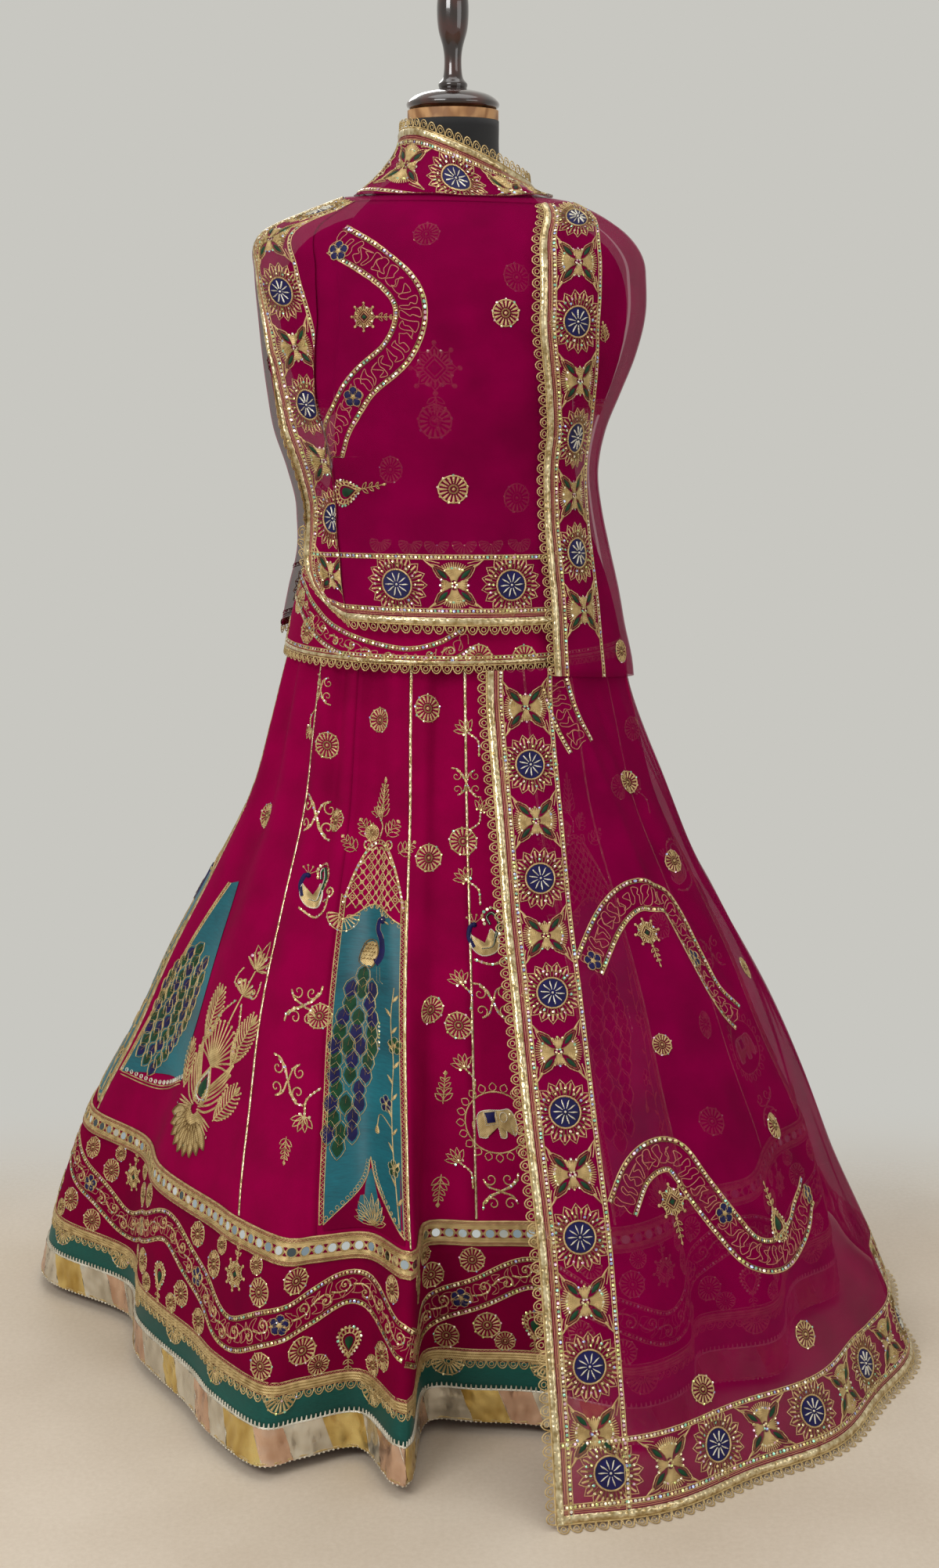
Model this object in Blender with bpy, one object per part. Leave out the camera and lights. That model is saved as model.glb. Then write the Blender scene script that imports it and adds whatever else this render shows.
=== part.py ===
"""A lehenga choli on a limbless dress form, as closed solids in metres with +Z up.

The origin is on the floor, under the middle of the round stand. Angles are degrees round
the upright axis: 0 is the front (-Y), 90 is the viewer's right (+X), 180 is the back.
"""

import math

import bpy
from mathutils import Vector

# Gaps and cloth walls
SEAM_GAP = 0.0003
LAYER_GAP = 0.0004
PANEL_WALL = 0.0015
SHEER_WALL = 0.0012
TRIM_WALL = 0.0012
SHARP_ANGLE = 50.0

# Heights of the skirt's seams and of the bands sewn round its hem
WAIST_Z = 1.020
HEM_Z = 0.015
FOIL_TOP = 0.055
LACE_BOTTOM = 0.080
TEAL_TOP = 0.089
LACE_TOP = 0.099
BORDER_TOP = 0.224
MIRROR_TOP = 0.252
FOLDS_START = 0.860
WAISTBAND_HEIGHT = 0.026
PANEL_ROWS = (HEM_Z, FOIL_TOP, TEAL_TOP, BORDER_TOP, MIRROR_TOP, 0.40, 0.56, 0.72, 0.86, WAIST_Z)

# Panels (kalis) of the skirt
PANEL_COUNT = 18
PANEL_WAIST_STEP = 360 / PANEL_COUNT
FIRST_SEAM_WAIST = -16.0
PANEL_COLUMNS = 4
WIDE_PANEL = 15
WIDE_PANEL_COLUMNS = 7
SKIRT_LOBE_HEM = 0.558
FOLD_GROWTH = 1.15
HEM_STEPS = 12
WAISTBAND_EVERY = 3

# Skirt outline: height, half width over the lobes, depth as a share of the width
SKIRT_PROFILE = (
    (0.000, 0.555, 1.00),
    (0.085, 0.535, 1.00),
    (0.142, 0.519, 1.00),
    (0.252, 0.477, 1.00),
    (0.362, 0.418, 0.985),
    (0.470, 0.366, 0.96),
    (0.576, 0.308, 0.93),
    (0.680, 0.256, 0.89),
    (0.782, 0.226, 0.85),
    (0.860, 0.205, 0.81),
    (0.920, 0.184, 0.78),
    (1.050, 0.140, 0.76),
)

# Hem folds: angle, radius, and the number of the seam that ends there (or None)
HEM_FOLDS = (
    (-5.3, 0.573, 0),
    (-4.7, 0.432, None),
    (4.0, 0.428, 1),
    (14.0, 0.450, None),
    (24.0, 0.524, 2),
    (33.0, 0.512, None),
    (41.0, 0.455, 3),
    (52.0, 0.505, None),
    (64.0, 0.470, 4),
    (72.0, 0.470, None),
    (80.0, 0.515, 5),
    (90.0, 0.500, None),
    (99.0, 0.450, 6),
    (109.0, 0.490, None),
    (119.0, 0.510, 7),
    (129.0, 0.455, None),
    (139.0, 0.500, 8),
    (149.0, 0.545, None),
    (158.0, 0.475, 9),
    (168.0, 0.468, None),
    (178.0, 0.555, 10),
    (188.0, 0.540, None),
    (197.0, 0.462, 11),
    (207.0, 0.478, None),
    (217.0, 0.550, 12),
    (226.0, 0.520, None),
    (235.0, 0.458, 13),
    (245.0, 0.474, None),
    (255.0, 0.548, 14),
    (267.0, 0.560, None),
    (276.0, 0.545, 15),
    (290.0, 0.447, None),
    (304.0, 0.472, None),
    (321.0, 0.497, None),
    (328.0, 0.530, 16),
    (337.4, 0.570, None),
    (341.0, 0.540, 17),
    (348.0, 0.496, None),
)

# Tunic (kurti) sections: height, half width, front depth, back depth
TUNIC_SECTIONS = (
    (0.862, 0.2120, 0.1880, 0.1840),
    (0.900, 0.2040, 0.1810, 0.1760),
    (0.950, 0.1900, 0.1690, 0.1600),
    (1.000, 0.1720, 0.1530, 0.1400),
    (1.050, 0.1560, 0.1430, 0.1280),
    (1.100, 0.1480, 0.1430, 0.1150),
    (1.165, 0.1460, 0.1530, 0.1100),
    (1.210, 0.1470, 0.1610, 0.1110),
    (1.250, 0.1480, 0.1620, 0.1110),
    (1.300, 0.1480, 0.1500, 0.1090),
    (1.340, 0.1420, 0.1320, 0.1030),
    (1.365, 0.1330, 0.1160, 0.0950),
    (1.385, 0.1190, 0.1010, 0.0870),
    (1.405, 0.0990, 0.0870, 0.0780),
    (1.430, 0.0700, 0.0710, 0.0670),
)
TUNIC_HEM_Z = TUNIC_SECTIONS[0][0]
ARMHOLE_BOTTOM = 1.165
ARMHOLE_TOP = 1.385
ARMHOLE_DEPTH = 25.0
ARMHOLE_ROUNDNESS = 0.8
BACK_REACH = 89.9999
TUNIC_FRONT_COLUMNS = 12
TUNIC_BACK_COLUMNS = 8
TUNIC_TRIM = 0.011

# Sleeves
SLEEVE_POINTS = 8
SLEEVE_ROWS = 5
CUFF_Z = 1.158
CUFF_X = 0.168
CUFF_HALF_WIDTH = 0.0170
CUFF_HALF_DEPTH = 0.043
CAP_REACH = 0.080
CAP_DROP = 0.035
ARMHOLE_CLEAR = 0.0018
SLEEVE_TRIM = 0.011

# The sheer shawl (odhni) hangs on this outline: height, left, right, front, back
SHAWL_OUTLINE = (
    (0.800, 0.2290, 0.2275, 0.2020, 0.2000),
    (0.840, 0.2270, 0.2235, 0.2000, 0.1960),
    (0.880, 0.2230, 0.2140, 0.1970, 0.1900),
    (0.930, 0.2120, 0.2040, 0.1890, 0.1760),
    (0.980, 0.1990, 0.1920, 0.1790, 0.1600),
    (1.030, 0.1980, 0.1810, 0.1700, 0.1440),
    (1.080, 0.2080, 0.1750, 0.1670, 0.1320),
    (1.130, 0.2240, 0.1820, 0.1690, 0.1280),
    (1.175, 0.2310, 0.1980, 0.1690, 0.1260),
    (1.220, 0.2360, 0.2150, 0.1649, 0.1220),
    (1.270, 0.2400, 0.2270, 0.1641, 0.1210),
    (1.320, 0.2430, 0.2280, 0.1560, 0.1180),
    (1.365, 0.2330, 0.2060, 0.1380, 0.1100),
    (1.390, 0.1760, 0.1680, 0.1200, 0.1010),
    (1.410, 0.1240, 0.1230, 0.1030, 0.0920),
    (1.440, 0.0860, 0.0900, 0.0860, 0.0820),
)

# Shawl stretches on that outline: share of the way down, height at the left and right
# edge, angle at the left and right edge
CHEST_ROWS = (
    (0.00, 1.398, 1.394, -48.0, 39.0),
    (0.08, 1.365, 1.360, -43.0, 34.0),
    (0.18, 1.320, 1.315, -41.0, 38.0),
    (0.28, 1.270, 1.268, -41.0, 37.0),
    (0.38, 1.220, 1.220, -43.0, 39.0),
    (0.48, 1.170, 1.172, -44.0, 44.0),
    (0.58, 1.120, 1.122, -42.0, 48.0),
    (0.68, 1.070, 1.072, -43.0, 47.0),
    (0.78, 1.020, 1.020, -44.0, 45.0),
    (0.88, 0.965, 0.965, -41.0, 42.0),
    (1.00, 0.912, 0.908, -35.0, 38.0),
)
LEFT_FALL_ROWS = (
    (0.00, 1.406, 1.398, -83.5, -48.0),
    (0.08, 1.360, 1.365, -87.0, -43.0),
    (0.18, 1.308, 1.320, -87.5, -41.0),
    (0.28, 1.258, 1.270, -85.0, -41.0),
    (0.38, 1.208, 1.220, -82.0, -43.0),
    (0.48, 1.160, 1.170, -79.0, -44.0),
    (0.58, 1.112, 1.120, -76.0, -42.0),
    (0.68, 1.065, 1.070, -76.5, -43.0),
    (0.78, 1.022, 1.020, -76.0, -44.0),
    (0.88, 0.975, 0.965, -68.0, -41.0),
    (1.00, 0.930, 0.912, -46.0, -35.0),
)
# How far the left fall's outer edge hangs in and forward of the outline: share of the way
# down, step to the right, step to the back
LEFT_FALL_SHIFT = (
    (0.00, 0.000, 0.000),
    (0.08, 0.004, -0.016),
    (0.18, 0.009, -0.042),
    (0.28, 0.012, -0.056),
    (0.38, 0.013, -0.062),
    (0.68, 0.013, -0.060),
    (0.78, 0.012, -0.052),
    (0.88, 0.006, -0.028),
    (1.00, 0.000, 0.000),
)
RIGHT_FALL_ROWS = (
    (0.00, 1.394, 1.406, 40.0, 116.0),
    (0.08, 1.360, 1.362, 29.0, 112.0),
    (0.18, 1.315, 1.316, 26.5, 108.0),
    (0.28, 1.268, 1.266, 26.5, 106.0),
    (0.38, 1.220, 1.217, 29.0, 105.0),
    (0.47, 1.172, 1.168, 33.5, 104.0),
    (0.56, 1.122, 1.118, 37.5, 104.0),
    (0.65, 1.072, 1.068, 37.5, 105.0),
    (0.74, 1.020, 1.014, 36.5, 106.0),
    (0.83, 0.965, 0.955, 35.5, 107.0),
    (0.92, 0.908, 0.890, 34.5, 108.0),
    (1.00, 0.846, 0.812, 33.0, 110.0),
)
BACK_ROWS = (
    (0.00, 1.406, 1.406, 117.0, 268.0),
    (0.08, 1.362, 1.360, 113.5, 267.5),
    (0.18, 1.316, 1.308, 110.0, 267.0),
    (0.34, 1.240, 1.240, 107.5, 266.0),
    (0.52, 1.150, 1.150, 106.5, 265.0),
    (0.70, 1.050, 1.050, 107.5, 264.0),
    (0.86, 0.960, 0.960, 109.5, 262.0),
    (1.00, 0.880, 0.880, 111.5, 260.0),
)
# Top edges of those stretches, where the shoulder piece begins: angle, height
SHOULDER_EDGE = (
    (-48.0, 1.398),
    (-4.5, 1.396),
    (39.5, 1.394),
    (78.0, 1.400),
    (116.5, 1.406),
    (190.0, 1.406),
    (267.0, 1.406),
    (276.5, 1.406),
    (294.0, 1.402),
    (312.0, 1.398),
)
SHOULDER_STEPS = 36
SHOULDER_GAP = 0.0009
# The shoulder piece's inner rows: height, distance out from the tunic
SHOULDER_ROWS = ((1.4180, 0.0042), (1.4090, 0.0056))
CHEST_LIFT = 0.0
RIGHT_FALL_LIFT = 0.0026
BACK_LIFT = 0.0010
CHEST_COLUMNS = 10
LEFT_FALL_COLUMNS = 5
RIGHT_FALL_COLUMNS = 10
BACK_COLUMNS = 10
FALL_FOLD = 0.0050
FALL_FOLDS = 3
FOLD_EASE = 0.5

# The border wound round the neck: angle, upper radius and height, lower radius and height
NECK_WRAP = (
    (-168.0, 0.0680, 1.468, 0.0990, 1.413),
    (-130.0, 0.0645, 1.474, 0.1080, 1.410),
    (-95.0, 0.0634, 1.482, 0.1205, 1.4095),
    (-60.0, 0.0645, 1.486, 0.1180, 1.4085),
    (-35.0, 0.0680, 1.484, 0.1110, 1.4065),
    (-10.0, 0.0720, 1.474, 0.1088, 1.4055),
    (12.0, 0.0760, 1.462, 0.1100, 1.4030),
    (32.0, 0.0800, 1.450, 0.1140, 1.4030),
    (52.0, 0.0840, 1.438, 0.1200, 1.4065),
    (72.0, 0.0900, 1.428, 0.1215, 1.4065),
    (100.0, 0.0940, 1.422, 0.1205, 1.4090),
)
NECK_WRAP_ROWS = 2
NECK_WRAP_DEPTH = 0.97

# The shawl's lower stretch, from the hip to the floor at the right and front
LOWER_TOP_SIDE = 0.2182
LOWER_TOP_FRONT = 0.1967
LOWER_BOTTOM_Z = 0.0050
LOWER_COLUMNS = 15
# Height, share of the way out from the hip to the floor
LOWER_SPREAD = (
    (0.000, 1.000),
    (0.085, 0.905),
    (0.197, 0.765),
    (0.308, 0.648),
    (0.416, 0.516),
    (0.523, 0.356),
    (0.576, 0.272),
    (0.680, 0.150),
    (0.782, 0.035),
    (0.820, 0.006),
    (0.860, 0.000),
)
# Angle at the floor, radius there
LOWER_FLOOR = (
    (8.0, 0.640),
    (22.0, 0.630),
    (37.0, 0.628),
    (56.0, 0.622),
    (66.0, 0.610),
    (80.0, 0.580),
    (95.0, 0.565),
    (124.0, 0.560),
)
# Height, angle of the front edge, angle of the back edge
LOWER_EDGES = (
    (0.005, 10.2, 122.0),
    (0.120, 10.6, 121.0),
    (0.250, 11.0, 120.0),
    (0.400, 10.6, 119.0),
    (0.560, 11.0, 118.0),
    (0.720, 11.6, 117.0),
    (0.856, 11.8, 116.0),
)
LOWER_ROWS = (0.856, 0.80, 0.72, 0.64, 0.55, 0.45, 0.34, 0.23, 0.12, LOWER_BOTTOM_Z)
LOWER_FOLDS = 5
LOWER_FOLD_DEPTH = 0.014

# Looped lace along the shawl's edges
LACE_WIDTH = 0.0118
LACE_GAP = 0.0010
LACE_PITCH = 0.0136
LACE_HOLE_START = 0.0030
LACE_HOLE_END = 0.0090
LACE_HOLE_SHARE = 0.46

# Dress form: height, half width, front depth, back depth
TORSO_SECTIONS = (
    (0.790, 0.1300, 0.1050, 0.1000),
    (0.830, 0.1600, 0.1280, 0.1230),
    (0.900, 0.1680, 0.1320, 0.1260),
    (0.960, 0.1600, 0.1260, 0.1200),
    (1.020, 0.1488, 0.1132, 0.1132),
    (1.060, 0.1350, 0.1120, 0.1030),
    (1.110, 0.1380, 0.1280, 0.1040),
    (1.170, 0.1400, 0.1440, 0.1040),
    (1.220, 0.1410, 0.1530, 0.1050),
    (1.260, 0.1410, 0.1520, 0.1050),
    (1.300, 0.1400, 0.1420, 0.1020),
    (1.340, 0.1340, 0.1240, 0.0960),
    (1.365, 0.1240, 0.1080, 0.0880),
    (1.385, 0.1100, 0.0930, 0.0800),
    (1.405, 0.0900, 0.0800, 0.0710),
    (1.430, 0.0630, 0.0640, 0.0600),
    (1.450, 0.0570, 0.0570, 0.0560),
    (1.497, 0.0556, 0.0556, 0.0556),
)
TORSO_SEGMENTS = 22
BLOCK_TOP = 1.509
BLOCK_RADIUS = 0.0550
POLE_RADIUS = 0.0140
POLE_FOOT = 0.0420
# Turned profiles: radius, height
BASE_PROFILE = ((0.190, 0.0), (0.190, 0.010), (0.182, 0.018), (0.060, 0.030), (0.030, POLE_FOOT))
CAP_PROFILE = ((0.0500, 0.0), (0.0556, 0.004), (0.0550, 0.010), (0.0440, 0.018), (0.0200, 0.0245))
FINIAL_PROFILE = (
    (0.0165, 0.000),
    (0.0175, 0.006),
    (0.0120, 0.014),
    (0.0104, 0.032),
    (0.0120, 0.048),
    (0.0175, 0.068),
    (0.0192, 0.088),
    (0.0180, 0.106),
    (0.0125, 0.124),
    (0.0060, 0.140),
)
TURNED_SEGMENTS = 24

# Materials: base colour, roughness, metallic
FINISHES = {
    "form_black": ((0.012, 0.012, 0.013), 0.8, 0.0),
    "light_wood": ((0.35, 0.20, 0.10), 0.5, 0.0),
    "dark_wood": ((0.030, 0.010, 0.008), 0.2, 0.0),
    "stand_steel": ((0.05, 0.05, 0.055), 0.4, 0.8),
    "georgette": ((0.33, 0.002, 0.08), 0.75, 0.0),
    "sheer_georgette": ((0.36, 0.002, 0.09), 0.7, 0.0),
    "teal_silk": ((0.004, 0.21, 0.26), 0.45, 0.0),
    "gold_thread": ((0.48, 0.32, 0.14), 0.5, 0.3),
    "hem_foil": ((0.65, 0.50, 0.33), 0.3, 0.8),
    "mirror_trim": ((0.45, 0.33, 0.20), 0.4, 0.5),
}


def clear_scene():
    """Remove whatever the scene holds."""
    for item in list(bpy.data.objects):
        bpy.data.objects.remove(item, do_unlink=True)


def make_finish(name):
    """Return the named material, made on its first use."""
    found = bpy.data.materials.get(name)
    if found:
        return found
    colour, roughness, metallic = FINISHES[name]
    finish = bpy.data.materials.new(name)
    finish.use_nodes = True
    shader = finish.node_tree.nodes["Principled BSDF"]
    shader.inputs["Base Color"].default_value = (*colour, 1.0)
    shader.inputs["Roughness"].default_value = roughness
    shader.inputs["Metallic"].default_value = metallic
    return finish


def read_row(rows, key):
    """Return every later column of a table at this key, on a smooth curve through its rows."""
    keys = [row[0] for row in rows]
    key = min(max(key, keys[0]), keys[-1])
    place = max(i for i, k in enumerate(keys[:-1]) if k <= key)
    span = keys[place + 1] - keys[place]
    t = (key - keys[place]) / span
    values = []
    for column in range(1, len(rows[0])):
        here, after = rows[place][column], rows[place + 1][column]
        step = after - here
        before_step = step
        if place > 0:
            before_step = (here - rows[place - 1][column]) * span / (keys[place] - keys[place - 1])
        after_step = step
        if place + 2 < len(rows):
            after_step = (rows[place + 2][column] - after) * span / (keys[place + 2] - keys[place + 1])
        start_slope = 0.5 * (step + before_step) if step * before_step > 0 else 0.0
        end_slope = 0.5 * (step + after_step) if step * after_step > 0 else 0.0
        values.append(
            here * (1 + 2 * t) * (1 - t) ** 2
            + after * t * t * (3 - 2 * t)
            + start_slope * t * (1 - t) ** 2
            - end_slope * t * t * (1 - t)
        )
    return values


def polar(angle, across, along, height):
    """Return the point at an angle round the axis, with a half width and a depth."""
    turn = math.radians(angle)
    return Vector((across * math.sin(turn), -along * math.cos(turn), height))


def grid_normals(grid, closed):
    """Return a unit normal for each point of a grid of rows, from its neighbours."""
    normals = []
    for i, row in enumerate(grid):
        above, below = grid[max(i - 1, 0)], grid[min(i + 1, len(grid) - 1)]
        line = []
        for j in range(len(row)):
            if closed:
                left, right = row[j - 1], row[(j + 1) % len(row)]
            else:
                left, right = row[max(j - 1, 0)], row[min(j + 1, len(row) - 1)]
            line.append((right - left).cross(above[j] - below[j]).normalized())
        normals.append(line)
    return normals


def pull_in(line, at_start=True, at_end=True, gap=SEAM_GAP / 2):
    """Shorten a line of points by half a seam gap at its ends."""
    line = [point.copy() for point in line]
    if at_start:
        line[0] += (line[1] - line[0]).normalized() * gap
    if at_end:
        line[-1] += (line[-2] - line[-1]).normalized() * gap
    return line


def pull_edges(grid, sides, top, bottom):
    """Draw a grid's outer edges in by half a seam gap, so that the next piece stays clear."""
    if sides:
        grid = [pull_in(row) for row in grid]
    columns = [pull_in(column, top, bottom) for column in zip(*grid)]
    return [list(row) for row in zip(*columns)]


def add_object(name, points, faces, finish):
    """Make one closed mesh object from points and faces."""
    mesh = bpy.data.meshes.new(name)
    mesh.from_pydata([tuple(point) for point in points], [], faces)
    mesh.materials.append(make_finish(finish))
    mesh.shade_smooth()
    mesh.set_sharp_from_angle(angle=math.radians(SHARP_ANGLE))
    item = bpy.data.objects.new(name, mesh)
    bpy.context.scene.collection.objects.link(item)
    return item


def cell_faces(a, b, c, d):
    """Return the two triangles of one grid cell, always split the same way."""
    return [(a, b, c), (a, c, d)]


def add_wall(name, grid, normals, inner, outer, finish, closed=False, cut=None):
    """Make a cloth wall between two offsets of a grid of rows, top row first.

    cut holds the (row, column) cells that are left open.
    """
    rows, columns = len(grid), len(grid[0])
    spans = columns if closed else columns - 1
    cut = cut or set()
    points = []
    for offset in (outer, inner):
        for i in range(rows):
            points += [grid[i][j] + normals[i][j] * offset for j in range(columns)]
    back = rows * columns

    def at(i, j):
        return i * columns + j % columns

    def is_open(i, j):
        outside = i < 0 or i >= rows - 1 or (not closed and (j < 0 or j >= spans))
        return outside or (i, j % spans) in cut

    faces = []
    for i in range(rows - 1):
        for j in range(spans):
            if (i, j) in cut:
                continue
            a, b, c, d = at(i, j), at(i + 1, j), at(i + 1, j + 1), at(i, j + 1)
            faces += cell_faces(a, b, c, d)
            faces += [tuple(back + k for k in face[::-1]) for face in cell_faces(a, b, c, d)]
            edges = (((i - 1, j), d, a), ((i + 1, j), b, c), ((i, j - 1), a, b), ((i, j + 1), c, d))
            for beside, start, end in edges:
                if is_open(*beside):
                    faces += cell_faces(start, start + back, end + back, end)
    return add_object(name, points, faces, finish)


def add_turned(name, profile, floor, finish, centre=(0.0, 0.0)):
    """Turn a profile of radii and heights, bottom first, into a closed solid."""
    points = [Vector((centre[0], centre[1], floor + profile[0][1]))]
    for radius, height in profile:
        for k in range(TURNED_SEGMENTS):
            turn = 2 * math.pi * k / TURNED_SEGMENTS
            x = centre[0] + radius * math.cos(turn)
            y = centre[1] + radius * math.sin(turn)
            points.append(Vector((x, y, floor + height)))
    points.append(Vector((centre[0], centre[1], floor + profile[-1][1])))
    faces = []
    last = len(points) - 1
    for k in range(TURNED_SEGMENTS):
        after = (k + 1) % TURNED_SEGMENTS
        faces.append((0, 1 + after, 1 + k))
        top = 1 + (len(profile) - 1) * TURNED_SEGMENTS
        faces.append((last, top + k, top + after))
        for ring in range(len(profile) - 1):
            low = 1 + ring * TURNED_SEGMENTS
            high = low + TURNED_SEGMENTS
            faces.append((low + k, low + after, high + after, high + k))
    return add_object(name, points, faces, finish)


def make_torso():
    """Make the padded body of the dress form, with its neck."""
    grid = []
    for height, half, front, rear in reversed(TORSO_SECTIONS):
        row = []
        for k in range(TORSO_SEGMENTS):
            angle = 360 * k / TORSO_SEGMENTS
            depth = front if math.cos(math.radians(angle)) > 0 else rear
            row.append(polar(angle, half, depth, height))
        grid.append(row)
    points = [point for row in grid for point in row]
    faces = []
    for i in range(len(grid) - 1):
        for j in range(TORSO_SEGMENTS):
            after = (j + 1) % TORSO_SEGMENTS
            a, b = i * TORSO_SEGMENTS + j, (i + 1) * TORSO_SEGMENTS + j
            c, d = (i + 1) * TORSO_SEGMENTS + after, i * TORSO_SEGMENTS + after
            faces.append((a, b, c, d))
    faces.append(tuple(range(TORSO_SEGMENTS)))
    bottom = (len(grid) - 1) * TORSO_SEGMENTS
    faces.append(tuple(bottom + k for k in reversed(range(TORSO_SEGMENTS))))
    return add_object("form_torso", points, faces, "form_black")


def make_form():
    """Make the dress form: torso, block, cap, finial, pole and round base."""
    make_torso()
    neck_top = TORSO_SECTIONS[-1][0] + SEAM_GAP
    block = ((BLOCK_RADIUS, 0.0), (BLOCK_RADIUS, BLOCK_TOP - neck_top))
    add_turned("form_neck_block", block, neck_top, "light_wood")
    cap_floor = BLOCK_TOP + SEAM_GAP
    add_turned("form_cap", CAP_PROFILE, cap_floor, "dark_wood")
    finial_floor = cap_floor + CAP_PROFILE[-1][1] + SEAM_GAP
    add_turned("form_finial", FINIAL_PROFILE, finial_floor, "dark_wood")
    pole_floor = POLE_FOOT + SEAM_GAP
    pole_top = TORSO_SECTIONS[0][0] - SEAM_GAP
    pole = ((POLE_RADIUS, 0.0), (POLE_RADIUS, pole_top - pole_floor))
    add_turned("stand_pole", pole, pole_floor, "stand_steel")
    add_turned("stand_base", BASE_PROFILE, 0.0, "stand_steel")


def curve_through(before, start, end, after, t):
    """Return a point on the Catmull-Rom curve between start and end."""
    return 0.5 * (
        2 * start
        + (end - before) * t
        + (2 * before - 5 * start + 4 * end - after) * t * t
        + (3 * start - before - 3 * end + after) * t**3
    )


def hem_columns():
    """Return (hem angle, hem radius, waist angle) for each column round the skirt.

    Columns are evenly spaced along the folded hem inside each panel.
    """
    corners = [polar(angle, radius, radius, 0.0) for angle, radius, _ in HEM_FOLDS]
    count = len(corners)
    trail, seams = [], []
    for i in range(count):
        if HEM_FOLDS[i][2] is not None:
            seams.append(len(trail))
        ends = [corners[(i + k) % count] for k in (-1, 0, 1, 2)]
        trail += [curve_through(*ends, k / HEM_STEPS) for k in range(HEM_STEPS)]
    seams.append(len(trail))
    trail.append(trail[0])
    columns = []
    for panel in range(PANEL_COUNT):
        run = trail[seams[panel] : seams[panel + 1] + 1]
        lengths = [0.0]
        for a, b in zip(run, run[1:]):
            lengths.append(lengths[-1] + (b - a).length)
        parts = WIDE_PANEL_COLUMNS if panel == WIDE_PANEL else PANEL_COLUMNS
        for k in range(parts):
            goal = lengths[-1] * k / parts
            place = max(i for i, length in enumerate(lengths[:-1]) if length <= goal)
            share = (goal - lengths[place]) / (lengths[place + 1] - lengths[place])
            spot = run[place].lerp(run[place + 1], share)
            angle = math.degrees(math.atan2(spot.x, -spot.y))
            while columns and angle < columns[-1][0] - 90:
                angle += 360
            waist = FIRST_SEAM_WAIST + PANEL_WAIST_STEP * (panel + k / parts)
            columns.append((angle, spot.length, waist))
    return columns


def skirt_point(column, height):
    """Return the point of a skirt column at a height."""
    hem_angle, hem_radius, waist_angle = column
    half, share = read_row(SKIRT_PROFILE, height)
    fall = min(max((FOLDS_START - height) / (FOLDS_START - HEM_Z), 0.0), 1.0) ** FOLD_GROWTH
    radius = half * (1 - fall * (1 - hem_radius / SKIRT_LOBE_HEM))
    down = min((WAIST_Z - height) / (WAIST_Z - MIRROR_TOP), 1.0)
    angle = waist_angle + (hem_angle - waist_angle) * down
    return polar(angle, radius, radius * share, height)


def make_skirt():
    """Make the panels of the skirt, its waistband and the bands sewn round its hem."""
    columns = hem_columns()
    lace_rows = (LACE_TOP, LACE_BOTTOM)
    heights = sorted(PANEL_ROWS + lace_rows, reverse=True)
    grid = [[skirt_point(column, height) for column in columns] for height in heights]
    normals = grid_normals(grid, closed=True)
    first = 0
    for panel in range(PANEL_COUNT):
        parts = WIDE_PANEL_COLUMNS if panel == WIDE_PANEL else PANEL_COLUMNS
        picked = [(first + k) % len(columns) for k in range(parts + 1)]
        rows = [i for i, height in enumerate(heights) if height not in lace_rows]
        piece = pull_edges([[grid[i][j] for j in picked] for i in rows], True, False, False)
        facing = [[normals[i][j] for j in picked] for i in rows]
        add_wall(f"kali_{panel + 1:02d}", piece, facing, 0.0, PANEL_WALL, "georgette")
        first += parts

    def add_band(name, top, bottom, start, thickness, finish):
        rows = [i for i, z in enumerate(heights) if bottom <= z <= top]
        if name != "hem_lace":
            rows = [i for i in rows if heights[i] not in lace_rows]
        piece = pull_edges([grid[i] for i in rows], False, True, True)
        facing = [normals[i] for i in rows]
        add_wall(name, piece, facing, start, start + thickness, finish, closed=True)

    lying = PANEL_WALL + LAYER_GAP
    add_band("mirror_band", MIRROR_TOP, BORDER_TOP, lying, PANEL_WALL, "mirror_trim")
    add_band("border_band", BORDER_TOP, TEAL_TOP, lying, TRIM_WALL, "georgette")
    add_band("teal_band", TEAL_TOP, FOIL_TOP, lying, TRIM_WALL, "teal_silk")
    add_band("foil_hem", FOIL_TOP, HEM_Z, lying, PANEL_WALL, "hem_foil")
    over = lying + TRIM_WALL + LAYER_GAP
    add_band("hem_lace", LACE_TOP, LACE_BOTTOM, over, TRIM_WALL, "gold_thread")
    make_waistband(columns)


def make_waistband(columns):
    """Make the skirt's waistband, a ring that stands on the panels' top edges."""
    picked = columns[::WAISTBAND_EVERY]
    base = WAIST_Z + 2 * LAYER_GAP
    top_ring = [skirt_point(column, WAIST_Z) for column in picked]
    grid = [[Vector((p.x, p.y, z)) for p in top_ring] for z in (base + WAISTBAND_HEIGHT, base)]
    normals = grid_normals(grid, closed=True)
    add_wall("skirt_waistband", grid, normals, 0.0, PANEL_WALL, "georgette", closed=True)


def tunic_point(angle, height):
    """Return the point of the tunic's cloth at an angle and a height."""
    half, front, rear = read_row(TUNIC_SECTIONS, height)
    depth = front if math.cos(math.radians(angle)) > 0 else rear
    return polar(angle, half, depth, height)


def seam_angle(height):
    """Return the side angle where a tunic panel ends: the side seam, or the armhole's edge."""
    if not ARMHOLE_BOTTOM < height < ARMHOLE_TOP:
        return 90.0
    up = (height - ARMHOLE_BOTTOM) / (ARMHOLE_TOP - ARMHOLE_BOTTOM)
    return 90.0 - ARMHOLE_DEPTH * math.sin(math.pi * up) ** ARMHOLE_ROUNDNESS


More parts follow.
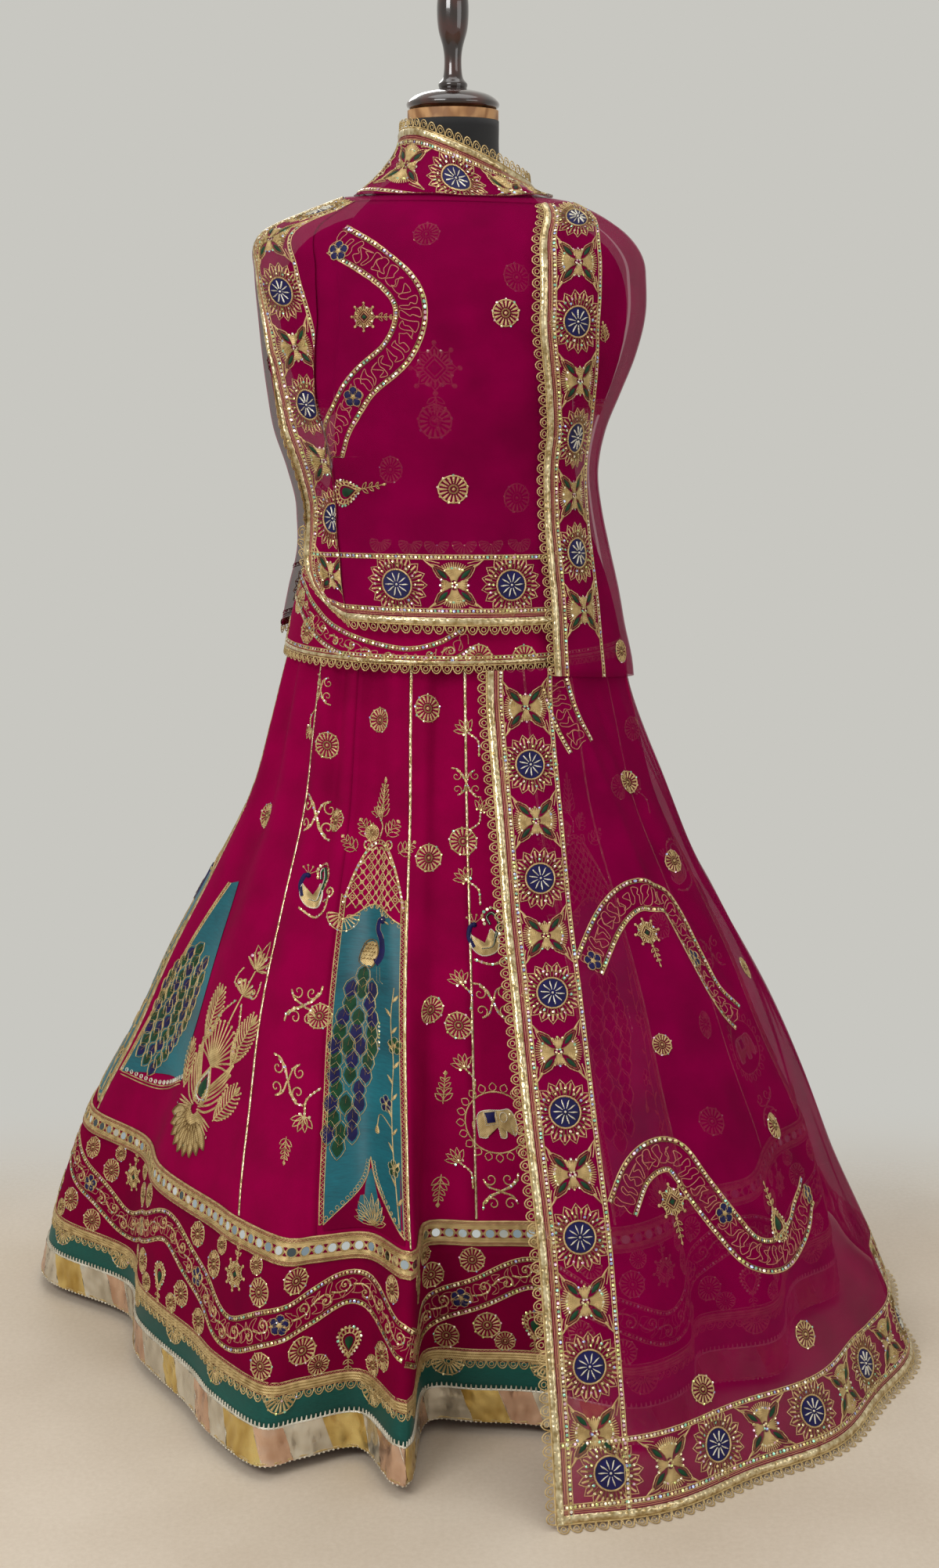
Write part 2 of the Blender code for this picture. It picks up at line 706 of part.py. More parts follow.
def make_tunic():
    """Make the tunic's front and back, and the looped edging of its hem."""
    heights = [row[0] for row in reversed(TUNIC_SECTIONS)]
    for name, middle, parts in (
        ("kurti_front", 0.0, TUNIC_FRONT_COLUMNS),
        ("kurti_back", 180.0, TUNIC_BACK_COLUMNS),
    ):
        grid = []
        for height in heights:
            reach = seam_angle(height)
            if middle:
                reach = min(reach, BACK_REACH)
            row = [tunic_point(middle + reach * (2 * k / parts - 1), height) for k in range(parts + 1)]
            grid.append(row)
        grid = pull_edges(grid, True, False, False)
        add_wall(name, grid, grid_normals(grid, False), 0.0, PANEL_WALL, "georgette")
    trim = []
    for drop in (SEAM_GAP, TUNIC_TRIM):
        step = 360 / (2 * TUNIC_FRONT_COLUMNS)
        ring = [tunic_point(step * k, TUNIC_HEM_Z) for k in range(2 * TUNIC_FRONT_COLUMNS)]
        trim.append([Vector((p.x, p.y, p.z - drop)) for p in ring])
    normals = grid_normals(trim, True)
    add_wall("kurti_hem_lace", trim, normals, 0.0, TRIM_WALL, "gold_thread", closed=True)


def sleeve_rows(side):
    """Return rings of points from the armhole to the cuff; side is -1 or 1."""
    rings = [[] for _ in range(SLEEVE_ROWS + 1)]
    for k in range(2 * SLEEVE_POINTS):
        turn = math.pi * k / SLEEVE_POINTS
        up = 0.5 - 0.5 * math.cos(turn)
        forward = 1 if k < SLEEVE_POINTS else -1
        height = ARMHOLE_BOTTOM + (ARMHOLE_TOP - ARMHOLE_BOTTOM) * up
        reach = seam_angle(height)
        angle = reach if forward > 0 else 180.0 - reach
        edge = tunic_point(angle, height)
        out = Vector((1.0, 0.0, 0.0)) * (PANEL_WALL + ARMHOLE_CLEAR)
        start = edge + out
        cuff = Vector(
            (
                CUFF_X - CUFF_HALF_WIDTH * math.cos(turn),
                -CUFF_HALF_DEPTH * math.sin(turn),
                CUFF_Z,
            )
        )
        middle = (start.y + cuff.y) / 2
        bend = Vector((cuff.x + CAP_REACH * up, middle, start.z - CAP_DROP * up))
        for i in range(SLEEVE_ROWS + 1):
            t = i / SLEEVE_ROWS
            spot = start * (1 - t) ** 2 + bend * 2 * t * (1 - t) + cuff * t * t
            rings[i].append(Vector((side * spot.x, spot.y, spot.z)))
    if side < 0:
        rings = [[ring[0]] + ring[:0:-1] for ring in rings]
    return rings


def make_sleeves():
    """Make the two short sleeves and the edging at their cuffs."""
    for name, side in (("sleeve_left", -1), ("sleeve_right", 1)):
        rings = sleeve_rows(side)
        normals = grid_normals(rings, True)
        add_wall(name, rings, normals, -SHEER_WALL, 0.0, "georgette", closed=True)
        drops = (2 * SEAM_GAP, SLEEVE_TRIM)
        trim = [[Vector((p.x, p.y, p.z - drop)) for p in rings[-1]] for drop in drops]
        facing = grid_normals(trim, True)
        add_wall(f"{name}_lace", trim, facing, -SHEER_WALL, 0.0, "gold_thread", closed=True)


def shawl_point(angle, height, lift):
    """Return a point of the shawl on the outline that carries it, moved out by lift."""
    left, right, front, rear = read_row(SHAWL_OUTLINE, height)
    turn = math.radians(angle)
    half = right if math.sin(turn) > 0 else left
    depth = front if math.cos(turn) > 0 else rear
    return polar(angle, half + lift, depth + lift, height)


def stretch_grid(rows, columns, lift, fold=0.0, folds=0):
    """Return a grid of points for one stretch of the shawl, top row first."""
    grid = []
    for share, left_z, right_z, left_angle, right_angle in rows:
        line = []
        for k in range(columns + 1):
            across = k / columns
            height = left_z + (right_z - left_z) * across
            angle = left_angle + (right_angle - left_angle) * across
            ease = math.sin(math.pi * min(max(share, 0.0), 1.0)) ** FOLD_EASE if fold else 0.0
            wave = fold * ease * (0.5 - 0.5 * math.cos(2 * math.pi * folds * across))
            line.append(shawl_point(angle, height, lift + wave))
        grid.append(line)
    return grid


def shift_edge(grid, rows):
    """Move a stretch's outer edge in and forward, and its cloth with it, less towards the other."""
    last = len(grid[0]) - 1
    for line, (share, *_) in zip(grid, rows):
        right, back = read_row(LEFT_FALL_SHIFT, share)
        for k, point in enumerate(line):
            ease = (1 - k / last) ** 2
            point.x += right * ease
            point.y += back * ease


def shoulder_grid():
    """Return the shoulder piece, from under the neck's border to the stretches' top edges."""
    first = SHOULDER_EDGE[0][0]
    angles = [first + 360 * k / SHOULDER_STEPS for k in range(SHOULDER_STEPS)]
    grid = []
    for height, out in SHOULDER_ROWS:
        centre = Vector((0.0, 0.0, height))
        near = [tunic_point(angle, height) for angle in angles]
        grid.append([point + (point - centre).normalized() * out for point in near])
    edge = []
    for angle in angles:
        height = read_row(SHOULDER_EDGE, angle)[0] + SHOULDER_GAP
        edge.append(shawl_point(angle, height, BACK_LIFT))
    return grid + [edge]


def neck_grid():
    """Return the border wound round the neck, upper edge first."""
    grid = []
    for i in range(NECK_WRAP_ROWS + 1):
        down = i / NECK_WRAP_ROWS
        line = []
        for angle, top_radius, top_z, low_radius, low_z in NECK_WRAP:
            radius = top_radius + (low_radius - top_radius) * down**2
            line.append(polar(angle, radius, radius * NECK_WRAP_DEPTH, top_z + (low_z - top_z) * down))
        grid.append(line)
    return grid


def lower_point(across, height):
    """Return a point of the shawl's lower stretch: across runs from its front edge to its back."""
    front_edge, back_edge = read_row(LOWER_EDGES, height)
    angle = front_edge + (back_edge - front_edge) * across
    spread = read_row(LOWER_SPREAD, height)[0]
    floor_radius = read_row(LOWER_FLOOR, angle)[0]
    turn = math.radians(angle)
    top = math.hypot(LOWER_TOP_SIDE * math.sin(turn), LOWER_TOP_FRONT * math.cos(turn))
    radius = top + (floor_radius - top) * spread
    radius += LOWER_FOLD_DEPTH * spread * (0.5 - 0.5 * math.cos(2 * math.pi * LOWER_FOLDS * across))
    return polar(angle, radius, radius, height)


def lower_grid():
    """Return the shawl's lower stretch, top row first."""
    shares = [k / LOWER_COLUMNS for k in range(LOWER_COLUMNS + 1)]
    return [[lower_point(share, height) for share in shares] for height in LOWER_ROWS]


def edge_line(grid, normals, side):
    """Return (point, outward, normal) along one edge of a grid."""
    last = len(grid) - 1
    if side == "bottom":
        pairs = [(grid[last][j], grid[last - 1][j], normals[last][j]) for j in range(len(grid[0]))]
    elif side == "top":
        pairs = [(grid[0][j], grid[1][j], normals[0][j]) for j in range(len(grid[0]))][::-1]
    elif side == "left":
        pairs = [(row[0], row[1], facing[0]) for row, facing in zip(grid, normals)]
    else:
        pairs = [(row[-1], row[-2], facing[-1]) for row, facing in zip(grid, normals)][::-1]
    line = []
    for k, (edge, beside, facing) in enumerate(pairs):
        along = pairs[min(k + 1, len(pairs) - 1)][0] - pairs[max(k - 1, 0)][0]
        outward = along.cross(facing).normalized()
        if outward.dot(edge - beside) < 0:
            outward.negate()
        line.append((edge, outward, facing))
    return line


def station_at(line, lengths, goal):
    """Return (point, outward, normal) at a length along an edge."""
    place = max(i for i, length in enumerate(lengths[:-1]) if length <= goal + 1e-9)
    share = min((goal - lengths[place]) / (lengths[place + 1] - lengths[place]), 1.0)
    here, after = line[place], line[place + 1]
    return tuple(a.lerp(b, share) for a, b in zip(here, after))


def add_lace(name, line, holes, up=(0.0, SHEER_WALL)):
    """Make a lace strip beside an edge; with holes, each loop of the lace is cut through."""
    rows = [LACE_GAP, LACE_WIDTH]
    if holes:
        rows = [rows[0], LACE_HOLE_START, LACE_HOLE_END, LACE_WIDTH]
        lengths = [0.0]
        for (a, _, _), (b, _, _) in zip(line, line[1:]):
            lengths.append(lengths[-1] + (b - a).length)
        count = round(lengths[-1] / LACE_PITCH)
        pitch = lengths[-1] / count
        goals = [0.0]
        for k in range(count):
            middle = (k + 0.5) * pitch
            goals += [middle - LACE_HOLE_SHARE * pitch / 2, middle + LACE_HOLE_SHARE * pitch / 2]
        goals.append(lengths[-1])
        stations = [station_at(line, lengths, goal) for goal in goals]
        cut = {(1, 2 * k + 1) for k in range(count)}
    else:
        stations = line
        cut = set()
    grid = [[point + out * reach for point, out, _ in stations] for reach in rows]
    normals = [[facing for _, _, facing in stations] for _ in rows]
    add_wall(name, grid, normals, up[0], up[1], "gold_thread", cut=cut)


def make_shawl():
    """Make each stretch of the sheer shawl that shows, and the lace along its edges."""
    plans = (
        ("dupatta_chest", CHEST_ROWS, CHEST_COLUMNS, CHEST_LIFT, 0.0, 0, ("bottom",)),
        ("dupatta_left_fall", LEFT_FALL_ROWS, LEFT_FALL_COLUMNS, CHEST_LIFT, 0.0, 0, ("left",)),
        (
            "dupatta_right_fall",
            RIGHT_FALL_ROWS,
            RIGHT_FALL_COLUMNS,
            RIGHT_FALL_LIFT,
            FALL_FOLD,
            FALL_FOLDS,
            ("left",),
        ),
        (
            "dupatta_back",
            BACK_ROWS,
            BACK_COLUMNS,
            BACK_LIFT,
            FALL_FOLD,
            FALL_FOLDS,
            ("bottom",),
        ),
    )
    for name, rows, columns, lift, fold, folds, laced in plans:
        grid = stretch_grid(rows, columns, lift, fold, folds)
        if name == "dupatta_left_fall":
            shift_edge(grid, rows)
        grid = pull_edges(grid, True, False, False)
        normals = grid_normals(grid, False)
        add_wall(name, grid, normals, 0.0, SHEER_WALL, "sheer_georgette")
        for side in laced:
            add_lace(f"{name}_lace", edge_line(grid, normals, side), False)
    shoulders = shoulder_grid()
    facing = grid_normals(shoulders, True)
    add_wall("dupatta_shoulders", shoulders, facing, 0.0, SHEER_WALL, "sheer_georgette", closed=True)
    wrap = neck_grid()
    facing = grid_normals(wrap, False)
    add_wall("dupatta_neck", wrap, facing, 0.0, SHEER_WALL, "sheer_georgette")
    add_lace("dupatta_neck_lace", edge_line(wrap, facing, "top"), False)
    lower = lower_grid()
    facing = grid_normals(lower, False)
    add_wall("dupatta_lower", lower, facing, 0.0, SHEER_WALL, "sheer_georgette")
    add_lace("dupatta_lower_lace", edge_line(lower, facing, "left"), True)


clear_scene()
make_form()
make_skirt()
make_tunic()
make_sleeves()
make_shawl()
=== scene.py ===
"""Looks of a lehenga choli on a dress form: cloth, embroidery, lace, foil and mirrors.

Lengths are metres, +Z is up and -Y is the front. Angles are degrees round the upright
axis: 0 is the front, 90 the viewer's right. Each cloth is worked out from the same tables
as its solid, at a finer step, and each design is drawn once, flat, in metres, and then
laid on the cloth that carries it.
"""

import logging
import math
from dataclasses import dataclass, field
from enum import Enum
from typing import Any, Callable, Sequence

import bpy
import numpy as np
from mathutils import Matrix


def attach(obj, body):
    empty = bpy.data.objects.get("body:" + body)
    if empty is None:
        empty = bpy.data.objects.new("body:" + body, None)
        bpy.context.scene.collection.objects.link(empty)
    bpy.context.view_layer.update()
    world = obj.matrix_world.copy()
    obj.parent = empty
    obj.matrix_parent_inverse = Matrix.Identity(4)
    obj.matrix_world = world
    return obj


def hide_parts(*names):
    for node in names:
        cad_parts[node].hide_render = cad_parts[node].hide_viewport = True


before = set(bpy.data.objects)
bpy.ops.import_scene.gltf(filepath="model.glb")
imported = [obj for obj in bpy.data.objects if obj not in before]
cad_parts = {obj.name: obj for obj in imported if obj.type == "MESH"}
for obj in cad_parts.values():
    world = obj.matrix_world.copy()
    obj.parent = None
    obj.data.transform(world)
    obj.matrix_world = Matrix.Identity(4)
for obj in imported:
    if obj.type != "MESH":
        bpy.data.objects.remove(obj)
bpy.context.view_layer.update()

Array = np.ndarray
Rows = Sequence[Sequence[float]]
Measure = Callable[[float], float]

LOG = logging.getLogger("lehenga")
BODY = "root"
PHOTO_SIZE = (1200, 2003)

# Heights of the skirt's seams and bands, as in the solids
WAIST_Z = 1.020
HEM_Z = 0.015
FOIL_TOP = 0.055
FLOOR_CLEAR = 0.0012
TEAL_TOP = 0.089
LACE_TOP = 0.099
BORDER_TOP = 0.224
MIRROR_TOP = 0.252
FOLDS_START = 0.860
FOLD_GROWTH = 1.15
SKIRT_LOBE_HEM = 0.558
PANEL_COUNT = 18
FIRST_SEAM_WAIST = -16.0
# Half the size of the ground that is read round one place
PATCH_HALF = 0.06
# Gap between two cloths, and the cloths' thicknesses
LAYER_GAP = 0.0004
PANEL_WALL = 0.0015
SHEER_WALL = 0.0012
TRIM_WALL = 0.0012
BAND_START = PANEL_WALL + LAYER_GAP
BAND_FACE = BAND_START + TRIM_WALL

SKIRT_PROFILE = (
    (0.0, 0.555, 1.0), (0.085, 0.535, 1.0), (0.142, 0.519, 1.0), (0.252, 0.477, 1.0),
    (0.362, 0.418, 0.985), (0.47, 0.366, 0.96), (0.576, 0.308, 0.93), (0.68, 0.256, 0.89),
    (0.782, 0.226, 0.85), (0.86, 0.205, 0.81), (0.92, 0.184, 0.78), (1.05, 0.14, 0.76),
)
# Hem folds: angle, radius, and 1 where a panel seam ends
HEM_FOLDS = (
    (-5.3, 0.573, 1), (-4.7, 0.432, 0), (4.0, 0.428, 1), (14.0, 0.45, 0), (24.0, 0.524, 1),
    (33.0, 0.512, 0), (41.0, 0.455, 1), (52.0, 0.505, 0), (64.0, 0.47, 1), (72.0, 0.47, 0),
    (80.0, 0.515, 1), (90.0, 0.5, 0), (99.0, 0.45, 1), (109.0, 0.49, 0), (119.0, 0.51, 1),
    (129.0, 0.455, 0), (139.0, 0.5, 1), (149.0, 0.545, 0), (158.0, 0.475, 1), (168.0, 0.468, 0),
    (178.0, 0.555, 1), (188.0, 0.54, 0), (197.0, 0.462, 1), (207.0, 0.478, 0), (217.0, 0.55, 1),
    (226.0, 0.52, 0), (235.0, 0.458, 1), (245.0, 0.474, 0), (255.0, 0.548, 1), (267.0, 0.56, 0),
    (276.0, 0.545, 1), (290.0, 0.447, 0), (304.0, 0.472, 0), (321.0, 0.497, 0), (328.0, 0.53, 1),
    (337.4, 0.57, 0), (341.0, 0.54, 1), (348.0, 0.496, 0),
)
# How deep the gathers below are drawn against their rows, so that they read at a distance
GATHER_DEPTH = 2.1
# Soft gathers of the skirt: panel number at the top and bottom, height of the top and
# bottom, width, depth (a trough where it is negative)
SKIRT_GATHERS = (
    (0.22, 0.3, 1.0, 0.56, 0.01, 0.003), (0.62, 0.55, 0.99, 0.66, 0.008, -0.0026),
    (1.15, 1.35, 1.0, 0.5, 0.011, 0.0034), (1.7, 1.62, 0.98, 0.6, 0.009, -0.0028),
    (2.35, 2.2, 1.0, 0.45, 0.012, 0.003), (2.86, 2.8, 1.0, 0.58, 0.009, -0.003),
    (3.4, 3.5, 0.99, 0.48, 0.012, 0.0032), (4.1, 4.25, 1.0, 0.55, 0.01, -0.0028),
    (4.75, 4.7, 1.0, 0.42, 0.012, 0.0034), (5.55, 5.4, 0.98, 0.6, 0.01, -0.0026),
    (6.2, 6.35, 1.0, 0.5, 0.012, 0.003), (7.05, 6.95, 0.99, 0.56, 0.01, -0.003),
    (7.6, 7.7, 1.0, 0.4, 0.013, 0.0034), (8.45, 8.4, 0.98, 0.62, 0.01, -0.0026),
    (9.15, 9.3, 1.0, 0.46, 0.012, 0.0032), (9.95, 9.8, 0.99, 0.57, 0.01, -0.0028),
    (10.6, 10.7, 1.0, 0.44, 0.012, 0.0032), (11.4, 11.35, 0.98, 0.6, 0.01, -0.0028),
    (12.2, 12.3, 1.0, 0.48, 0.012, 0.003), (12.95, 12.8, 0.99, 0.55, 0.01, -0.003),
    (13.65, 13.75, 1.0, 0.42, 0.012, 0.0034), (14.4, 14.45, 0.98, 0.58, 0.01, -0.0026),
    (15.12, 15.25, 1.0, 0.34, 0.013, 0.004), (15.35, 15.55, 0.98, 0.4, 0.01, -0.0034),
    (15.62, 15.7, 1.0, 0.3, 0.014, 0.0044), (15.85, 15.86, 0.99, 0.44, 0.01, -0.003),
    (16.22, 16.3, 1.0, 0.46, 0.01, 0.0034), (16.55, 16.6, 0.98, 0.36, 0.009, -0.0034),
    (16.9, 16.92, 1.0, 0.4, 0.01, 0.0036), (17.3, 17.28, 0.99, 0.55, 0.01, -0.003),
    (17.72, 17.75, 1.0, 0.47, 0.011, 0.0036),
)

TUNIC_SECTIONS = (
    (0.862, 0.212, 0.188, 0.184), (0.9, 0.204, 0.181, 0.176), (0.95, 0.19, 0.169, 0.16),
    (1.0, 0.172, 0.153, 0.14), (1.05, 0.156, 0.143, 0.128), (1.1, 0.148, 0.143, 0.115),
    (1.165, 0.146, 0.153, 0.11), (1.21, 0.147, 0.161, 0.111), (1.25, 0.148, 0.162, 0.111),
    (1.3, 0.148, 0.15, 0.109), (1.34, 0.142, 0.132, 0.103), (1.365, 0.133, 0.116, 0.095),
    (1.385, 0.119, 0.101, 0.087), (1.405, 0.099, 0.087, 0.078), (1.43, 0.07, 0.071, 0.067),
)
TUNIC_HEM_Z = 0.862
TUNIC_TOP_Z = 1.430
ARMHOLE_BOTTOM = 1.165
ARMHOLE_TOP = 1.385
ARMHOLE_DEPTH = 25.0
ARMHOLE_ROUNDNESS = 0.8
ARMHOLE_CLEAR = 0.0018
CUFF_Z = 1.158
CUFF_X = 0.168
CUFF_HALF_WIDTH = 0.0170
CUFF_HALF_DEPTH = 0.043
CAP_REACH = 0.080
CAP_DROP = 0.035

SHAWL_OUTLINE = (
    (0.8, 0.229, 0.2275, 0.202, 0.2), (0.84, 0.227, 0.2235, 0.2, 0.196),
    (0.88, 0.223, 0.214, 0.197, 0.19), (0.93, 0.212, 0.204, 0.189, 0.176),
    (0.98, 0.199, 0.192, 0.179, 0.16), (1.03, 0.198, 0.181, 0.17, 0.144),
    (1.08, 0.208, 0.175, 0.167, 0.132), (1.13, 0.224, 0.182, 0.169, 0.128),
    (1.175, 0.231, 0.198, 0.169, 0.126), (1.22, 0.236, 0.215, 0.1649, 0.122),
    (1.27, 0.24, 0.227, 0.1641, 0.121), (1.32, 0.243, 0.228, 0.156, 0.118),
    (1.365, 0.233, 0.206, 0.138, 0.11), (1.39, 0.176, 0.168, 0.12, 0.101),
    (1.41, 0.124, 0.123, 0.103, 0.092), (1.44, 0.086, 0.09, 0.086, 0.082),
)
# Stretches of the shawl: share of the way down, height at the left and right edge,
# angle at the left and right edge
CHEST_ROWS = (
    (0.0, 1.398, 1.394, -48.0, 39.0), (0.08, 1.365, 1.36, -43.0, 34.0),
    (0.18, 1.32, 1.315, -41.0, 38.0), (0.28, 1.27, 1.268, -41.0, 37.0),
    (0.38, 1.22, 1.22, -43.0, 39.0), (0.48, 1.17, 1.172, -44.0, 44.0),
    (0.58, 1.12, 1.122, -42.0, 48.0), (0.68, 1.07, 1.072, -43.0, 47.0),
    (0.78, 1.02, 1.02, -44.0, 45.0), (0.88, 0.965, 0.965, -41.0, 42.0),
    (1.0, 0.912, 0.908, -35.0, 38.0),
)
LEFT_FALL_ROWS = (
    (0.0, 1.406, 1.398, -83.5, -48.0), (0.08, 1.36, 1.365, -87.0, -43.0),
    (0.18, 1.308, 1.32, -87.5, -41.0), (0.28, 1.258, 1.27, -85.0, -41.0),
    (0.38, 1.208, 1.22, -82.0, -43.0), (0.48, 1.16, 1.17, -79.0, -44.0),
    (0.58, 1.112, 1.12, -76.0, -42.0), (0.68, 1.065, 1.07, -76.5, -43.0),
    (0.78, 1.022, 1.02, -76.0, -44.0), (0.88, 0.975, 0.965, -68.0, -41.0),
    (1.0, 0.93, 0.912, -46.0, -35.0),
)
# How far the left fall's outer edge hangs in and forward of the outline
LEFT_FALL_SHIFT = (
    (0.0, 0.0, 0.0), (0.08, 0.004, -0.016), (0.18, 0.009, -0.042), (0.28, 0.012, -0.056),
    (0.38, 0.013, -0.062), (0.68, 0.013, -0.06), (0.78, 0.012, -0.052), (0.88, 0.006, -0.028),
    (1.0, 0.0, 0.0),
)
RIGHT_FALL_ROWS = (
    (0.0, 1.394, 1.406, 40.0, 116.0), (0.08, 1.36, 1.362, 29.0, 112.0),
    (0.18, 1.315, 1.316, 26.5, 108.0), (0.28, 1.268, 1.266, 26.5, 106.0),
    (0.38, 1.22, 1.217, 29.0, 105.0), (0.47, 1.172, 1.168, 33.5, 104.0),
    (0.56, 1.122, 1.118, 37.5, 104.0), (0.65, 1.072, 1.068, 37.5, 105.0),
    (0.74, 1.02, 1.014, 36.5, 106.0), (0.83, 0.965, 0.955, 35.5, 107.0),
    (0.92, 0.908, 0.89, 34.5, 108.0), (1.0, 0.846, 0.812, 33.0, 110.0),
)
BACK_ROWS = (
    (0.0, 1.406, 1.406, 117.0, 268.0), (0.08, 1.362, 1.36, 113.5, 267.5),
    (0.18, 1.316, 1.308, 110.0, 267.0), (0.34, 1.24, 1.24, 107.5, 266.0),
    (0.52, 1.15, 1.15, 106.5, 265.0), (0.7, 1.05, 1.05, 107.5, 264.0),
    (0.86, 0.96, 0.96, 109.5, 262.0), (1.0, 0.88, 0.88, 111.5, 260.0),
)
RIGHT_FALL_LIFT = 0.0026
BACK_LIFT = 0.0010
FALL_FOLD = 0.0050
FALL_FOLDS = 3
FOLD_EASE = 0.5

SHOULDER_EDGE = (
    (-48.0, 1.398), (-4.5, 1.396), (39.5, 1.394), (78.0, 1.4), (116.5, 1.406), (190.0, 1.406),
    (267.0, 1.406), (276.5, 1.406), (294.0, 1.402), (312.0, 1.398),
)
SHOULDER_GAP = 0.0009
SHOULDER_ROWS = ((1.4180, 0.0042), (1.4090, 0.0056))
# The border wound round the neck: angle, upper radius and height, lower radius and height
NECK_WRAP = (
    (-168.0, 0.068, 1.468, 0.099, 1.413), (-130.0, 0.0645, 1.474, 0.108, 1.41),
    (-95.0, 0.0634, 1.482, 0.1205, 1.4095), (-60.0, 0.0645, 1.486, 0.118, 1.4085),
    (-35.0, 0.068, 1.484, 0.111, 1.4065), (-10.0, 0.072, 1.474, 0.1088, 1.4055),
    (12.0, 0.076, 1.462, 0.11, 1.403), (32.0, 0.08, 1.45, 0.114, 1.403),
    (52.0, 0.084, 1.438, 0.12, 1.4065), (72.0, 0.09, 1.428, 0.1215, 1.4065),
    (100.0, 0.094, 1.422, 0.1205, 1.409),
)
NECK_WRAP_DEPTH = 0.97

LOWER_TOP_Z = 0.856
LOWER_TOP_SIDE = 0.2182
LOWER_TOP_FRONT = 0.1967
LOWER_BOTTOM_Z = 0.0050
LOWER_SPREAD = (
    (0.0, 1.0), (0.085, 0.905), (0.197, 0.765), (0.308, 0.648), (0.416, 0.516), (0.523, 0.356),
    (0.576, 0.272), (0.68, 0.15), (0.782, 0.035), (0.82, 0.006), (0.86, 0.0),
)
LOWER_FLOOR = (
    (8.0, 0.64), (22.0, 0.63), (37.0, 0.628), (56.0, 0.622), (66.0, 0.61), (80.0, 0.58),
    (95.0, 0.565), (124.0, 0.56),
)
LOWER_EDGES = (
    (0.005, 10.2, 122.0), (0.12, 10.6, 121.0), (0.25, 11.0, 120.0), (0.4, 10.6, 119.0),
    (0.56, 11.0, 118.0), (0.72, 11.6, 117.0), (0.856, 11.8, 116.0),
)
LOWER_FOLDS = 5
LOWER_FOLD_DEPTH = 0.014

TORSO_SECTIONS = (
    (0.79, 0.13, 0.105, 0.1), (0.83, 0.16, 0.128, 0.123), (0.9, 0.168, 0.132, 0.126),
    (0.96, 0.16, 0.126, 0.12), (1.02, 0.1488, 0.1132, 0.1132), (1.06, 0.135, 0.112, 0.103),
    (1.11, 0.138, 0.128, 0.104), (1.17, 0.14, 0.144, 0.104), (1.22, 0.141, 0.153, 0.105),
    (1.26, 0.141, 0.152, 0.105), (1.3, 0.14, 0.142, 0.102), (1.34, 0.134, 0.124, 0.096),
    (1.365, 0.124, 0.108, 0.088), (1.385, 0.11, 0.093, 0.08), (1.405, 0.09, 0.08, 0.071),
    (1.43, 0.063, 0.064, 0.06), (1.45, 0.057, 0.057, 0.056), (1.497, 0.0556, 0.0556, 0.0556),
)
BLOCK_TOP = 1.509
BLOCK_RADIUS = 0.0550
CAP_FLOOR = 1.5093
FINIAL_FLOOR = 1.5341
CAP_PROFILE = ((0.0500, 0.0), (0.0556, 0.004), (0.0550, 0.010), (0.0440, 0.018), (0.0200, 0.0245))
FINIAL_PROFILE = (
    (0.0165, 0.0), (0.0175, 0.006), (0.012, 0.014), (0.0104, 0.032), (0.012, 0.048),
    (0.0175, 0.068), (0.0192, 0.088), (0.018, 0.106), (0.0125, 0.124), (0.006, 0.14),
)
POLE_RADIUS = 0.0140
POLE_FLOOR = 0.0423
POLE_TOP = 0.7897
BASE_PROFILE = ((0.190, 0.0), (0.190, 0.010), (0.182, 0.018), (0.060, 0.030), (0.030, 0.042))


# ---- numbers and curves


class Table:
    """A table of sizes, read on a smooth curve through its rows."""

    def __init__(self, rows: Rows) -> None:
        """Take the rows; the first column is the key."""
        data = np.array(rows, float)
        self.keys, self.values = data[:, 0], data[:, 1:]
        self.rates = np.diff(self.values, axis=0) / np.diff(self.keys)[:, None]

    def at(self, key: Array | float) -> Array:
        """Read the later columns.

        Args:
            key: One key or an array of keys.

        Returns:
            The columns, as the last axis.
        """
        keys = np.clip(np.asarray(key, float), self.keys[0], self.keys[-1])
        last = len(self.keys) - 2
        place = np.clip(np.searchsorted(self.keys, keys, side="right") - 1, 0, last)
        span = (self.keys[place + 1] - self.keys[place])[..., None]
        t = (keys - self.keys[place])[..., None] / span
        here, after = self.values[place], self.values[place + 1]
        step = after - here
        before_step = self.rates[np.maximum(place - 1, 0)] * span
        after_step = self.rates[np.minimum(place + 1, last)] * span
        start = np.where(step * before_step > 0, 0.5 * (step + before_step), 0.0)
        end = np.where(step * after_step > 0, 0.5 * (step + after_step), 0.0)
        return (
            here * (1 + 2 * t) * (1 - t) ** 2
            + after * t * t * (3 - 2 * t)
            + start * t * (1 - t) ** 2
            - end * t * t * (1 - t)
        )


def polar(angle: Array, across: Array, along: Array, height: Array) -> Array:
    """Place points round the upright axis.

    Args:
        angle: Degrees from the front.
        across: Half width of the form there.
        along: Half depth of the form there.
        height: Height above the floor.

    Returns:
        Points, as the last axis.
    """
    turn = np.radians(angle)
    x, y, z = np.broadcast_arrays(across * np.sin(turn), -along * np.cos(turn), height)
    return np.stack([x, y, z], axis=-1)


def unit(vectors: Array) -> Array:
    """Scale vectors to length 1."""
    return vectors / np.maximum(np.linalg.norm(vectors, axis=-1, keepdims=True), 1e-12)


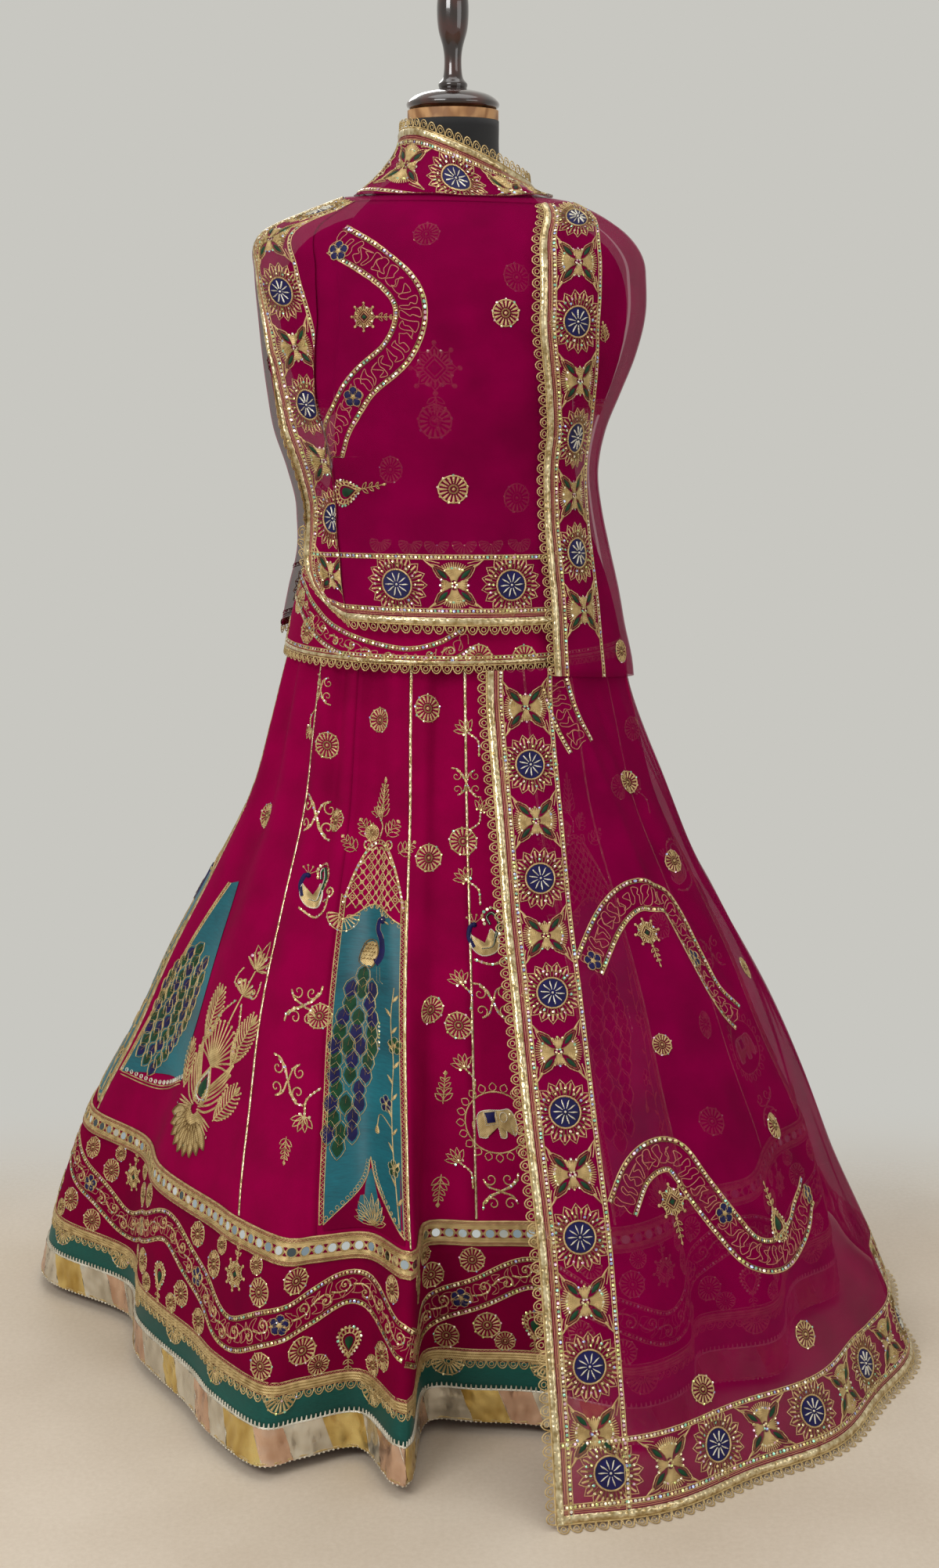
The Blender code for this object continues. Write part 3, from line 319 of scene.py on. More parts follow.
def smooth_path(points: Rows | Array, steps: int = 8, closed: bool = False) -> Array:
    """Draw a Catmull-Rom curve through points.

    Args:
        points: Corners of the path, in any number of dimensions.
        steps: Points on each span.
        closed: Whether the path returns to its start.

    Returns:
        The points of the curve.
    """
    corners = np.array(points, float)
    count = len(corners)
    if closed:
        ring = np.vstack([corners[-1], corners, corners[0], corners[1]])
    else:
        ring = np.vstack([2 * corners[0] - corners[1], corners, 2 * corners[-1] - corners[-2]])
    t = (np.arange(steps) / steps)[:, None]
    spans = []
    for i in range(count if closed else count - 1):
        a, b, c, d = ring[i : i + 4]
        spans.append(
            0.5 * (2 * b + (c - a) * t + (2 * a - 5 * b + 4 * c - d) * t**2
                   + (3 * b - a - 3 * c + d) * t**3)
        )
    if not closed:
        spans.append(corners[-1:])
    return np.vstack(spans)


def lengths_along(points: Array) -> Array:
    """Return the distance from the first point to each point of a line."""
    return np.concatenate([[0.0], np.cumsum(np.linalg.norm(np.diff(points, axis=0), axis=-1))])


def resample(line: Array, at: Array, values: Array) -> Array:
    """Read values given along a line at other places on it."""
    return np.stack([np.interp(at, line, column) for column in values.T], axis=-1)


def linear(hex_colour: str) -> tuple[float, float, float, float]:
    """Turn an sRGB hex colour into linear red, green, blue and alpha."""
    parts = [int(hex_colour[i : i + 2], 16) / 255 for i in (1, 3, 5)]
    red, green, blue = (c / 12.92 if c <= 0.04045 else ((c + 0.055) / 1.055) ** 2.4 for c in parts)
    return (red, green, blue, 1.0)


# ---- materials


def add_node(
    tree: bpy.types.NodeTree,
    kind: str,
    settings: dict[str, Any] | None = None,
    inputs: dict[str | int, Any] | None = None,
) -> bpy.types.Node:
    """Add a shader node.

    Args:
        tree: The tree that takes it.
        kind: The node's type name.
        settings: Values of its own properties.
        inputs: A value, or an output socket to link, for each named input.

    Returns:
        The node.
    """
    made = tree.nodes.new(kind)
    for key, value in (settings or {}).items():
        setattr(made, key, value)
    for key, value in (inputs or {}).items():
        if isinstance(value, bpy.types.NodeSocket):
            tree.links.new(value, made.inputs[key])
        else:
            made.inputs[key].default_value = value
    return made


def ramp(
    tree: bpy.types.NodeTree,
    source: bpy.types.NodeSocket,
    stops: Sequence[tuple[float, str]],
    steps: bool = False,
) -> bpy.types.NodeSocket:
    """Colour a value by a ramp of hex colours and return the colour socket.

    Args:
        tree: The tree that takes it.
        source: The value's socket.
        stops: Place and colour of each stop.
        steps: Whether colours change in steps.

    Returns:
        The colour socket.
    """
    made = add_node(tree, "ShaderNodeValToRGB", inputs={"Fac": source})
    made.color_ramp.interpolation = "CONSTANT" if steps else "LINEAR"
    elements = made.color_ramp.elements
    while len(elements) < len(stops):
        elements.new(0.5)
    for element, (place, colour) in zip(elements, stops):
        element.position = place
        element.color = linear(colour)
    return made.outputs["Color"]


class Pattern(Enum):
    """How a surface's fine relief runs."""

    CREPE = "crepe"
    RIBS = "ribs"
    CRINKLE = "crinkle"
    GRAIN = "grain"


@dataclass(frozen=True)
class Finish:
    """One finish, made from a real material.

    The colour runs between two tones over a patch size and with the fine relief, lighter on its crests
    and darker in its hollows: painted shade and highlight, which in wood is also its grain. The relief
    is a real spacing in millimetres, drawn coarser where it would be too fine to show.
    """

    name: str
    tones: tuple[str, str]
    roughness: float
    pattern: Pattern
    spacing_mm: float
    relief: float = 0.3
    patch_mm: float = 60.0
    metallic: float = 0.0
    alpha: float = 1.0
    specular: float = 0.5
    sheen: float = 0.0
    sheen_tint: str = "#FFFFFF"
    coat: float = 0.0
    stretch: tuple[float, float, float] = (1.0, 1.0, 1.0)
    glints: tuple[str, ...] = ()
    distance_mm: float = 0.3

    def build(self) -> bpy.types.Material:
        """Return the Blender material, made on its first use."""
        found = bpy.data.materials.get(self.name)
        if found:
            return found
        made = bpy.data.materials.new(self.name)
        made.use_nodes = True
        tree = made.node_tree
        shader = tree.nodes["Principled BSDF"]
        place = add_node(tree, "ShaderNodeTexCoord").outputs["Object"]
        stretched = add_node(
            tree, "ShaderNodeMapping", inputs={"Vector": place, "Scale": self.stretch}
        ).outputs["Vector"]
        patches = add_node(
            tree,
            "ShaderNodeTexNoise",
            inputs={"Vector": stretched, "Scale": 1000 / self.patch_mm, "Detail": 4.0},
        )
        fine = self.fine_pattern(tree, stretched)
        # The fine relief also sets the colour, darker where it is low: painted shade in its hollows and
        # painted highlight on its crests.
        blend = add_node(
            tree,
            "ShaderNodeMath",
            {"operation": "MULTIPLY_ADD"},
            {0: fine, 1: 0.45, 2: patches.outputs["Fac"]},
        )
        shift = add_node(
            tree, "ShaderNodeMath", {"operation": "SUBTRACT"}, {0: blend.outputs[0], 1: 0.22}
        )
        colour = ramp(tree, shift.outputs[0], ((0.3, self.tones[0]), (0.7, self.tones[1])))
        # Each island, one sequin or one mirror, takes one flat colour from the glints in place of the
        # two tones: painted glints and painted reflections.
        if self.glints:
            island = add_node(tree, "ShaderNodeNewGeometry").outputs["Random Per Island"]
            stops = [(k / len(self.glints), tone) for k, tone in enumerate(self.glints)]
            colour = ramp(tree, island, stops, steps=True)
        tree.links.new(colour, shader.inputs["Base Color"])
        rough = add_node(
            tree,
            "ShaderNodeMapRange",
            inputs={
                "Value": patches.outputs["Fac"],
                "From Min": 0.3,
                "From Max": 0.7,
                "To Min": self.roughness * 0.85,
                "To Max": min(self.roughness * 1.15, 1.0),
            },
        )
        tree.links.new(rough.outputs[0], shader.inputs["Roughness"])
        bump = add_node(
            tree,
            "ShaderNodeBump",
            inputs={"Height": fine, "Strength": self.relief, "Distance": self.distance_mm / 1000},
        )
        tree.links.new(bump.outputs["Normal"], shader.inputs["Normal"])
        shader.inputs["Metallic"].default_value = self.metallic
        shader.inputs["Specular IOR Level"].default_value = self.specular
        shader.inputs["Alpha"].default_value = self.alpha
        shader.inputs["Sheen Weight"].default_value = self.sheen
        shader.inputs["Sheen Tint"].default_value = linear(self.sheen_tint)
        shader.inputs["Coat Weight"].default_value = self.coat
        made.diffuse_color = linear(self.tones[1])
        return made

    def fine_pattern(
        self, tree: bpy.types.NodeTree, place: bpy.types.NodeSocket
    ) -> bpy.types.NodeSocket:
        """Add the fine relief and return its height socket.

        Args:
            tree: The tree that takes it.
            place: The coordinates' socket.

        Returns:
            The height's socket.
        """
        scale = 1000 / self.spacing_mm
        if self.pattern is Pattern.CREPE:
            made = add_node(
                tree,
                "ShaderNodeTexNoise",
                inputs={"Vector": place, "Scale": scale, "Detail": 2.0, "Roughness": 0.7},
            )
            return made.outputs["Fac"]
        if self.pattern is Pattern.CRINKLE:
            made = add_node(
                tree,
                "ShaderNodeTexVoronoi",
                {"feature": "SMOOTH_F1"},
                {"Vector": place, "Scale": scale},
            )
            return made.outputs["Distance"]
        kind = "RINGS" if self.pattern is Pattern.GRAIN else "BANDS"
        # A wave's own scale is 20 radians for each unit of length.
        made = add_node(
            tree,
            "ShaderNodeTexWave",
            {"wave_type": kind, "bands_direction": "DIAGONAL"},
            {
                "Vector": place,
                "Scale": scale * math.pi / 10,
                "Distortion": 2.5 if self.pattern is Pattern.GRAIN else 0.6,
                "Detail": 2.0,
            },
        )
        return made.outputs["Fac"]


class Look(Enum):
    """Every finish of the outfit and its form."""

    # Polyester georgette, crepe twisted yarns 0.3 mm apart, drawn at 0.9 mm so that it
    # shows: a dull, grainy pink-red that stays deep in the folds.
    GEORGETTE = Finish(
        "georgette_magenta", ("#7C0035", "#900040"), 0.9, Pattern.CREPE, 0.9,
        relief=0.25, specular=0.03, sheen=0.01, sheen_tint="#FF5AA0",
    )
    # The same cloth behind close embroidery, a little darker and redder.
    BORDER = Finish(
        "georgette_border", ("#68002B", "#7A0030"), 0.9, Pattern.CREPE, 0.9,
        relief=0.25, specular=0.03, sheen=0.01, sheen_tint="#FF5AA0",
    )
    # One layer of sheer georgette: what lies behind shows through faintly.
    SHEER = Finish(
        "georgette_sheer", ("#80003C", "#960048"), 0.9, Pattern.CREPE, 0.8,
        relief=0.2, specular=0.03, alpha=0.52, sheen=0.01, sheen_tint="#FF70B0",
    )
    # Dupion silk, slubs 1.5 mm apart running across: a soft satin teal.
    TEAL = Finish(
        "silk_teal", ("#00424E", "#006674"), 0.45, Pattern.CREPE, 1.5,
        relief=0.3, specular=0.35, sheen=0.02, sheen_tint="#60E0E8", stretch=(0.12, 0.12, 1.0),
    )
    # The hem's green-teal satin band, woven and pressed flat.
    DEEP_TEAL = Finish(
        "satin_deep_teal", ("#003A34", "#00544B"), 0.55, Pattern.CREPE, 1.2,
        relief=0.2, specular=0.3, sheen=0.03, stretch=(0.2, 0.2, 1.0),
    )
    # Zari: flat metal wire wound on a core, its turns 1 mm apart: antique pale gold.
    ZARI = Finish(
        "zari_thread_gold", ("#9A7C4A", "#E2C890"), 0.40, Pattern.RIBS, 1.0,
        relief=0.7, metallic=0.55, patch_mm=9.0,
    )
    # The same wire in a darker, duller gold, for inner lines that sit lower than the outlines.
    DARK_ZARI = Finish(
        "zari_thread_dark", ("#5E4526", "#9C7C4A"), 0.5, Pattern.RIBS, 1.0,
        relief=0.7, metallic=0.5, patch_mm=9.0,
    )
    # Copper-pink couching cord, laid in lines; its turns are 1 mm apart.
    COUCHING = Finish(
        "couching_cord_pink", ("#9C6248", "#C68E70"), 0.5, Pattern.RIBS, 1.0,
        relief=0.5, metallic=0.35, patch_mm=14.0,
    )
    # Mercerised silk floss in satin stitch, threads 0.8 mm apart: soft gloss.
    NAVY = Finish(
        "silk_floss_navy", ("#06042C", "#120D56"), 0.5, Pattern.RIBS, 0.8,
        relief=0.5, specular=0.25, patch_mm=10.0,
    )
    GREEN = Finish(
        "silk_floss_green", ("#021E10", "#064A28"), 0.5, Pattern.RIBS, 0.8,
        relief=0.5, specular=0.25, patch_mm=10.0,
    )
    # Stamped film sequins, each in one flat colour: partly the film's own golds, partly painted glints,
    # lighter or tinged green, pink or blue where light would flash off it.
    SEQUIN = Finish(
        "sequin_film", ("#D8C9A0", "#F4E9C8"), 0.22, Pattern.CRINKLE, 1.5,
        relief=0.1, metallic=0.85,
        glints=(
            "#E8D9A8", "#F6EDD2", "#D6C08A", "#EFE3BE", "#9FE0C0", "#F2C6D8",
            "#DCCB96", "#B7C4F0", "#F8F2DE", "#C9B27A", "#E6F09A", "#EAD9AE",
        ),
    )
    # Silvered glass mirrors behind net: each in one flat grey, dark to bright, a painted reflection of
    # the room.
    MIRROR = Finish(
        "mirror_glass", ("#8E979C", "#E2E8EC"), 0.06, Pattern.CRINKLE, 9.0,
        relief=0.05, metallic=1.0, glints=("#E8EEF0", "#5A6468", "#C6D2DA", "#9FB0BC", "#F4F7F8"),
    )
    # Gota: metallised ribbon rolled into a cord, crinkled every 4 mm.
    GOTA = Finish(
        "gota_foil_ribbon", ("#A28A5C", "#EBDCB4"), 0.24, Pattern.CRINKLE, 4.0,
        relief=0.9, metallic=0.8, patch_mm=12.0, distance_mm=1.0,
    )
    # Pressed foil cloth of the hem, in three colours, crinkled every 11 mm.
    FOIL_GOLD = Finish(
        "foil_cloth_gold", ("#B08E46", "#DEC47C"), 0.24, Pattern.CRINKLE, 11.0,
        relief=1.0, metallic=0.75, patch_mm=30.0, stretch=(1.0, 1.0, 0.45), distance_mm=2.6,
    )
    FOIL_SILVER = Finish(
        "foil_cloth_silver", ("#B8AF9C", "#DED7C6"), 0.22, Pattern.CRINKLE, 11.0,
        relief=1.0, metallic=0.75, patch_mm=30.0, stretch=(1.0, 1.0, 0.45), distance_mm=2.6,
    )
    FOIL_ROSE = Finish(
        "foil_cloth_rose", ("#BC957A", "#DCB89C"), 0.24, Pattern.CRINKLE, 11.0,
        relief=1.0, metallic=0.7, patch_mm=30.0, stretch=(1.0, 1.0, 0.45), distance_mm=2.6,
    )
    # Silver picot braid along the foil.
    PICOT = Finish(
        "picot_braid_silver", ("#B9B09A", "#F0EBDD"), 0.4, Pattern.RIBS, 1.2,
        relief=0.5, metallic=0.5, patch_mm=16.0,
    )
    # Knitted jersey over padding, wales 0.5 mm apart, drawn at 1.2 mm: dead black.
    JERSEY = Finish(
        "jersey_black", ("#0B0B0C", "#1A1A1C"), 0.9, Pattern.CREPE, 1.2, relief=0.3, sheen=0.15,
    )
    # Stained and lacquered turned wood: growth rings 5 mm apart under a hard gloss.
    DARK_WOOD = Finish(
        "lacquered_dark_wood", ("#1C0906", "#3A140C"), 0.18, Pattern.GRAIN, 5.0,
        relief=0.05, coat=1.0, stretch=(1.0, 1.0, 0.12), patch_mm=20.0,
    )
    LIGHT_WOOD = Finish(
        "sanded_pale_wood", ("#8A5E36", "#BC8E5E"), 0.55, Pattern.GRAIN, 4.0,
        relief=0.1, stretch=(1.0, 1.0, 0.12), patch_mm=18.0,
    )
    # Powder-coated steel of the stand: fine satin pimples.
    STEEL = Finish(
        "powder_coated_steel", ("#1C1C1F", "#2A2A2E"), 0.5, Pattern.CREPE, 0.8, relief=0.2,
        metallic=0.3,
    )
    # Pale vinyl floor of the studio, with the soft print of cement.
    FLOOR = Finish(
        "pale_vinyl_floor", ("#C6B7A4", "#D6C9B8"), 0.6, Pattern.CREPE, 6.0, relief=0.05,
        patch_mm=350.0,
    )


# ---- cloth surfaces and the ground that stitches lie on


class Ground:
    """A patch of cloth measured in metres: x along it, y across it."""

    def __init__(self, points: Array, normals: Array, x_range: tuple[float, float],
                 y_range: tuple[float, float]) -> None:
        """Take a grid of points and normals, x down the first axis and y down the second."""
        self.points, self.normals = points, normals
        self.x_range, self.y_range = x_range, y_range
        i, j = points.shape[0] // 2, points.shape[1] // 2
        facing = np.cross(points[i + 1, j] - points[i, j], points[i, j + 1] - points[i, j])
        self.mirrored = float(facing @ normals[i, j]) < 0

    def place(self, x: Array, y: Array, lift: Array | float) -> Array:
        """Lay flat points on the cloth.

        Args:
            x: Metres along.
            y: Metres across.
            lift: Height over the cloth's face.

        Returns:
            Points in the row frame.
        """
        rows, columns = self.points.shape[:2]
        i = (x - self.x_range[0]) / (self.x_range[1] - self.x_range[0]) * (rows - 1)
        j = (y - self.y_range[0]) / (self.y_range[1] - self.y_range[0]) * (columns - 1)
        a = np.clip(np.floor(i).astype(int), 0, rows - 2)
        b = np.clip(np.floor(j).astype(int), 0, columns - 2)
        s, t = (i - a)[:, None], (j - b)[:, None]

        def read(grid: Array) -> Array:
            """Read a grid between its points."""
            low = grid[a, b] * (1 - s) + grid[a + 1, b] * s
            high = grid[a, b + 1] * (1 - s) + grid[a + 1, b + 1] * s
            return low * (1 - t) + high * t

        return read(self.points) + unit(read(self.normals)) * np.reshape(lift, (-1, 1))


class Surface:
    """A cloth as a fine grid of points: rows run down it, columns run to the right."""

    def __init__(self, points: Array, closed: bool = False, face: float = 0.0) -> None:
        """Take the grid, whether it closes round, and how far out its face lies."""
        self.points, self.closed, self.face = points, closed, face
        self.normals = self.find_normals()

    def find_normals(self) -> Array:
        """Return the unit normal at each point, from its neighbours."""
        p = self.points
        if self.closed:
            across = np.roll(p, -1, axis=1) - np.roll(p, 1, axis=1)
        else:
            across = np.gradient(p, axis=1)
        return unit(np.cross(across, -np.gradient(p, axis=0)))

    def press(self, relief: Array) -> None:
        """Move each point out by a relief, in metres, and find the normals again."""
        self.points = self.points + self.normals * relief[..., None]
        self.normals = self.find_normals()

    def crease(self, creases: Rows) -> None:
        """Press soft ridges and troughs into the cloth.

        Args:
            creases: Start and end as shares across and down, width, and depth, which is
                negative in a trough.
        """
        rows, columns = self.points.shape[:2]
        across, down = np.meshgrid(np.linspace(0, 1, columns), np.linspace(0, 1, rows))
        width = np.linalg.norm(np.diff(self.points[rows // 2], axis=0), axis=1).sum()
        height = np.linalg.norm(np.diff(self.points[:, columns // 2], axis=0), axis=1).sum()
        relief = np.zeros(across.shape)
        for x0, y0, x1, y1, breadth, depth in creases:
            line = np.array([(x1 - x0) * width, (y1 - y0) * height])
            reach = max(np.linalg.norm(line), 1e-6)
            dx, dy = (across - x0) * width, (down - y0) * height
            share = np.clip((dx * line[0] + dy * line[1]) / reach**2, 0, 1)
            off = np.hypot(dx - share * line[0], dy - share * line[1])
            fade = 0.25 + 0.75 * np.sin(np.pi * np.clip(share, 0.02, 0.98))
            relief += depth * fade * np.exp(-((off / breadth) ** 2))
        self.press(relief)

    def read(self, u: Array, v: Array) -> tuple[Array, Array]:
        """Read the cloth between its points.

        Args:
            u: Shares across.
            v: Shares down.

        Returns:
            Points on the face and unit normals.
        """
        rows, columns = self.points.shape[:2]
        i = np.clip(v, 0, 1) * (rows - 1)
        if self.closed:
            j = np.mod(u, 1.0) * columns
        else:
            j = np.clip(u, 0, 1) * (columns - 1)
        a = np.minimum(i.astype(int), rows - 2)
        b = np.minimum(j.astype(int), columns - (1 if self.closed else 2))
        after = (b + 1) % columns
        s, t = (i - a)[..., None], (j - b)[..., None]
        found = []
        for grid in (self.points, self.normals):
            left = grid[a, b] * (1 - s) + grid[a + 1, b] * s
            right = grid[a, after] * (1 - s) + grid[a + 1, after] * s
            found.append(left * (1 - t) + right * t)
        normals = unit(found[1])
        return found[0] + normals * self.face, normals

    def steps_for(self, u: float, v: float, directions: Array) -> Array:
        """Turn directions in space into steps across and down the cloth.

        Args:
            u: Share across.
            v: Share down.
            directions: Vectors in the row frame.

        Returns:
            For each vector, its step in u and in v.
        """
        small = 1e-3
        spots, _ = self.read(
            np.array([u - small, u + small, u, u]), np.array([v, v, v - small, v + small])
        )
        basis = np.stack([spots[1] - spots[0], spots[3] - spots[2]], axis=1) / (2 * small)
        return np.linalg.lstsq(basis, np.atleast_2d(directions).T, rcond=None)[0].T

    def around(self, u: float, v: float) -> Ground:
        """Return the ground round one place, its y axis upwards.

        Args:
            u: Share across.
            v: Share down.

        Returns:
            The ground, with its middle at that place.
        """
        _, normal = self.read(np.array([u]), np.array([v]))
        right = unit(np.cross(np.array([0.0, 0.0, 1.0]), normal[0]))
        up = unit(np.cross(normal[0], right))
        steps = self.steps_for(u, v, np.stack([right, up]))
        spread = np.linspace(-PATCH_HALF, PATCH_HALF, 17)
        x, y = np.meshgrid(spread, spread, indexing="ij")
        spots = self.read(
            u + x * steps[0, 0] + y * steps[1, 0], v + x * steps[0, 1] + y * steps[1, 1]
        )
        return Ground(*spots, (-PATCH_HALF, PATCH_HALF), (-PATCH_HALF, PATCH_HALF))

    def along(self, path: Rows, width: float) -> Ground:
        """Return the ground along a path on the cloth, for a vine or a cord.

        Args:
            path: Shares across and down of the path's corners.
            width: Width of the strip.

        Returns:
            The ground: x along the path, y to its left.
        """
        line = smooth_path(path, 14)
        centre, normals = self.read(line[:, 0], line[:, 1])
        tangents = unit(np.gradient(centre, axis=0))
        sides = np.cross(normals, tangents)
        offsets = np.linspace(-width / 2, width / 2, 7)
        grid_u, grid_v = [], []
        for (u, v), side in zip(line, sides):
            step = self.steps_for(u, v, side)[0]
            grid_u.append(u + offsets * step[0])
            grid_v.append(v + offsets * step[1])
        return self.measured(np.array(grid_u), np.array(grid_v), (-width / 2, width / 2))

    def measured(self, u: Array, v: Array, y_range: tuple[float, float]) -> Ground:
        """Return a ground from a grid of places, measured along its first axis.

        Args:
            u: Shares across.
            v: Shares down.
            y_range: Range of the second axis, in metres.

        Returns:
            The ground, evenly spaced along.
        """
        points, normals = self.read(u, v)
        line = lengths_along(points[:, points.shape[1] // 2])
        even = np.linspace(0, line[-1], len(line))
        shape = (len(line), points.shape[1], 3)
        flat = [resample(line, even, grid.reshape(len(line), -1)).reshape(shape)
                for grid in (points, normals)]
        return Ground(flat[0], flat[1], (0.0, line[-1]), y_range)

    def edge(self, side: str, width: float, outside: float = 0.0) -> Ground:
        """Return the ground along an edge, y running in from it.

        Args:
            side: "left", "right", "top" or "bottom".
            width: How far in it reaches.
            outside: How far out past the edge it reaches, carried on straight.

        Returns:
            The ground: x runs down a side, or to the right on a top or bottom.
        """
        upright = side in ("left", "right")
        count = self.points.shape[0 if upright else 1] * 2
        reach = np.linspace(0, 1, 60) ** 1.5
        inward = reach if side in ("left", "top") else 1 - reach
        run = np.linspace(0, 1, count)
        first, second = np.meshgrid(run, inward, indexing="ij")
        points, normals = self.read(second, first) if upright else self.read(first, second)
        want = np.concatenate([np.linspace(-outside, 0, 4)[:-1], np.linspace(0, width, 22)])
        if not outside:
            want = want[3:]
        grid, facing = [], []
        for line, normal in zip(points, normals):
            far = lengths_along(line)
            spots = resample(far, want, line)
            out = unit(line[0] - line[2])
            spots[want < 0] = line[0] + out * -want[want < 0][:, None]
            grid.append(spots)
            facing.append(resample(far, want, normal))
        stacked = np.array(grid)
        even_y = np.linspace(want[0], want[-1], 26)
        stacked = np.stack([resample(want, even_y, row) for row in stacked])
        turned = np.stack([resample(want, even_y, row) for row in np.array(facing)])
        middle = int(np.argmin(abs(even_y - width / 2)))
        line = lengths_along(stacked[:, middle])
        even = np.linspace(0, line[-1], count)
        shape = (count, len(even_y), 3)
        flat = [resample(line, even, g.reshape(len(line), -1)).reshape(shape)
                for g in (stacked, turned)]
        return Ground(flat[0], flat[1], (0.0, line[-1]), (want[0], want[-1]))


@dataclass(frozen=True)
class PhotoCamera:
    """The camera at the photograph's place, in that image's pixels."""

    location: tuple[float, float, float] = (0.02, -2.62, 1.235)
    pitch: float = 12.0
    focal_px: float = 2650.0
    sensor_mm: float = 36.0

    def project(self, points: Array) -> Array:
        """Return the pixel of each point."""
        away = points - np.array(self.location)
        c, s = math.cos(math.radians(self.pitch)), math.sin(math.radians(self.pitch))
        forward = away[..., 1] * c - away[..., 2] * s
        up = away[..., 1] * s + away[..., 2] * c
        x = PHOTO_SIZE[0] / 2 + self.focal_px * away[..., 0] / forward
        y = PHOTO_SIZE[1] / 2 - self.focal_px * up / forward
        return np.stack([x, y], axis=-1)

    def spot(self, surface: Surface, pixel: Sequence[float]) -> tuple[float, float]:
        """Find the place on a cloth that shows at a pixel.

        Args:
            surface: The cloth.
            pixel: The pixel.

        Returns:
            Shares across and down.
        """
        i, j = self.search(surface.points, surface.normals, pixel)
        rows, columns = surface.points.shape[:2]
        return j / (columns if surface.closed else columns - 1), i / (rows - 1)

    def spot_on(self, ground: Ground, pixel: Sequence[float]) -> Array:
        """Find the place on a ground, in its metres, that shows at a pixel."""
        i, j = self.search(ground.points, ground.normals, pixel)
        rows, columns = ground.points.shape[:2]
        x0, x1 = ground.x_range
        y0, y1 = ground.y_range
        return np.array([x0 + (x1 - x0) * i / (rows - 1), y0 + (y1 - y0) * j / (columns - 1)])

    def search(self, points: Array, normals: Array, pixel: Sequence[float]) -> tuple[float, float]:
        """Find where a grid of points shows at a pixel.

        Args:
            points: The grid.
            normals: Its normals; points that face away count only as a last resort.
            pixel: The pixel.

        Returns:
            Place down the first axis and down the second, with a fraction.
        """
        seen = self.project(points)
        facing = ((np.array(self.location) - points) * normals).sum(-1) > 0
        off = np.linalg.norm(seen - np.array(pixel), axis=-1) + np.where(facing, 0.0, 500.0)
        i, j = np.unravel_index(int(np.argmin(off)), off.shape)
        rows, columns = off.shape
        i0, j0 = min(max(i, 1), rows - 2), min(max(j, 1), columns - 2)
        first = (seen[i0 + 1, j0] - seen[i0 - 1, j0]) / 2
        second = (seen[i0, j0 + 1] - seen[i0, j0 - 1]) / 2
        gap = np.array(pixel) - seen[i, j]
        step = np.clip(np.linalg.lstsq(np.stack([first, second], 1), gap, rcond=None)[0], -0.6, 0.6)
        return float(i + step[0]), float(j + step[1])

    def build(self) -> None:
        """Make the camera and look through it."""
        data = bpy.data.cameras.new("photo_camera")
        data.sensor_width = self.sensor_mm
        data.sensor_fit = "AUTO"
        data.lens = self.sensor_mm * self.focal_px / PHOTO_SIZE[1]
        camera = bpy.data.objects.new("photo_camera", data)
        camera.location = self.location
        camera.rotation_euler = (math.radians(90 - self.pitch), 0.0, 0.0)
        bpy.context.scene.collection.objects.link(camera)
        bpy.context.scene.camera = camera


CAMERA = PhotoCamera()


# ---- meshes


def add_piece(
    name: str,
    points: Array,
    faces: Sequence[Sequence[int]] | Array,
    looks: Sequence[Look],
    picked: Array | None = None,
    replaces: Sequence[str] = (),
) -> bpy.types.Object:
    """Make a piece of the outfit from points and faces, and let it ride on the body.

    Args:
        name: The piece's name.
        points: Its points in the row frame.
        faces: Its faces.
        looks: Its finishes.
        picked: The number of the finish of each face.
        replaces: Solids that it stands for.

    Returns:
        The object.
    """
    mesh = bpy.data.meshes.new(name)
    mesh.from_pydata(np.asarray(points).tolist(), [], [tuple(map(int, f)) for f in faces])
    for look in looks:
        mesh.materials.append(look.value.build())
    if picked is not None:
        mesh.polygons.foreach_set("material_index", np.asarray(picked, np.int32))
    mesh.shade_smooth()
    item = bpy.data.objects.new(name, mesh)
    bpy.context.scene.collection.objects.link(item)
    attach(item, BODY)
    if replaces:
        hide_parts(*replaces)
    LOG.info("%s: %d points, %d faces", name, len(mesh.vertices), len(mesh.polygons))
    return item


def grid_quads(rows: int, columns: int, closed: bool, start: int = 0, flip: bool = False) -> Array:
    """Return the quads of a grid of points, top row first, facing out.

    Args:
        rows: Rows of points.
        columns: Columns of points.
        closed: Whether the last column joins the first.
        start: Number of the first point.
        flip: Whether the quads face the other way.

    Returns:
        Four point numbers for each quad.
    """
    spans = columns if closed else columns - 1
    i, j = np.meshgrid(np.arange(rows - 1), np.arange(spans), indexing="ij")
    after = (j + 1) % columns
    quads = np.stack(
        [i * columns + j, (i + 1) * columns + j, (i + 1) * columns + after, i * columns + after], -1
    )
    quads = quads.reshape(-1, 4) + start
    return quads[:, ::-1] if flip else quads


def shell(surface: Surface, inner: float, outer: float) -> tuple[Array, Array]:
    """Return the points and quads of a closed thin shell over a cloth.

    Args:
        surface: The cloth.
        inner: Offset of the inner face.
        outer: Offset of the outer face.

    Returns:
        Points and quads.
    """
    rows, columns = surface.points.shape[:2]
    layers = [(surface.points + surface.normals * offset).reshape(-1, 3) for offset in (outer, inner)]
    back = rows * columns
    quads = [
        grid_quads(rows, columns, surface.closed),
        grid_quads(rows, columns, surface.closed, back, True),
    ]
    number = np.arange(back).reshape(rows, columns)
    rims = [number[0, ::-1], number[-1]]
    if surface.closed:
        rims = [np.append(rim, rim[0]) for rim in rims]
    else:
        rims += [number[:, 0], number[::-1, -1]]
    for rim in rims:
        quads.append(np.stack([rim[:-1], rim[:-1] + back, rim[1:] + back, rim[1:]], -1))
    return np.vstack(layers), np.vstack(quads)


# ---- flat designs, drawn once in metres

# Height of a thread's edges over the cloth
THREAD_EDGE = 0.00015


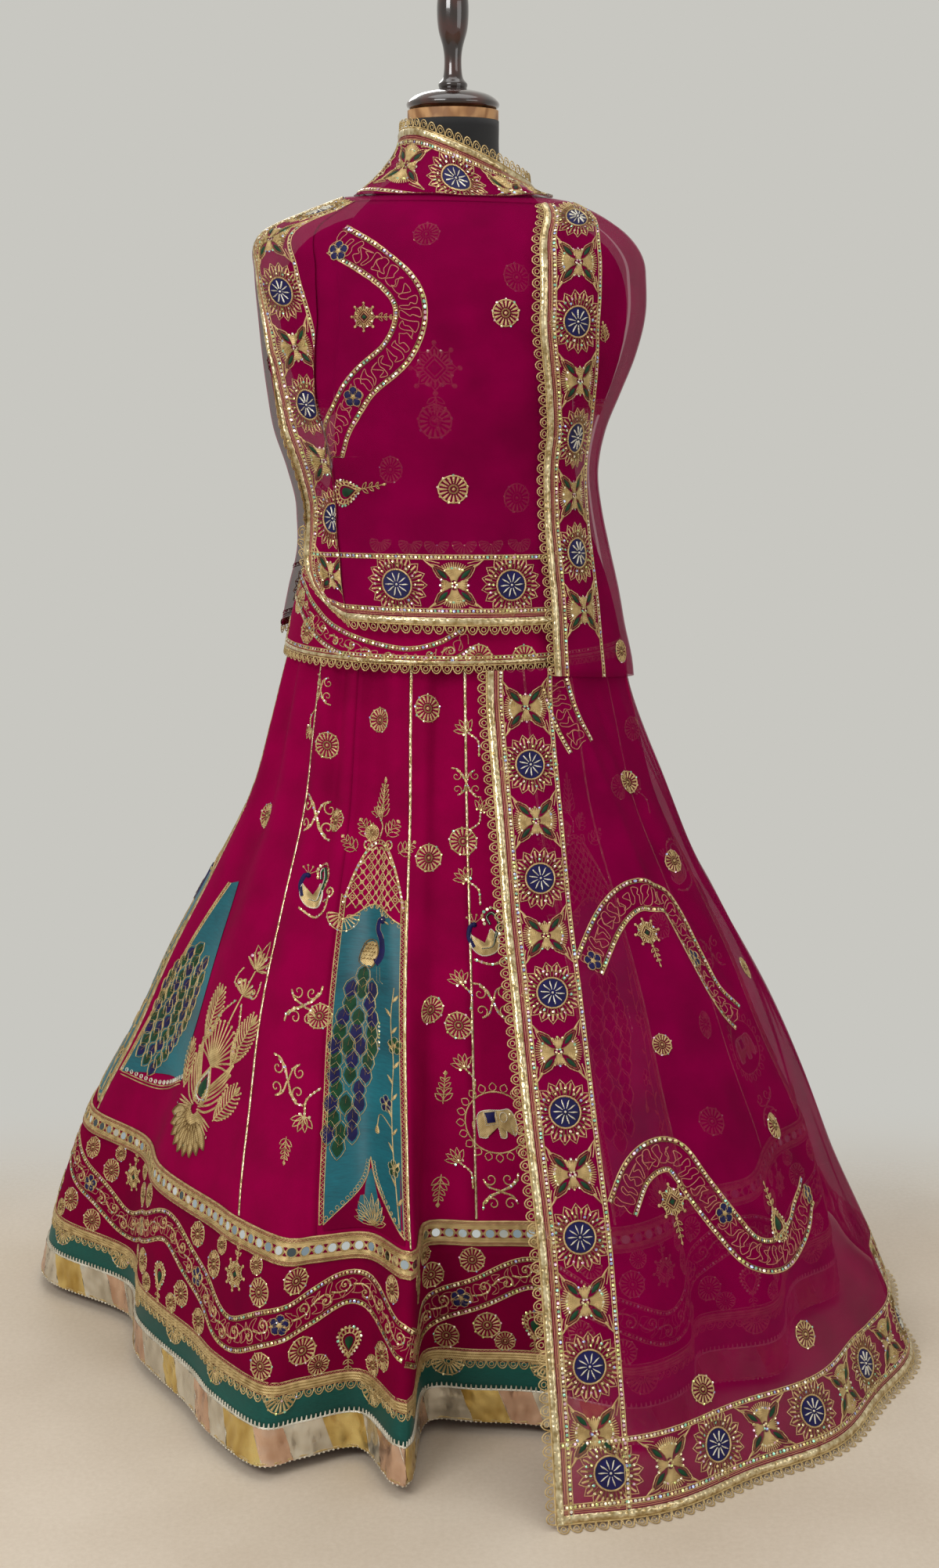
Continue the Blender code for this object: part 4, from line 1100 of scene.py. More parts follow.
class Motif:
    """A flat design: threads, satin fills and sequins, as a light relief mesh."""

    def __init__(self) -> None:
        """Start with nothing drawn."""
        self.spots: list[Array] = []
        self.faces: list[tuple[Array, Look]] = []
        self.count = 0

    def add(self, spots: Array, faces: Array, look: Look) -> None:
        """Add points (x, y, lift) and faces of one finish."""
        self.spots.append(spots)
        self.faces.append((faces + self.count, look))
        self.count += len(spots)

    def thread(
        self,
        path: Rows | Array,
        width: float | Array,
        look: Look,
        lift: float = 0.0009,
        closed: bool = False,
    ) -> None:
        """Lay a raised thread along a path.

        Args:
            path: Points in metres.
            width: Its width, or one for each point.
            look: Its finish.
            lift: Height of its crest.
            closed: Whether it returns to its start.
        """
        line = np.array(path, float)
        if closed:
            tangent = unit(np.roll(line, -1, 0) - np.roll(line, 1, 0))
        else:
            tangent = unit(np.gradient(line, axis=0))
        half = (np.broadcast_to(width, len(line)) / 2)[:, None]
        side = np.stack([-tangent[:, 1], tangent[:, 0]], 1) * half
        count = len(line)
        low = np.full((count, 1), THREAD_EDGE)
        spots = np.vstack(
            [
                np.hstack([line + side, low]),
                np.hstack([line, np.full((count, 1), lift)]),
                np.hstack([line - side, low]),
            ]
        )
        here = np.arange(count if closed else count - 1)
        after = (here + 1) % count
        quads = [
            np.stack([here + k * count, here + (k + 1) * count,
                      after + (k + 1) * count, after + k * count], 1)
            for k in (0, 1)
        ]
        self.add(spots, np.vstack(quads), look)

    def cord(self, path: Rows | Array, width: float | Array, look: Look, lift: float) -> None:
        """Lay a rounded cord along a path.

        Args:
            path: Points in metres.
            width: Its width.
            look: Its finish.
            lift: Height of its crest.
        """
        line = np.array(path, float)
        tangent = unit(np.gradient(line, axis=0))
        side = np.stack([-tangent[:, 1], tangent[:, 0]], 1) * np.reshape(width, (-1, 1)) / 2
        count = len(line)
        section = ((1.0, 0.08), (0.72, 0.72), (0.0, 1.0), (-0.72, 0.72), (-1.0, 0.08))
        spots = [np.hstack([line + side * a, np.full((count, 1), lift * h)]) for a, h in section]
        here = np.arange(count - 1)
        quads = [
            np.stack([here + k * count, here + (k + 1) * count,
                      here + 1 + (k + 1) * count, here + 1 + k * count], 1)
            for k in range(len(section) - 1)
        ]
        self.add(np.vstack(spots), np.vstack(quads), look)

    def fill(self, outline: Rows | Array, look: Look, lift: float = 0.0010) -> None:
        """Fill an outline with satin stitch, domed towards its middle."""
        edge = np.array(outline, float)
        count = len(edge)
        area = np.sum(edge[:, 0] * np.roll(edge[:, 1], -1) - np.roll(edge[:, 0], -1) * edge[:, 1])
        if area < 0:
            edge = edge[::-1]
        middle = edge.mean(0)
        inner = middle + (edge - middle) * 0.6
        spots = np.vstack(
            [
                np.hstack([edge, np.full((count, 1), 0.0002)]),
                np.hstack([inner, np.full((count, 1), lift * 0.85)]),
                [[middle[0], middle[1], lift]],
            ]
        )
        here = np.arange(count)
        after = (here + 1) % count
        self.add(spots, np.stack([here, after, after + count, here + count], 1), look)
        hub = np.full(count, 2 * count)
        rays = np.stack([here + count, after + count, hub], 1) + self.count - len(spots)
        self.faces.append((rays, look))

    def sheet(self, spots: Array, look: Look) -> None:
        """Add a grid of points (x, y, lift), its rows from the bottom up, as one smooth patch."""
        rows, columns = spots.shape[:2]
        self.add(spots.reshape(-1, 3), grid_quads(rows, columns, False, flip=True), look)

    def disc(self, outline: Rows | Array, look: Look, lift: float, tilt: float = 0.0) -> None:
        """Add a flat plate, tipped a little to one side."""
        edge = np.array(outline, float)
        count = len(edge)
        middle = edge.mean(0)
        lean = (edge - middle) @ np.array([math.cos(tilt), math.sin(tilt)]) * 0.06
        spots = np.vstack([np.column_stack([edge, lift + lean]), [[*middle, lift]]])
        here = np.arange(count)
        self.add(spots, np.stack([here, (here + 1) % count, np.full(count, count)], 1), look)

    def leaf(
        self, start: Sequence[float], end: Sequence[float], width: float, look: Look,
        lift: float = 0.0011,
    ) -> None:
        """Stitch a pointed leaf.

        Args:
            start: Its foot.
            end: Its tip.
            width: Its greatest width.
            look: Its finish.
            lift: Height of its rib.
        """
        a, b = np.array(start, float), np.array(end, float)
        line = a + np.array([0.0, 0.25, 0.5, 0.78, 1.0])[:, None] * (b - a)
        self.thread(line, width * np.array([0.12, 0.8, 1.0, 0.62, 0.05]), look, lift)

    def sequin(self, spot: Sequence[float], radius: float, look: Look, tilt: float = 0.0) -> None:
        """Sew one sequin, tilted a little so that it catches the light."""
        turn = np.arange(6) * math.pi / 3 + tilt
        ring = np.array(spot) + radius * np.stack([np.cos(turn), np.sin(turn)], 1)
        lean = 0.0008 + 0.0005 * np.cos(turn + tilt * 7)
        middle = [[spot[0], spot[1], 0.0012]]
        spots = np.vstack([np.hstack([ring, lean[:, None]]), middle])
        here = np.arange(6)
        self.add(spots, np.stack([here, (here + 1) % 6, np.full(6, 6)], 1), look)

    def sequins(
        self, path: Rows | Array, pitch: float, radius: float, closed: bool = False
    ) -> None:
        """Sew a row of sequins along a path.

        Args:
            path: Points in metres.
            pitch: Distance between sequins.
            radius: Radius of each.
            closed: Whether the path returns to its start.
        """
        line = np.array(path, float)
        if closed:
            line = np.vstack([line, line[:1]])
        lengths = lengths_along(line)
        count = max(int(lengths[-1] / pitch), 1)
        goals = (np.arange(count) + (0.0 if closed else 0.5)) * lengths[-1] / count
        for k, spot in enumerate(resample(lengths, goals, line)):
            self.sequin(spot, radius, Look.SEQUIN, tilt=k * 2.4)

    def ring(
        self, centre: Sequence[float], radius: float, width: float, look: Look,
        lift: float = 0.0010, sides: int = 20,
    ) -> None:
        """Lay a thread in a ring."""
        self.thread(circle(centre, radius, sides), width, look, lift, closed=True)

    def put(self, other: "Motif", at: Sequence[float] = (0.0, 0.0), turn: float = 0.0,
            scale: float = 1.0, flip: bool = False) -> None:
        """Lay a copy of another design into this one.

        Args:
            other: The design.
            at: Where its middle goes.
            turn: Degrees anticlockwise.
            scale: Its size against the drawn one.
            flip: Whether it is mirrored left to right.
        """
        if not other.spots:
            return
        spots = np.vstack(other.spots)
        c, s = math.cos(math.radians(turn)), math.sin(math.radians(turn))
        x = spots[:, 0] * scale * (-1 if flip else 1)
        y = spots[:, 1] * scale
        moved = np.stack([at[0] + x * c - y * s, at[1] + x * s + y * c, spots[:, 2]], 1)
        self.spots.append(moved)
        for faces, look in other.faces:
            self.faces.append(((faces[:, ::-1] if flip else faces) + self.count, look))
        self.count += len(moved)


def circle(centre: Sequence[float], radius: float, sides: int = 20, squeeze: float = 1.0) -> Array:
    """Return points round a circle or, squeezed in height, an oval."""
    turn = np.arange(sides) * 2 * math.pi / sides
    ring = np.stack([np.cos(turn), np.sin(turn) * squeeze], 1)
    return np.array(centre, float) + radius * ring


def spiral(
    centre: Sequence[float], radius: float, turns: float, start: float, flip: bool = False
) -> Array:
    """Return a spiral that closes on its centre.

    Args:
        centre: Its middle.
        radius: Radius where it starts.
        turns: Number of turns.
        start: Degrees at which it starts.
        flip: Whether it runs clockwise.

    Returns:
        Points from the outside in.
    """
    t = np.linspace(0, 1, int(14 * turns) + 2)
    turn = math.radians(start) + (-1 if flip else 1) * t * turns * 2 * math.pi
    reach = radius * (1 - 0.86 * t)
    return np.array(centre, float) + np.stack([np.cos(turn), np.sin(turn)], 1) * reach[:, None]


class Stitching:
    """Stitches laid on the cloth, gathered into one mesh."""

    def __init__(self, name: str) -> None:
        """Start a piece of that name."""
        self.name = name
        self.points: list[Array] = []
        self.faces: list[Array] = []
        self.picked: list[Array] = []
        self.looks: list[Look] = []
        self.count = 0

    def lay(self, motif: Motif, ground: Ground, at: Sequence[float] = (0.0, 0.0), turn: float = 0.0,
            scale: float = 1.0, flip: bool = False, lift: float = 0.0) -> None:
        """Lay a flat design on a ground.

        Args:
            motif: The design.
            ground: The cloth that carries it.
            at: Where its middle goes, in the ground's metres.
            turn: Degrees anticlockwise.
            scale: Its size against the drawn one.
            flip: Whether it is mirrored.
            lift: Extra height over the cloth.
        """
        if not motif.spots:
            return
        flat = Motif()
        flat.put(motif, at, turn, scale, flip)
        spots = np.vstack(flat.spots)
        placed = ground.place(spots[:, 0], spots[:, 1], spots[:, 2] + lift)
        # What would hang below the floor lies on it and reaches outward instead.
        short = np.maximum(FLOOR_CLEAR - placed[:, 2], 0.0)
        placed[:, :2] += unit(placed[:, :2]) * short[:, None]
        placed[:, 2] += short
        self.points.append(placed)
        for faces, look in flat.faces:
            if look not in self.looks:
                self.looks.append(look)
            ends = faces[:, ::-1] if ground.mirrored else faces
            if ends.shape[1] == 3:
                ends = np.hstack([ends, ends[:, :1]])
            self.faces.append(ends + self.count)
            self.picked.append(np.full(len(faces), self.looks.index(look)))
        self.count += len(spots)

    def build(self, replaces: Sequence[str] = (), slot: str = "") -> bpy.types.Object:
        """Make the mesh and return the object."""
        faces = [tuple(f[:3]) if f[0] == f[3] else tuple(f) for f in np.vstack(self.faces)]
        return add_piece(
            self.name, np.vstack(self.points), faces, self.looks, np.concatenate(self.picked),
            replaces,
        )


# ---- the dress form


@dataclass
class DressForm:
    """The limbless form: torso, block, cap, finial, pole and base."""

    segments: int = 72
    rise: int = 90

    def build(self) -> None:
        """Make the torso and dress the turned parts."""
        self.torso()
        neck_top = TORSO_SECTIONS[-1][0] + 0.0003
        block = ((BLOCK_RADIUS, 0.0), (BLOCK_RADIUS, 0.001), (BLOCK_RADIUS, BLOCK_TOP - neck_top))
        turned = (
            ("form_neck_block", block, neck_top, Look.LIGHT_WOOD, "form_light_wood", False),
            ("form_cap", CAP_PROFILE, CAP_FLOOR, Look.DARK_WOOD, "form_dark_wood", True),
            ("form_finial", FINIAL_PROFILE, FINIAL_FLOOR, Look.DARK_WOOD, "form_dark_wood", True),
            ("stand_pole", ((POLE_RADIUS, 0.0), (POLE_RADIUS, POLE_TOP - POLE_FLOOR)), POLE_FLOOR,
             Look.STEEL, "stand_metal", False),
            ("stand_base", BASE_PROFILE, 0.0, Look.STEEL, "stand_metal", False),
        )
        for name, profile, floor, look, slot, rounded in turned:
            self.turn(name, profile, floor, look, slot, rounded)

    def torso(self) -> None:
        """Make the jersey-covered torso on smooth sections."""
        heights = np.linspace(TORSO_SECTIONS[-1][0], TORSO_SECTIONS[0][0], self.rise)
        angles = np.arange(self.segments) * 360 / self.segments
        sections = Table(TORSO_SECTIONS).at(heights)[:, None, :]
        depth = np.where(np.cos(np.radians(angles)) > 0, sections[..., 1], sections[..., 2])
        points = polar(angles, sections[..., 0], depth, heights[:, None])
        quads = grid_quads(self.rise, self.segments, True).tolist()
        last = (self.rise - 1) * self.segments
        quads += [list(range(self.segments)), [last + k for k in reversed(range(self.segments))]]
        add_piece(
            "torso_jersey", points.reshape(-1, 3), quads, [Look.JERSEY],
            replaces=["form_torso"],
        )

    def turn(
        self, name: str, profile: Rows, floor: float, look: Look, slot: str, rounded: bool
    ) -> None:
        """Turn a profile into a closed solid that stands for its node.

        Args:
            name: The node's name.
            profile: Radii and heights, bottom first.
            floor: Height of its foot.
            look: Its finish.
            slot: Its material slot; not used.
            rounded: Whether its profile is a smooth curve.
        """
        line = smooth_path(profile, 6) if rounded else np.array(profile, float)
        line = line[::-1]
        angles = np.arange(self.segments) * 360 / self.segments
        radius, height = line[:, :1], line[:, 1:] + floor
        points = polar(angles, radius, radius, height).reshape(-1, 3)
        quads = grid_quads(len(line), self.segments, True).tolist()
        last = (len(line) - 1) * self.segments
        quads += [list(range(self.segments)), [last + k for k in reversed(range(self.segments))]]
        item = add_piece(f"{name}_turned", points, quads, [look], replaces=[name])
        item.data.set_sharp_from_angle(angle=math.radians(40))


# ---- the skirt


@dataclass
class Skirt:
    """The eighteen-panel skirt, worked out at a fine step."""

    panel_columns: int = 14
    wide_columns: int = 40
    wide_panel: int = 15
    rows: int = 84
    columns: Array = field(init=False)
    starts: list[int] = field(init=False)
    surface: Surface = field(init=False)
    heights: Array = field(init=False)

    def __post_init__(self) -> None:
        """Find the columns and the surface."""
        self.columns, self.starts = self.find_columns()
        self.heights = self.find_heights()
        profile = Table(SKIRT_PROFILE).at(self.heights)
        half, share = profile[:, :1], profile[:, 1:]
        z = self.heights[:, None]
        fall = np.clip((FOLDS_START - z) / (FOLDS_START - HEM_Z), 0, 1) ** FOLD_GROWTH
        hem_angle, hem_radius, waist = self.columns.T
        radius = half * (1 - fall * (1 - hem_radius / SKIRT_LOBE_HEM))
        down = np.minimum((WAIST_Z - z) / (WAIST_Z - MIRROR_TOP), 1.0)
        angle = waist + (hem_angle - waist) * down
        self.surface = Surface(polar(angle, radius, radius * share, z), closed=True, face=PANEL_WALL)
        self.surface.press(self.gathers())

    def find_heights(self) -> Array:
        """Return the rows' heights, top first, with a row on each band's edge."""
        fixed = [WAIST_Z, MIRROR_TOP, BORDER_TOP, TEAL_TOP, FOIL_TOP, HEM_Z]
        counts = (self.rows - 24, 4, 12, 4, 4)
        parts = [np.linspace(a, b, n, endpoint=False) for a, b, n in zip(fixed, fixed[1:], counts)]
        return np.concatenate([*parts, [HEM_Z]])

    def find_columns(self) -> tuple[Array, list[int]]:
        """Return (hem angle, hem radius, waist angle) for each column, and each panel's first."""
        corners = np.array([polar(a, r, r, 0.0)[:2] for a, r, _ in HEM_FOLDS])
        steps = 12
        trail = smooth_path(corners, steps, closed=True)
        seams = [i * steps for i, fold in enumerate(HEM_FOLDS) if fold[2]] + [len(trail)]
        trail = np.vstack([trail, trail[:1]])
        columns, starts = [], []
        for panel in range(PANEL_COUNT):
            run = trail[seams[panel] : seams[panel + 1] + 1]
            lengths = lengths_along(run)
            parts = self.wide_columns if panel == self.wide_panel else self.panel_columns
            shares = np.arange(parts) / parts
            spots = resample(lengths, shares * lengths[-1], run)
            starts.append(len(columns))
            for share, (x, y) in zip(shares, spots):
                angle = math.degrees(math.atan2(x, -y))
                while columns and angle < columns[-1][0] - 90:
                    angle += 360
                waist = FIRST_SEAM_WAIST + 360 / PANEL_COUNT * (panel + share)
                columns.append((angle, math.hypot(x, y), waist))
        starts.append(len(columns))
        return np.array(columns), starts

    def gathers(self) -> Array:
        """Return the relief of the soft gathers below the waist."""
        place = np.zeros(len(self.columns))
        for panel, (a, b) in enumerate(zip(self.starts, self.starts[1:])):
            place[a:b] = panel + np.arange(b - a) / (b - a)
        z = self.heights[:, None]
        girth = 2 * math.pi * Table(SKIRT_PROFILE).at(self.heights)[:, :1] * 0.9
        relief = np.zeros((len(self.heights), len(place)))
        half_round = PANEL_COUNT / 2
        for top, bottom, z_top, z_bottom, width, depth in SKIRT_GATHERS:
            share = np.clip((z_top - z) / (z_top - z_bottom), 0, 1)
            off = place - (top + (bottom - top) * share)
            off = np.mod(off + half_round, PANEL_COUNT) - half_round
            reach = off / PANEL_COUNT * girth
            fade = np.sin(np.pi * np.clip(share, 0, 1)) ** 0.6
            spread = width * 0.85 * (1 + 1.2 * share)
            relief += depth * GATHER_DEPTH * fade * np.exp(-((reach / spread) ** 2))
        return relief

    def row_of(self, height: float) -> int:
        """Return the row nearest a height."""
        return int(np.argmin(abs(self.heights - height)))

    def build(self) -> None:
        """Make the panels, the waistband and the bands round the hem."""
        for panel in range(PANEL_COUNT):
            self.build_panel(panel)
        self.build_waistband()
        bands = (
            ("border_band", BORDER_TOP, TEAL_TOP, Look.BORDER, "border_georgette"),
            ("teal_band", TEAL_TOP, FOIL_TOP, Look.DEEP_TEAL, "teal_silk"),
        )
        for name, top, bottom, look, slot in bands:
            self.band_piece(f"{name}_cloth", top, bottom, BAND_START, BAND_FACE, [look], [name], slot)

    def build_panel(self, panel: int) -> None:
        """Make one panel as a thin shell."""
        first, last = self.starts[panel], self.starts[panel + 1]
        picked = np.arange(first, last + 1) % len(self.columns)
        part = Surface(self.surface.points[:, picked])
        part.normals = self.surface.normals[:, picked]
        points, quads = shell(part, 0.0, PANEL_WALL)
        name = f"kali_{panel + 1:02d}"
        piece = add_piece(
            f"{name}_cloth", points, quads, [Look.GEORGETTE], replaces=[name],
        )

    def build_waistband(self) -> None:
        """Make the waistband, which stands on the panels' top edges."""
        base = WAIST_Z + 2 * LAYER_GAP
        ring = self.surface.points[0]
        rows = [np.column_stack([ring[:, :2], np.full(len(ring), z)])
                for z in np.linspace(base + 0.026, base, 6)]
        band = Surface(np.array(rows), closed=True)
        points, quads = shell(band, 0.0, PANEL_WALL)
        piece = add_piece(
            "waistband_cloth", points, quads, [Look.GEORGETTE], replaces=["skirt_waistband"],
        )

    def band_piece(
        self, name: str, top: float, bottom: float, inner: float, outer: float,
        looks: Sequence[Look], replaces: Sequence[str], slot: str,
    ) -> None:
        """Make a band that is sewn on round the skirt.

        Args:
            name: The piece's name.
            top: Height of its upper edge.
            bottom: Height of its lower edge.
            inner: Offset of its inner face.
            outer: Offset of its outer face.
            looks: Its finishes.
            replaces: Solids that it stands for.
            slot: Its material slot; not used.
        """
        a, b = self.row_of(top), self.row_of(bottom)
        part = Surface(self.surface.points[a : b + 1], closed=True)
        part.normals = self.surface.normals[a : b + 1]
        points, quads = shell(part, inner, outer)
        piece = add_piece(name, points, quads, looks, replaces=replaces)

    def ring_ground(self, top: float, bottom: float, face: float) -> Ground:
        """Return the ground round the skirt between two heights; y is up from the bottom.

        Args:
            top: Height of its upper edge.
            bottom: Height of its lower edge.
            face: How far out the carrying face lies.

        Returns:
            The ground; x starts at the panel seam that ends the front lobe.
        """
        a, b = self.row_of(top), self.row_of(bottom)
        points = self.surface.points[a : b + 1] + self.surface.normals[a : b + 1] * face
        normals = self.surface.normals[a : b + 1]
        close = np.arange(len(self.columns) + 1) % len(self.columns)
        points, normals = points[::-1, close], normals[::-1, close]
        line = lengths_along(points[len(points) // 2])
        even = np.linspace(0, line[-1], 3 * len(line))
        up = lengths_along(points[:, 0])
        even_up = np.linspace(0, up[-1], len(up))
        grids = []
        for grid in (points, normals):
            lifted = resample(up, even_up, grid.reshape(len(up), -1)).reshape(grid.shape)
            turned = lifted.transpose(1, 0, 2).reshape(len(line), -1)
            grids.append(resample(line, even, turned).reshape(len(even), len(up), 3))
        return Ground(grids[0], grids[1], (0.0, line[-1]), (0.0, up[-1]))

    def panel_ground(self, panel: int) -> tuple[Ground, Measure, Measure]:
        """Return the ground of one panel, from its middle line.

        Args:
            panel: The panel's number, from 0.

        Returns:
            The ground, with x across from the middle and y up from the hem; a function from
            height to y; and a function from y to the panel's half width.
        """
        first, last = self.starts[panel], self.starts[panel + 1]
        margin = 6
        count = len(self.columns)
        picked = np.arange(first - margin, last + margin + 1) % count
        points = self.surface.points[::-1, picked] + self.surface.normals[::-1, picked] * PANEL_WALL
        normals = self.surface.normals[::-1, picked]
        reach = 0.26 if panel == self.wide_panel else 0.15
        rows, across = 160, 81
        want = np.linspace(-reach, reach, across)
        rows_p, rows_n, halves = [], [], []
        for line, facing in zip(points, normals):
            far = lengths_along(line)
            left, right = far[margin], far[len(far) - 1 - margin]
            far = far - (left + right) / 2
            halves.append((right - left) / 2)
            rows_p.append(resample(far, want, line))
            rows_n.append(resample(far, want, facing))
        grid_p, grid_n = np.array(rows_p), np.array(rows_n)
        up = lengths_along(grid_p[:, across // 2])
        even = np.linspace(0, up[-1], rows)
        shape = (rows, across, 3)
        flat = [resample(up, even, g.reshape(len(up), -1)).reshape(shape).transpose(1, 0, 2)
                for g in (grid_p, grid_n)]
        ground = Ground(flat[0], flat[1], (-reach, reach), (0.0, up[-1]))
        heights = self.heights[::-1]
        return (
            ground,
            lambda z: float(np.interp(z, heights, up)),
            lambda y: float(np.interp(y, up, halves)),
        )


# ---- the tunic


@dataclass
class Tunic:
    """The tunic: front, back and two short sleeves."""

    columns: int = 64
    rows: int = 70
    sleeve_points: int = 32
    sleeve_rows: int = 14
    front: Surface = field(init=False)
    back: Surface = field(init=False)

    def __post_init__(self) -> None:
        """Work out the front and back."""
        self.front = self.panel(0.0)
        self.back = self.panel(180.0)
        self.front.crease(
            (
                (0.12, 0.70, 0.20, 1.00, 0.014, 0.0022),
                (0.30, 0.78, 0.26, 1.00, 0.012, -0.0020),
                (0.44, 0.74, 0.45, 1.00, 0.015, 0.0020),
                (0.62, 0.80, 0.60, 1.00, 0.012, -0.0018),
                (0.80, 0.76, 0.78, 1.00, 0.014, 0.0020),
            )
        )
        self.back.crease(
            (
                (0.18, 0.60, 0.16, 1.00, 0.016, -0.0030),
                (0.36, 0.64, 0.40, 1.00, 0.015, 0.0032),
                (0.58, 0.62, 0.55, 1.00, 0.016, -0.0030),
                (0.76, 0.66, 0.80, 1.00, 0.014, 0.0030),
            )
        )

    @staticmethod
    def point(angle: Array, height: Array) -> Array:
        """Return points of the cloth at angles and heights."""
        sections = Table(TUNIC_SECTIONS).at(height)
        depth = np.where(np.cos(np.radians(angle)) > 0, sections[..., 1], sections[..., 2])
        return polar(angle, sections[..., 0], depth, height)

    @staticmethod
    def seam_angle(height: Array) -> Array:
        """Return the side angle where a panel ends: its seam or the armhole's edge."""
        up = np.clip((height - ARMHOLE_BOTTOM) / (ARMHOLE_TOP - ARMHOLE_BOTTOM), 0, 1)
        return 90.0 - ARMHOLE_DEPTH * np.sin(math.pi * up) ** ARMHOLE_ROUNDNESS

    def panel(self, middle: float) -> Surface:
        """Return the front (0) or back (180) as a surface."""
        heights = np.linspace(TUNIC_TOP_Z, TUNIC_HEM_Z, self.rows)[:, None]
        across = np.linspace(-1, 1, self.columns + 1)[None, :]
        reach = np.minimum(self.seam_angle(heights), 89.99)
        angle = middle + reach * across
        return Surface(self.point(angle, heights + 0 * angle), face=PANEL_WALL)

    def build(self) -> None:
        """Make the cloth pieces."""
        for name, surface in (("kurti_front", self.front), ("kurti_back", self.back)):
            points, quads = shell(surface, 0.0, PANEL_WALL)
            piece = add_piece(
                f"{name}_cloth", points, quads, [Look.GEORGETTE], replaces=[name],
            )
        for name, side in (("sleeve_left", -1), ("sleeve_right", 1)):
            sleeve = self.sleeve(side)
            points, quads = shell(sleeve, -SHEER_WALL, 0.0)
            piece = add_piece(
                f"{name}_cloth", points, quads, [Look.GEORGETTE], replaces=[name],
            )

    def sleeve(self, side: int) -> Surface:
        """Return a sleeve as rings from the armhole to the cuff.

        Args:
            side: -1 for the viewer's left, 1 for the right.

        Returns:
            The surface.
        """
        turn = np.arange(2 * self.sleeve_points) * math.pi / self.sleeve_points
        up = 0.5 - 0.5 * np.cos(turn)
        height = ARMHOLE_BOTTOM + (ARMHOLE_TOP - ARMHOLE_BOTTOM) * up
        reach = self.seam_angle(height)
        angle = np.where(np.arange(len(turn)) < self.sleeve_points, reach, 180.0 - reach)
        start = self.point(angle, height) + np.array([PANEL_WALL + ARMHOLE_CLEAR, 0.0, 0.0])
        cuff = np.stack(
            [
                CUFF_X - CUFF_HALF_WIDTH * np.cos(turn),
                -CUFF_HALF_DEPTH * np.sin(turn),
                np.full(len(turn), CUFF_Z),
            ],
            axis=1,
        )
        bend = np.stack([cuff[:, 0] + CAP_REACH * up, (start[:, 1] + cuff[:, 1]) / 2,
                         start[:, 2] - CAP_DROP * up], 1)
        t = np.linspace(0, 1, self.sleeve_rows)[:, None, None]
        rings = start * (1 - t) ** 2 + bend * 2 * t * (1 - t) + cuff * t * t
        rings = rings * np.array([side, 1.0, 1.0])
        if side < 0:
            rings = np.concatenate([rings[:, :1], rings[:, :0:-1]], axis=1)
        return Surface(rings, closed=True)


# ---- the shawl


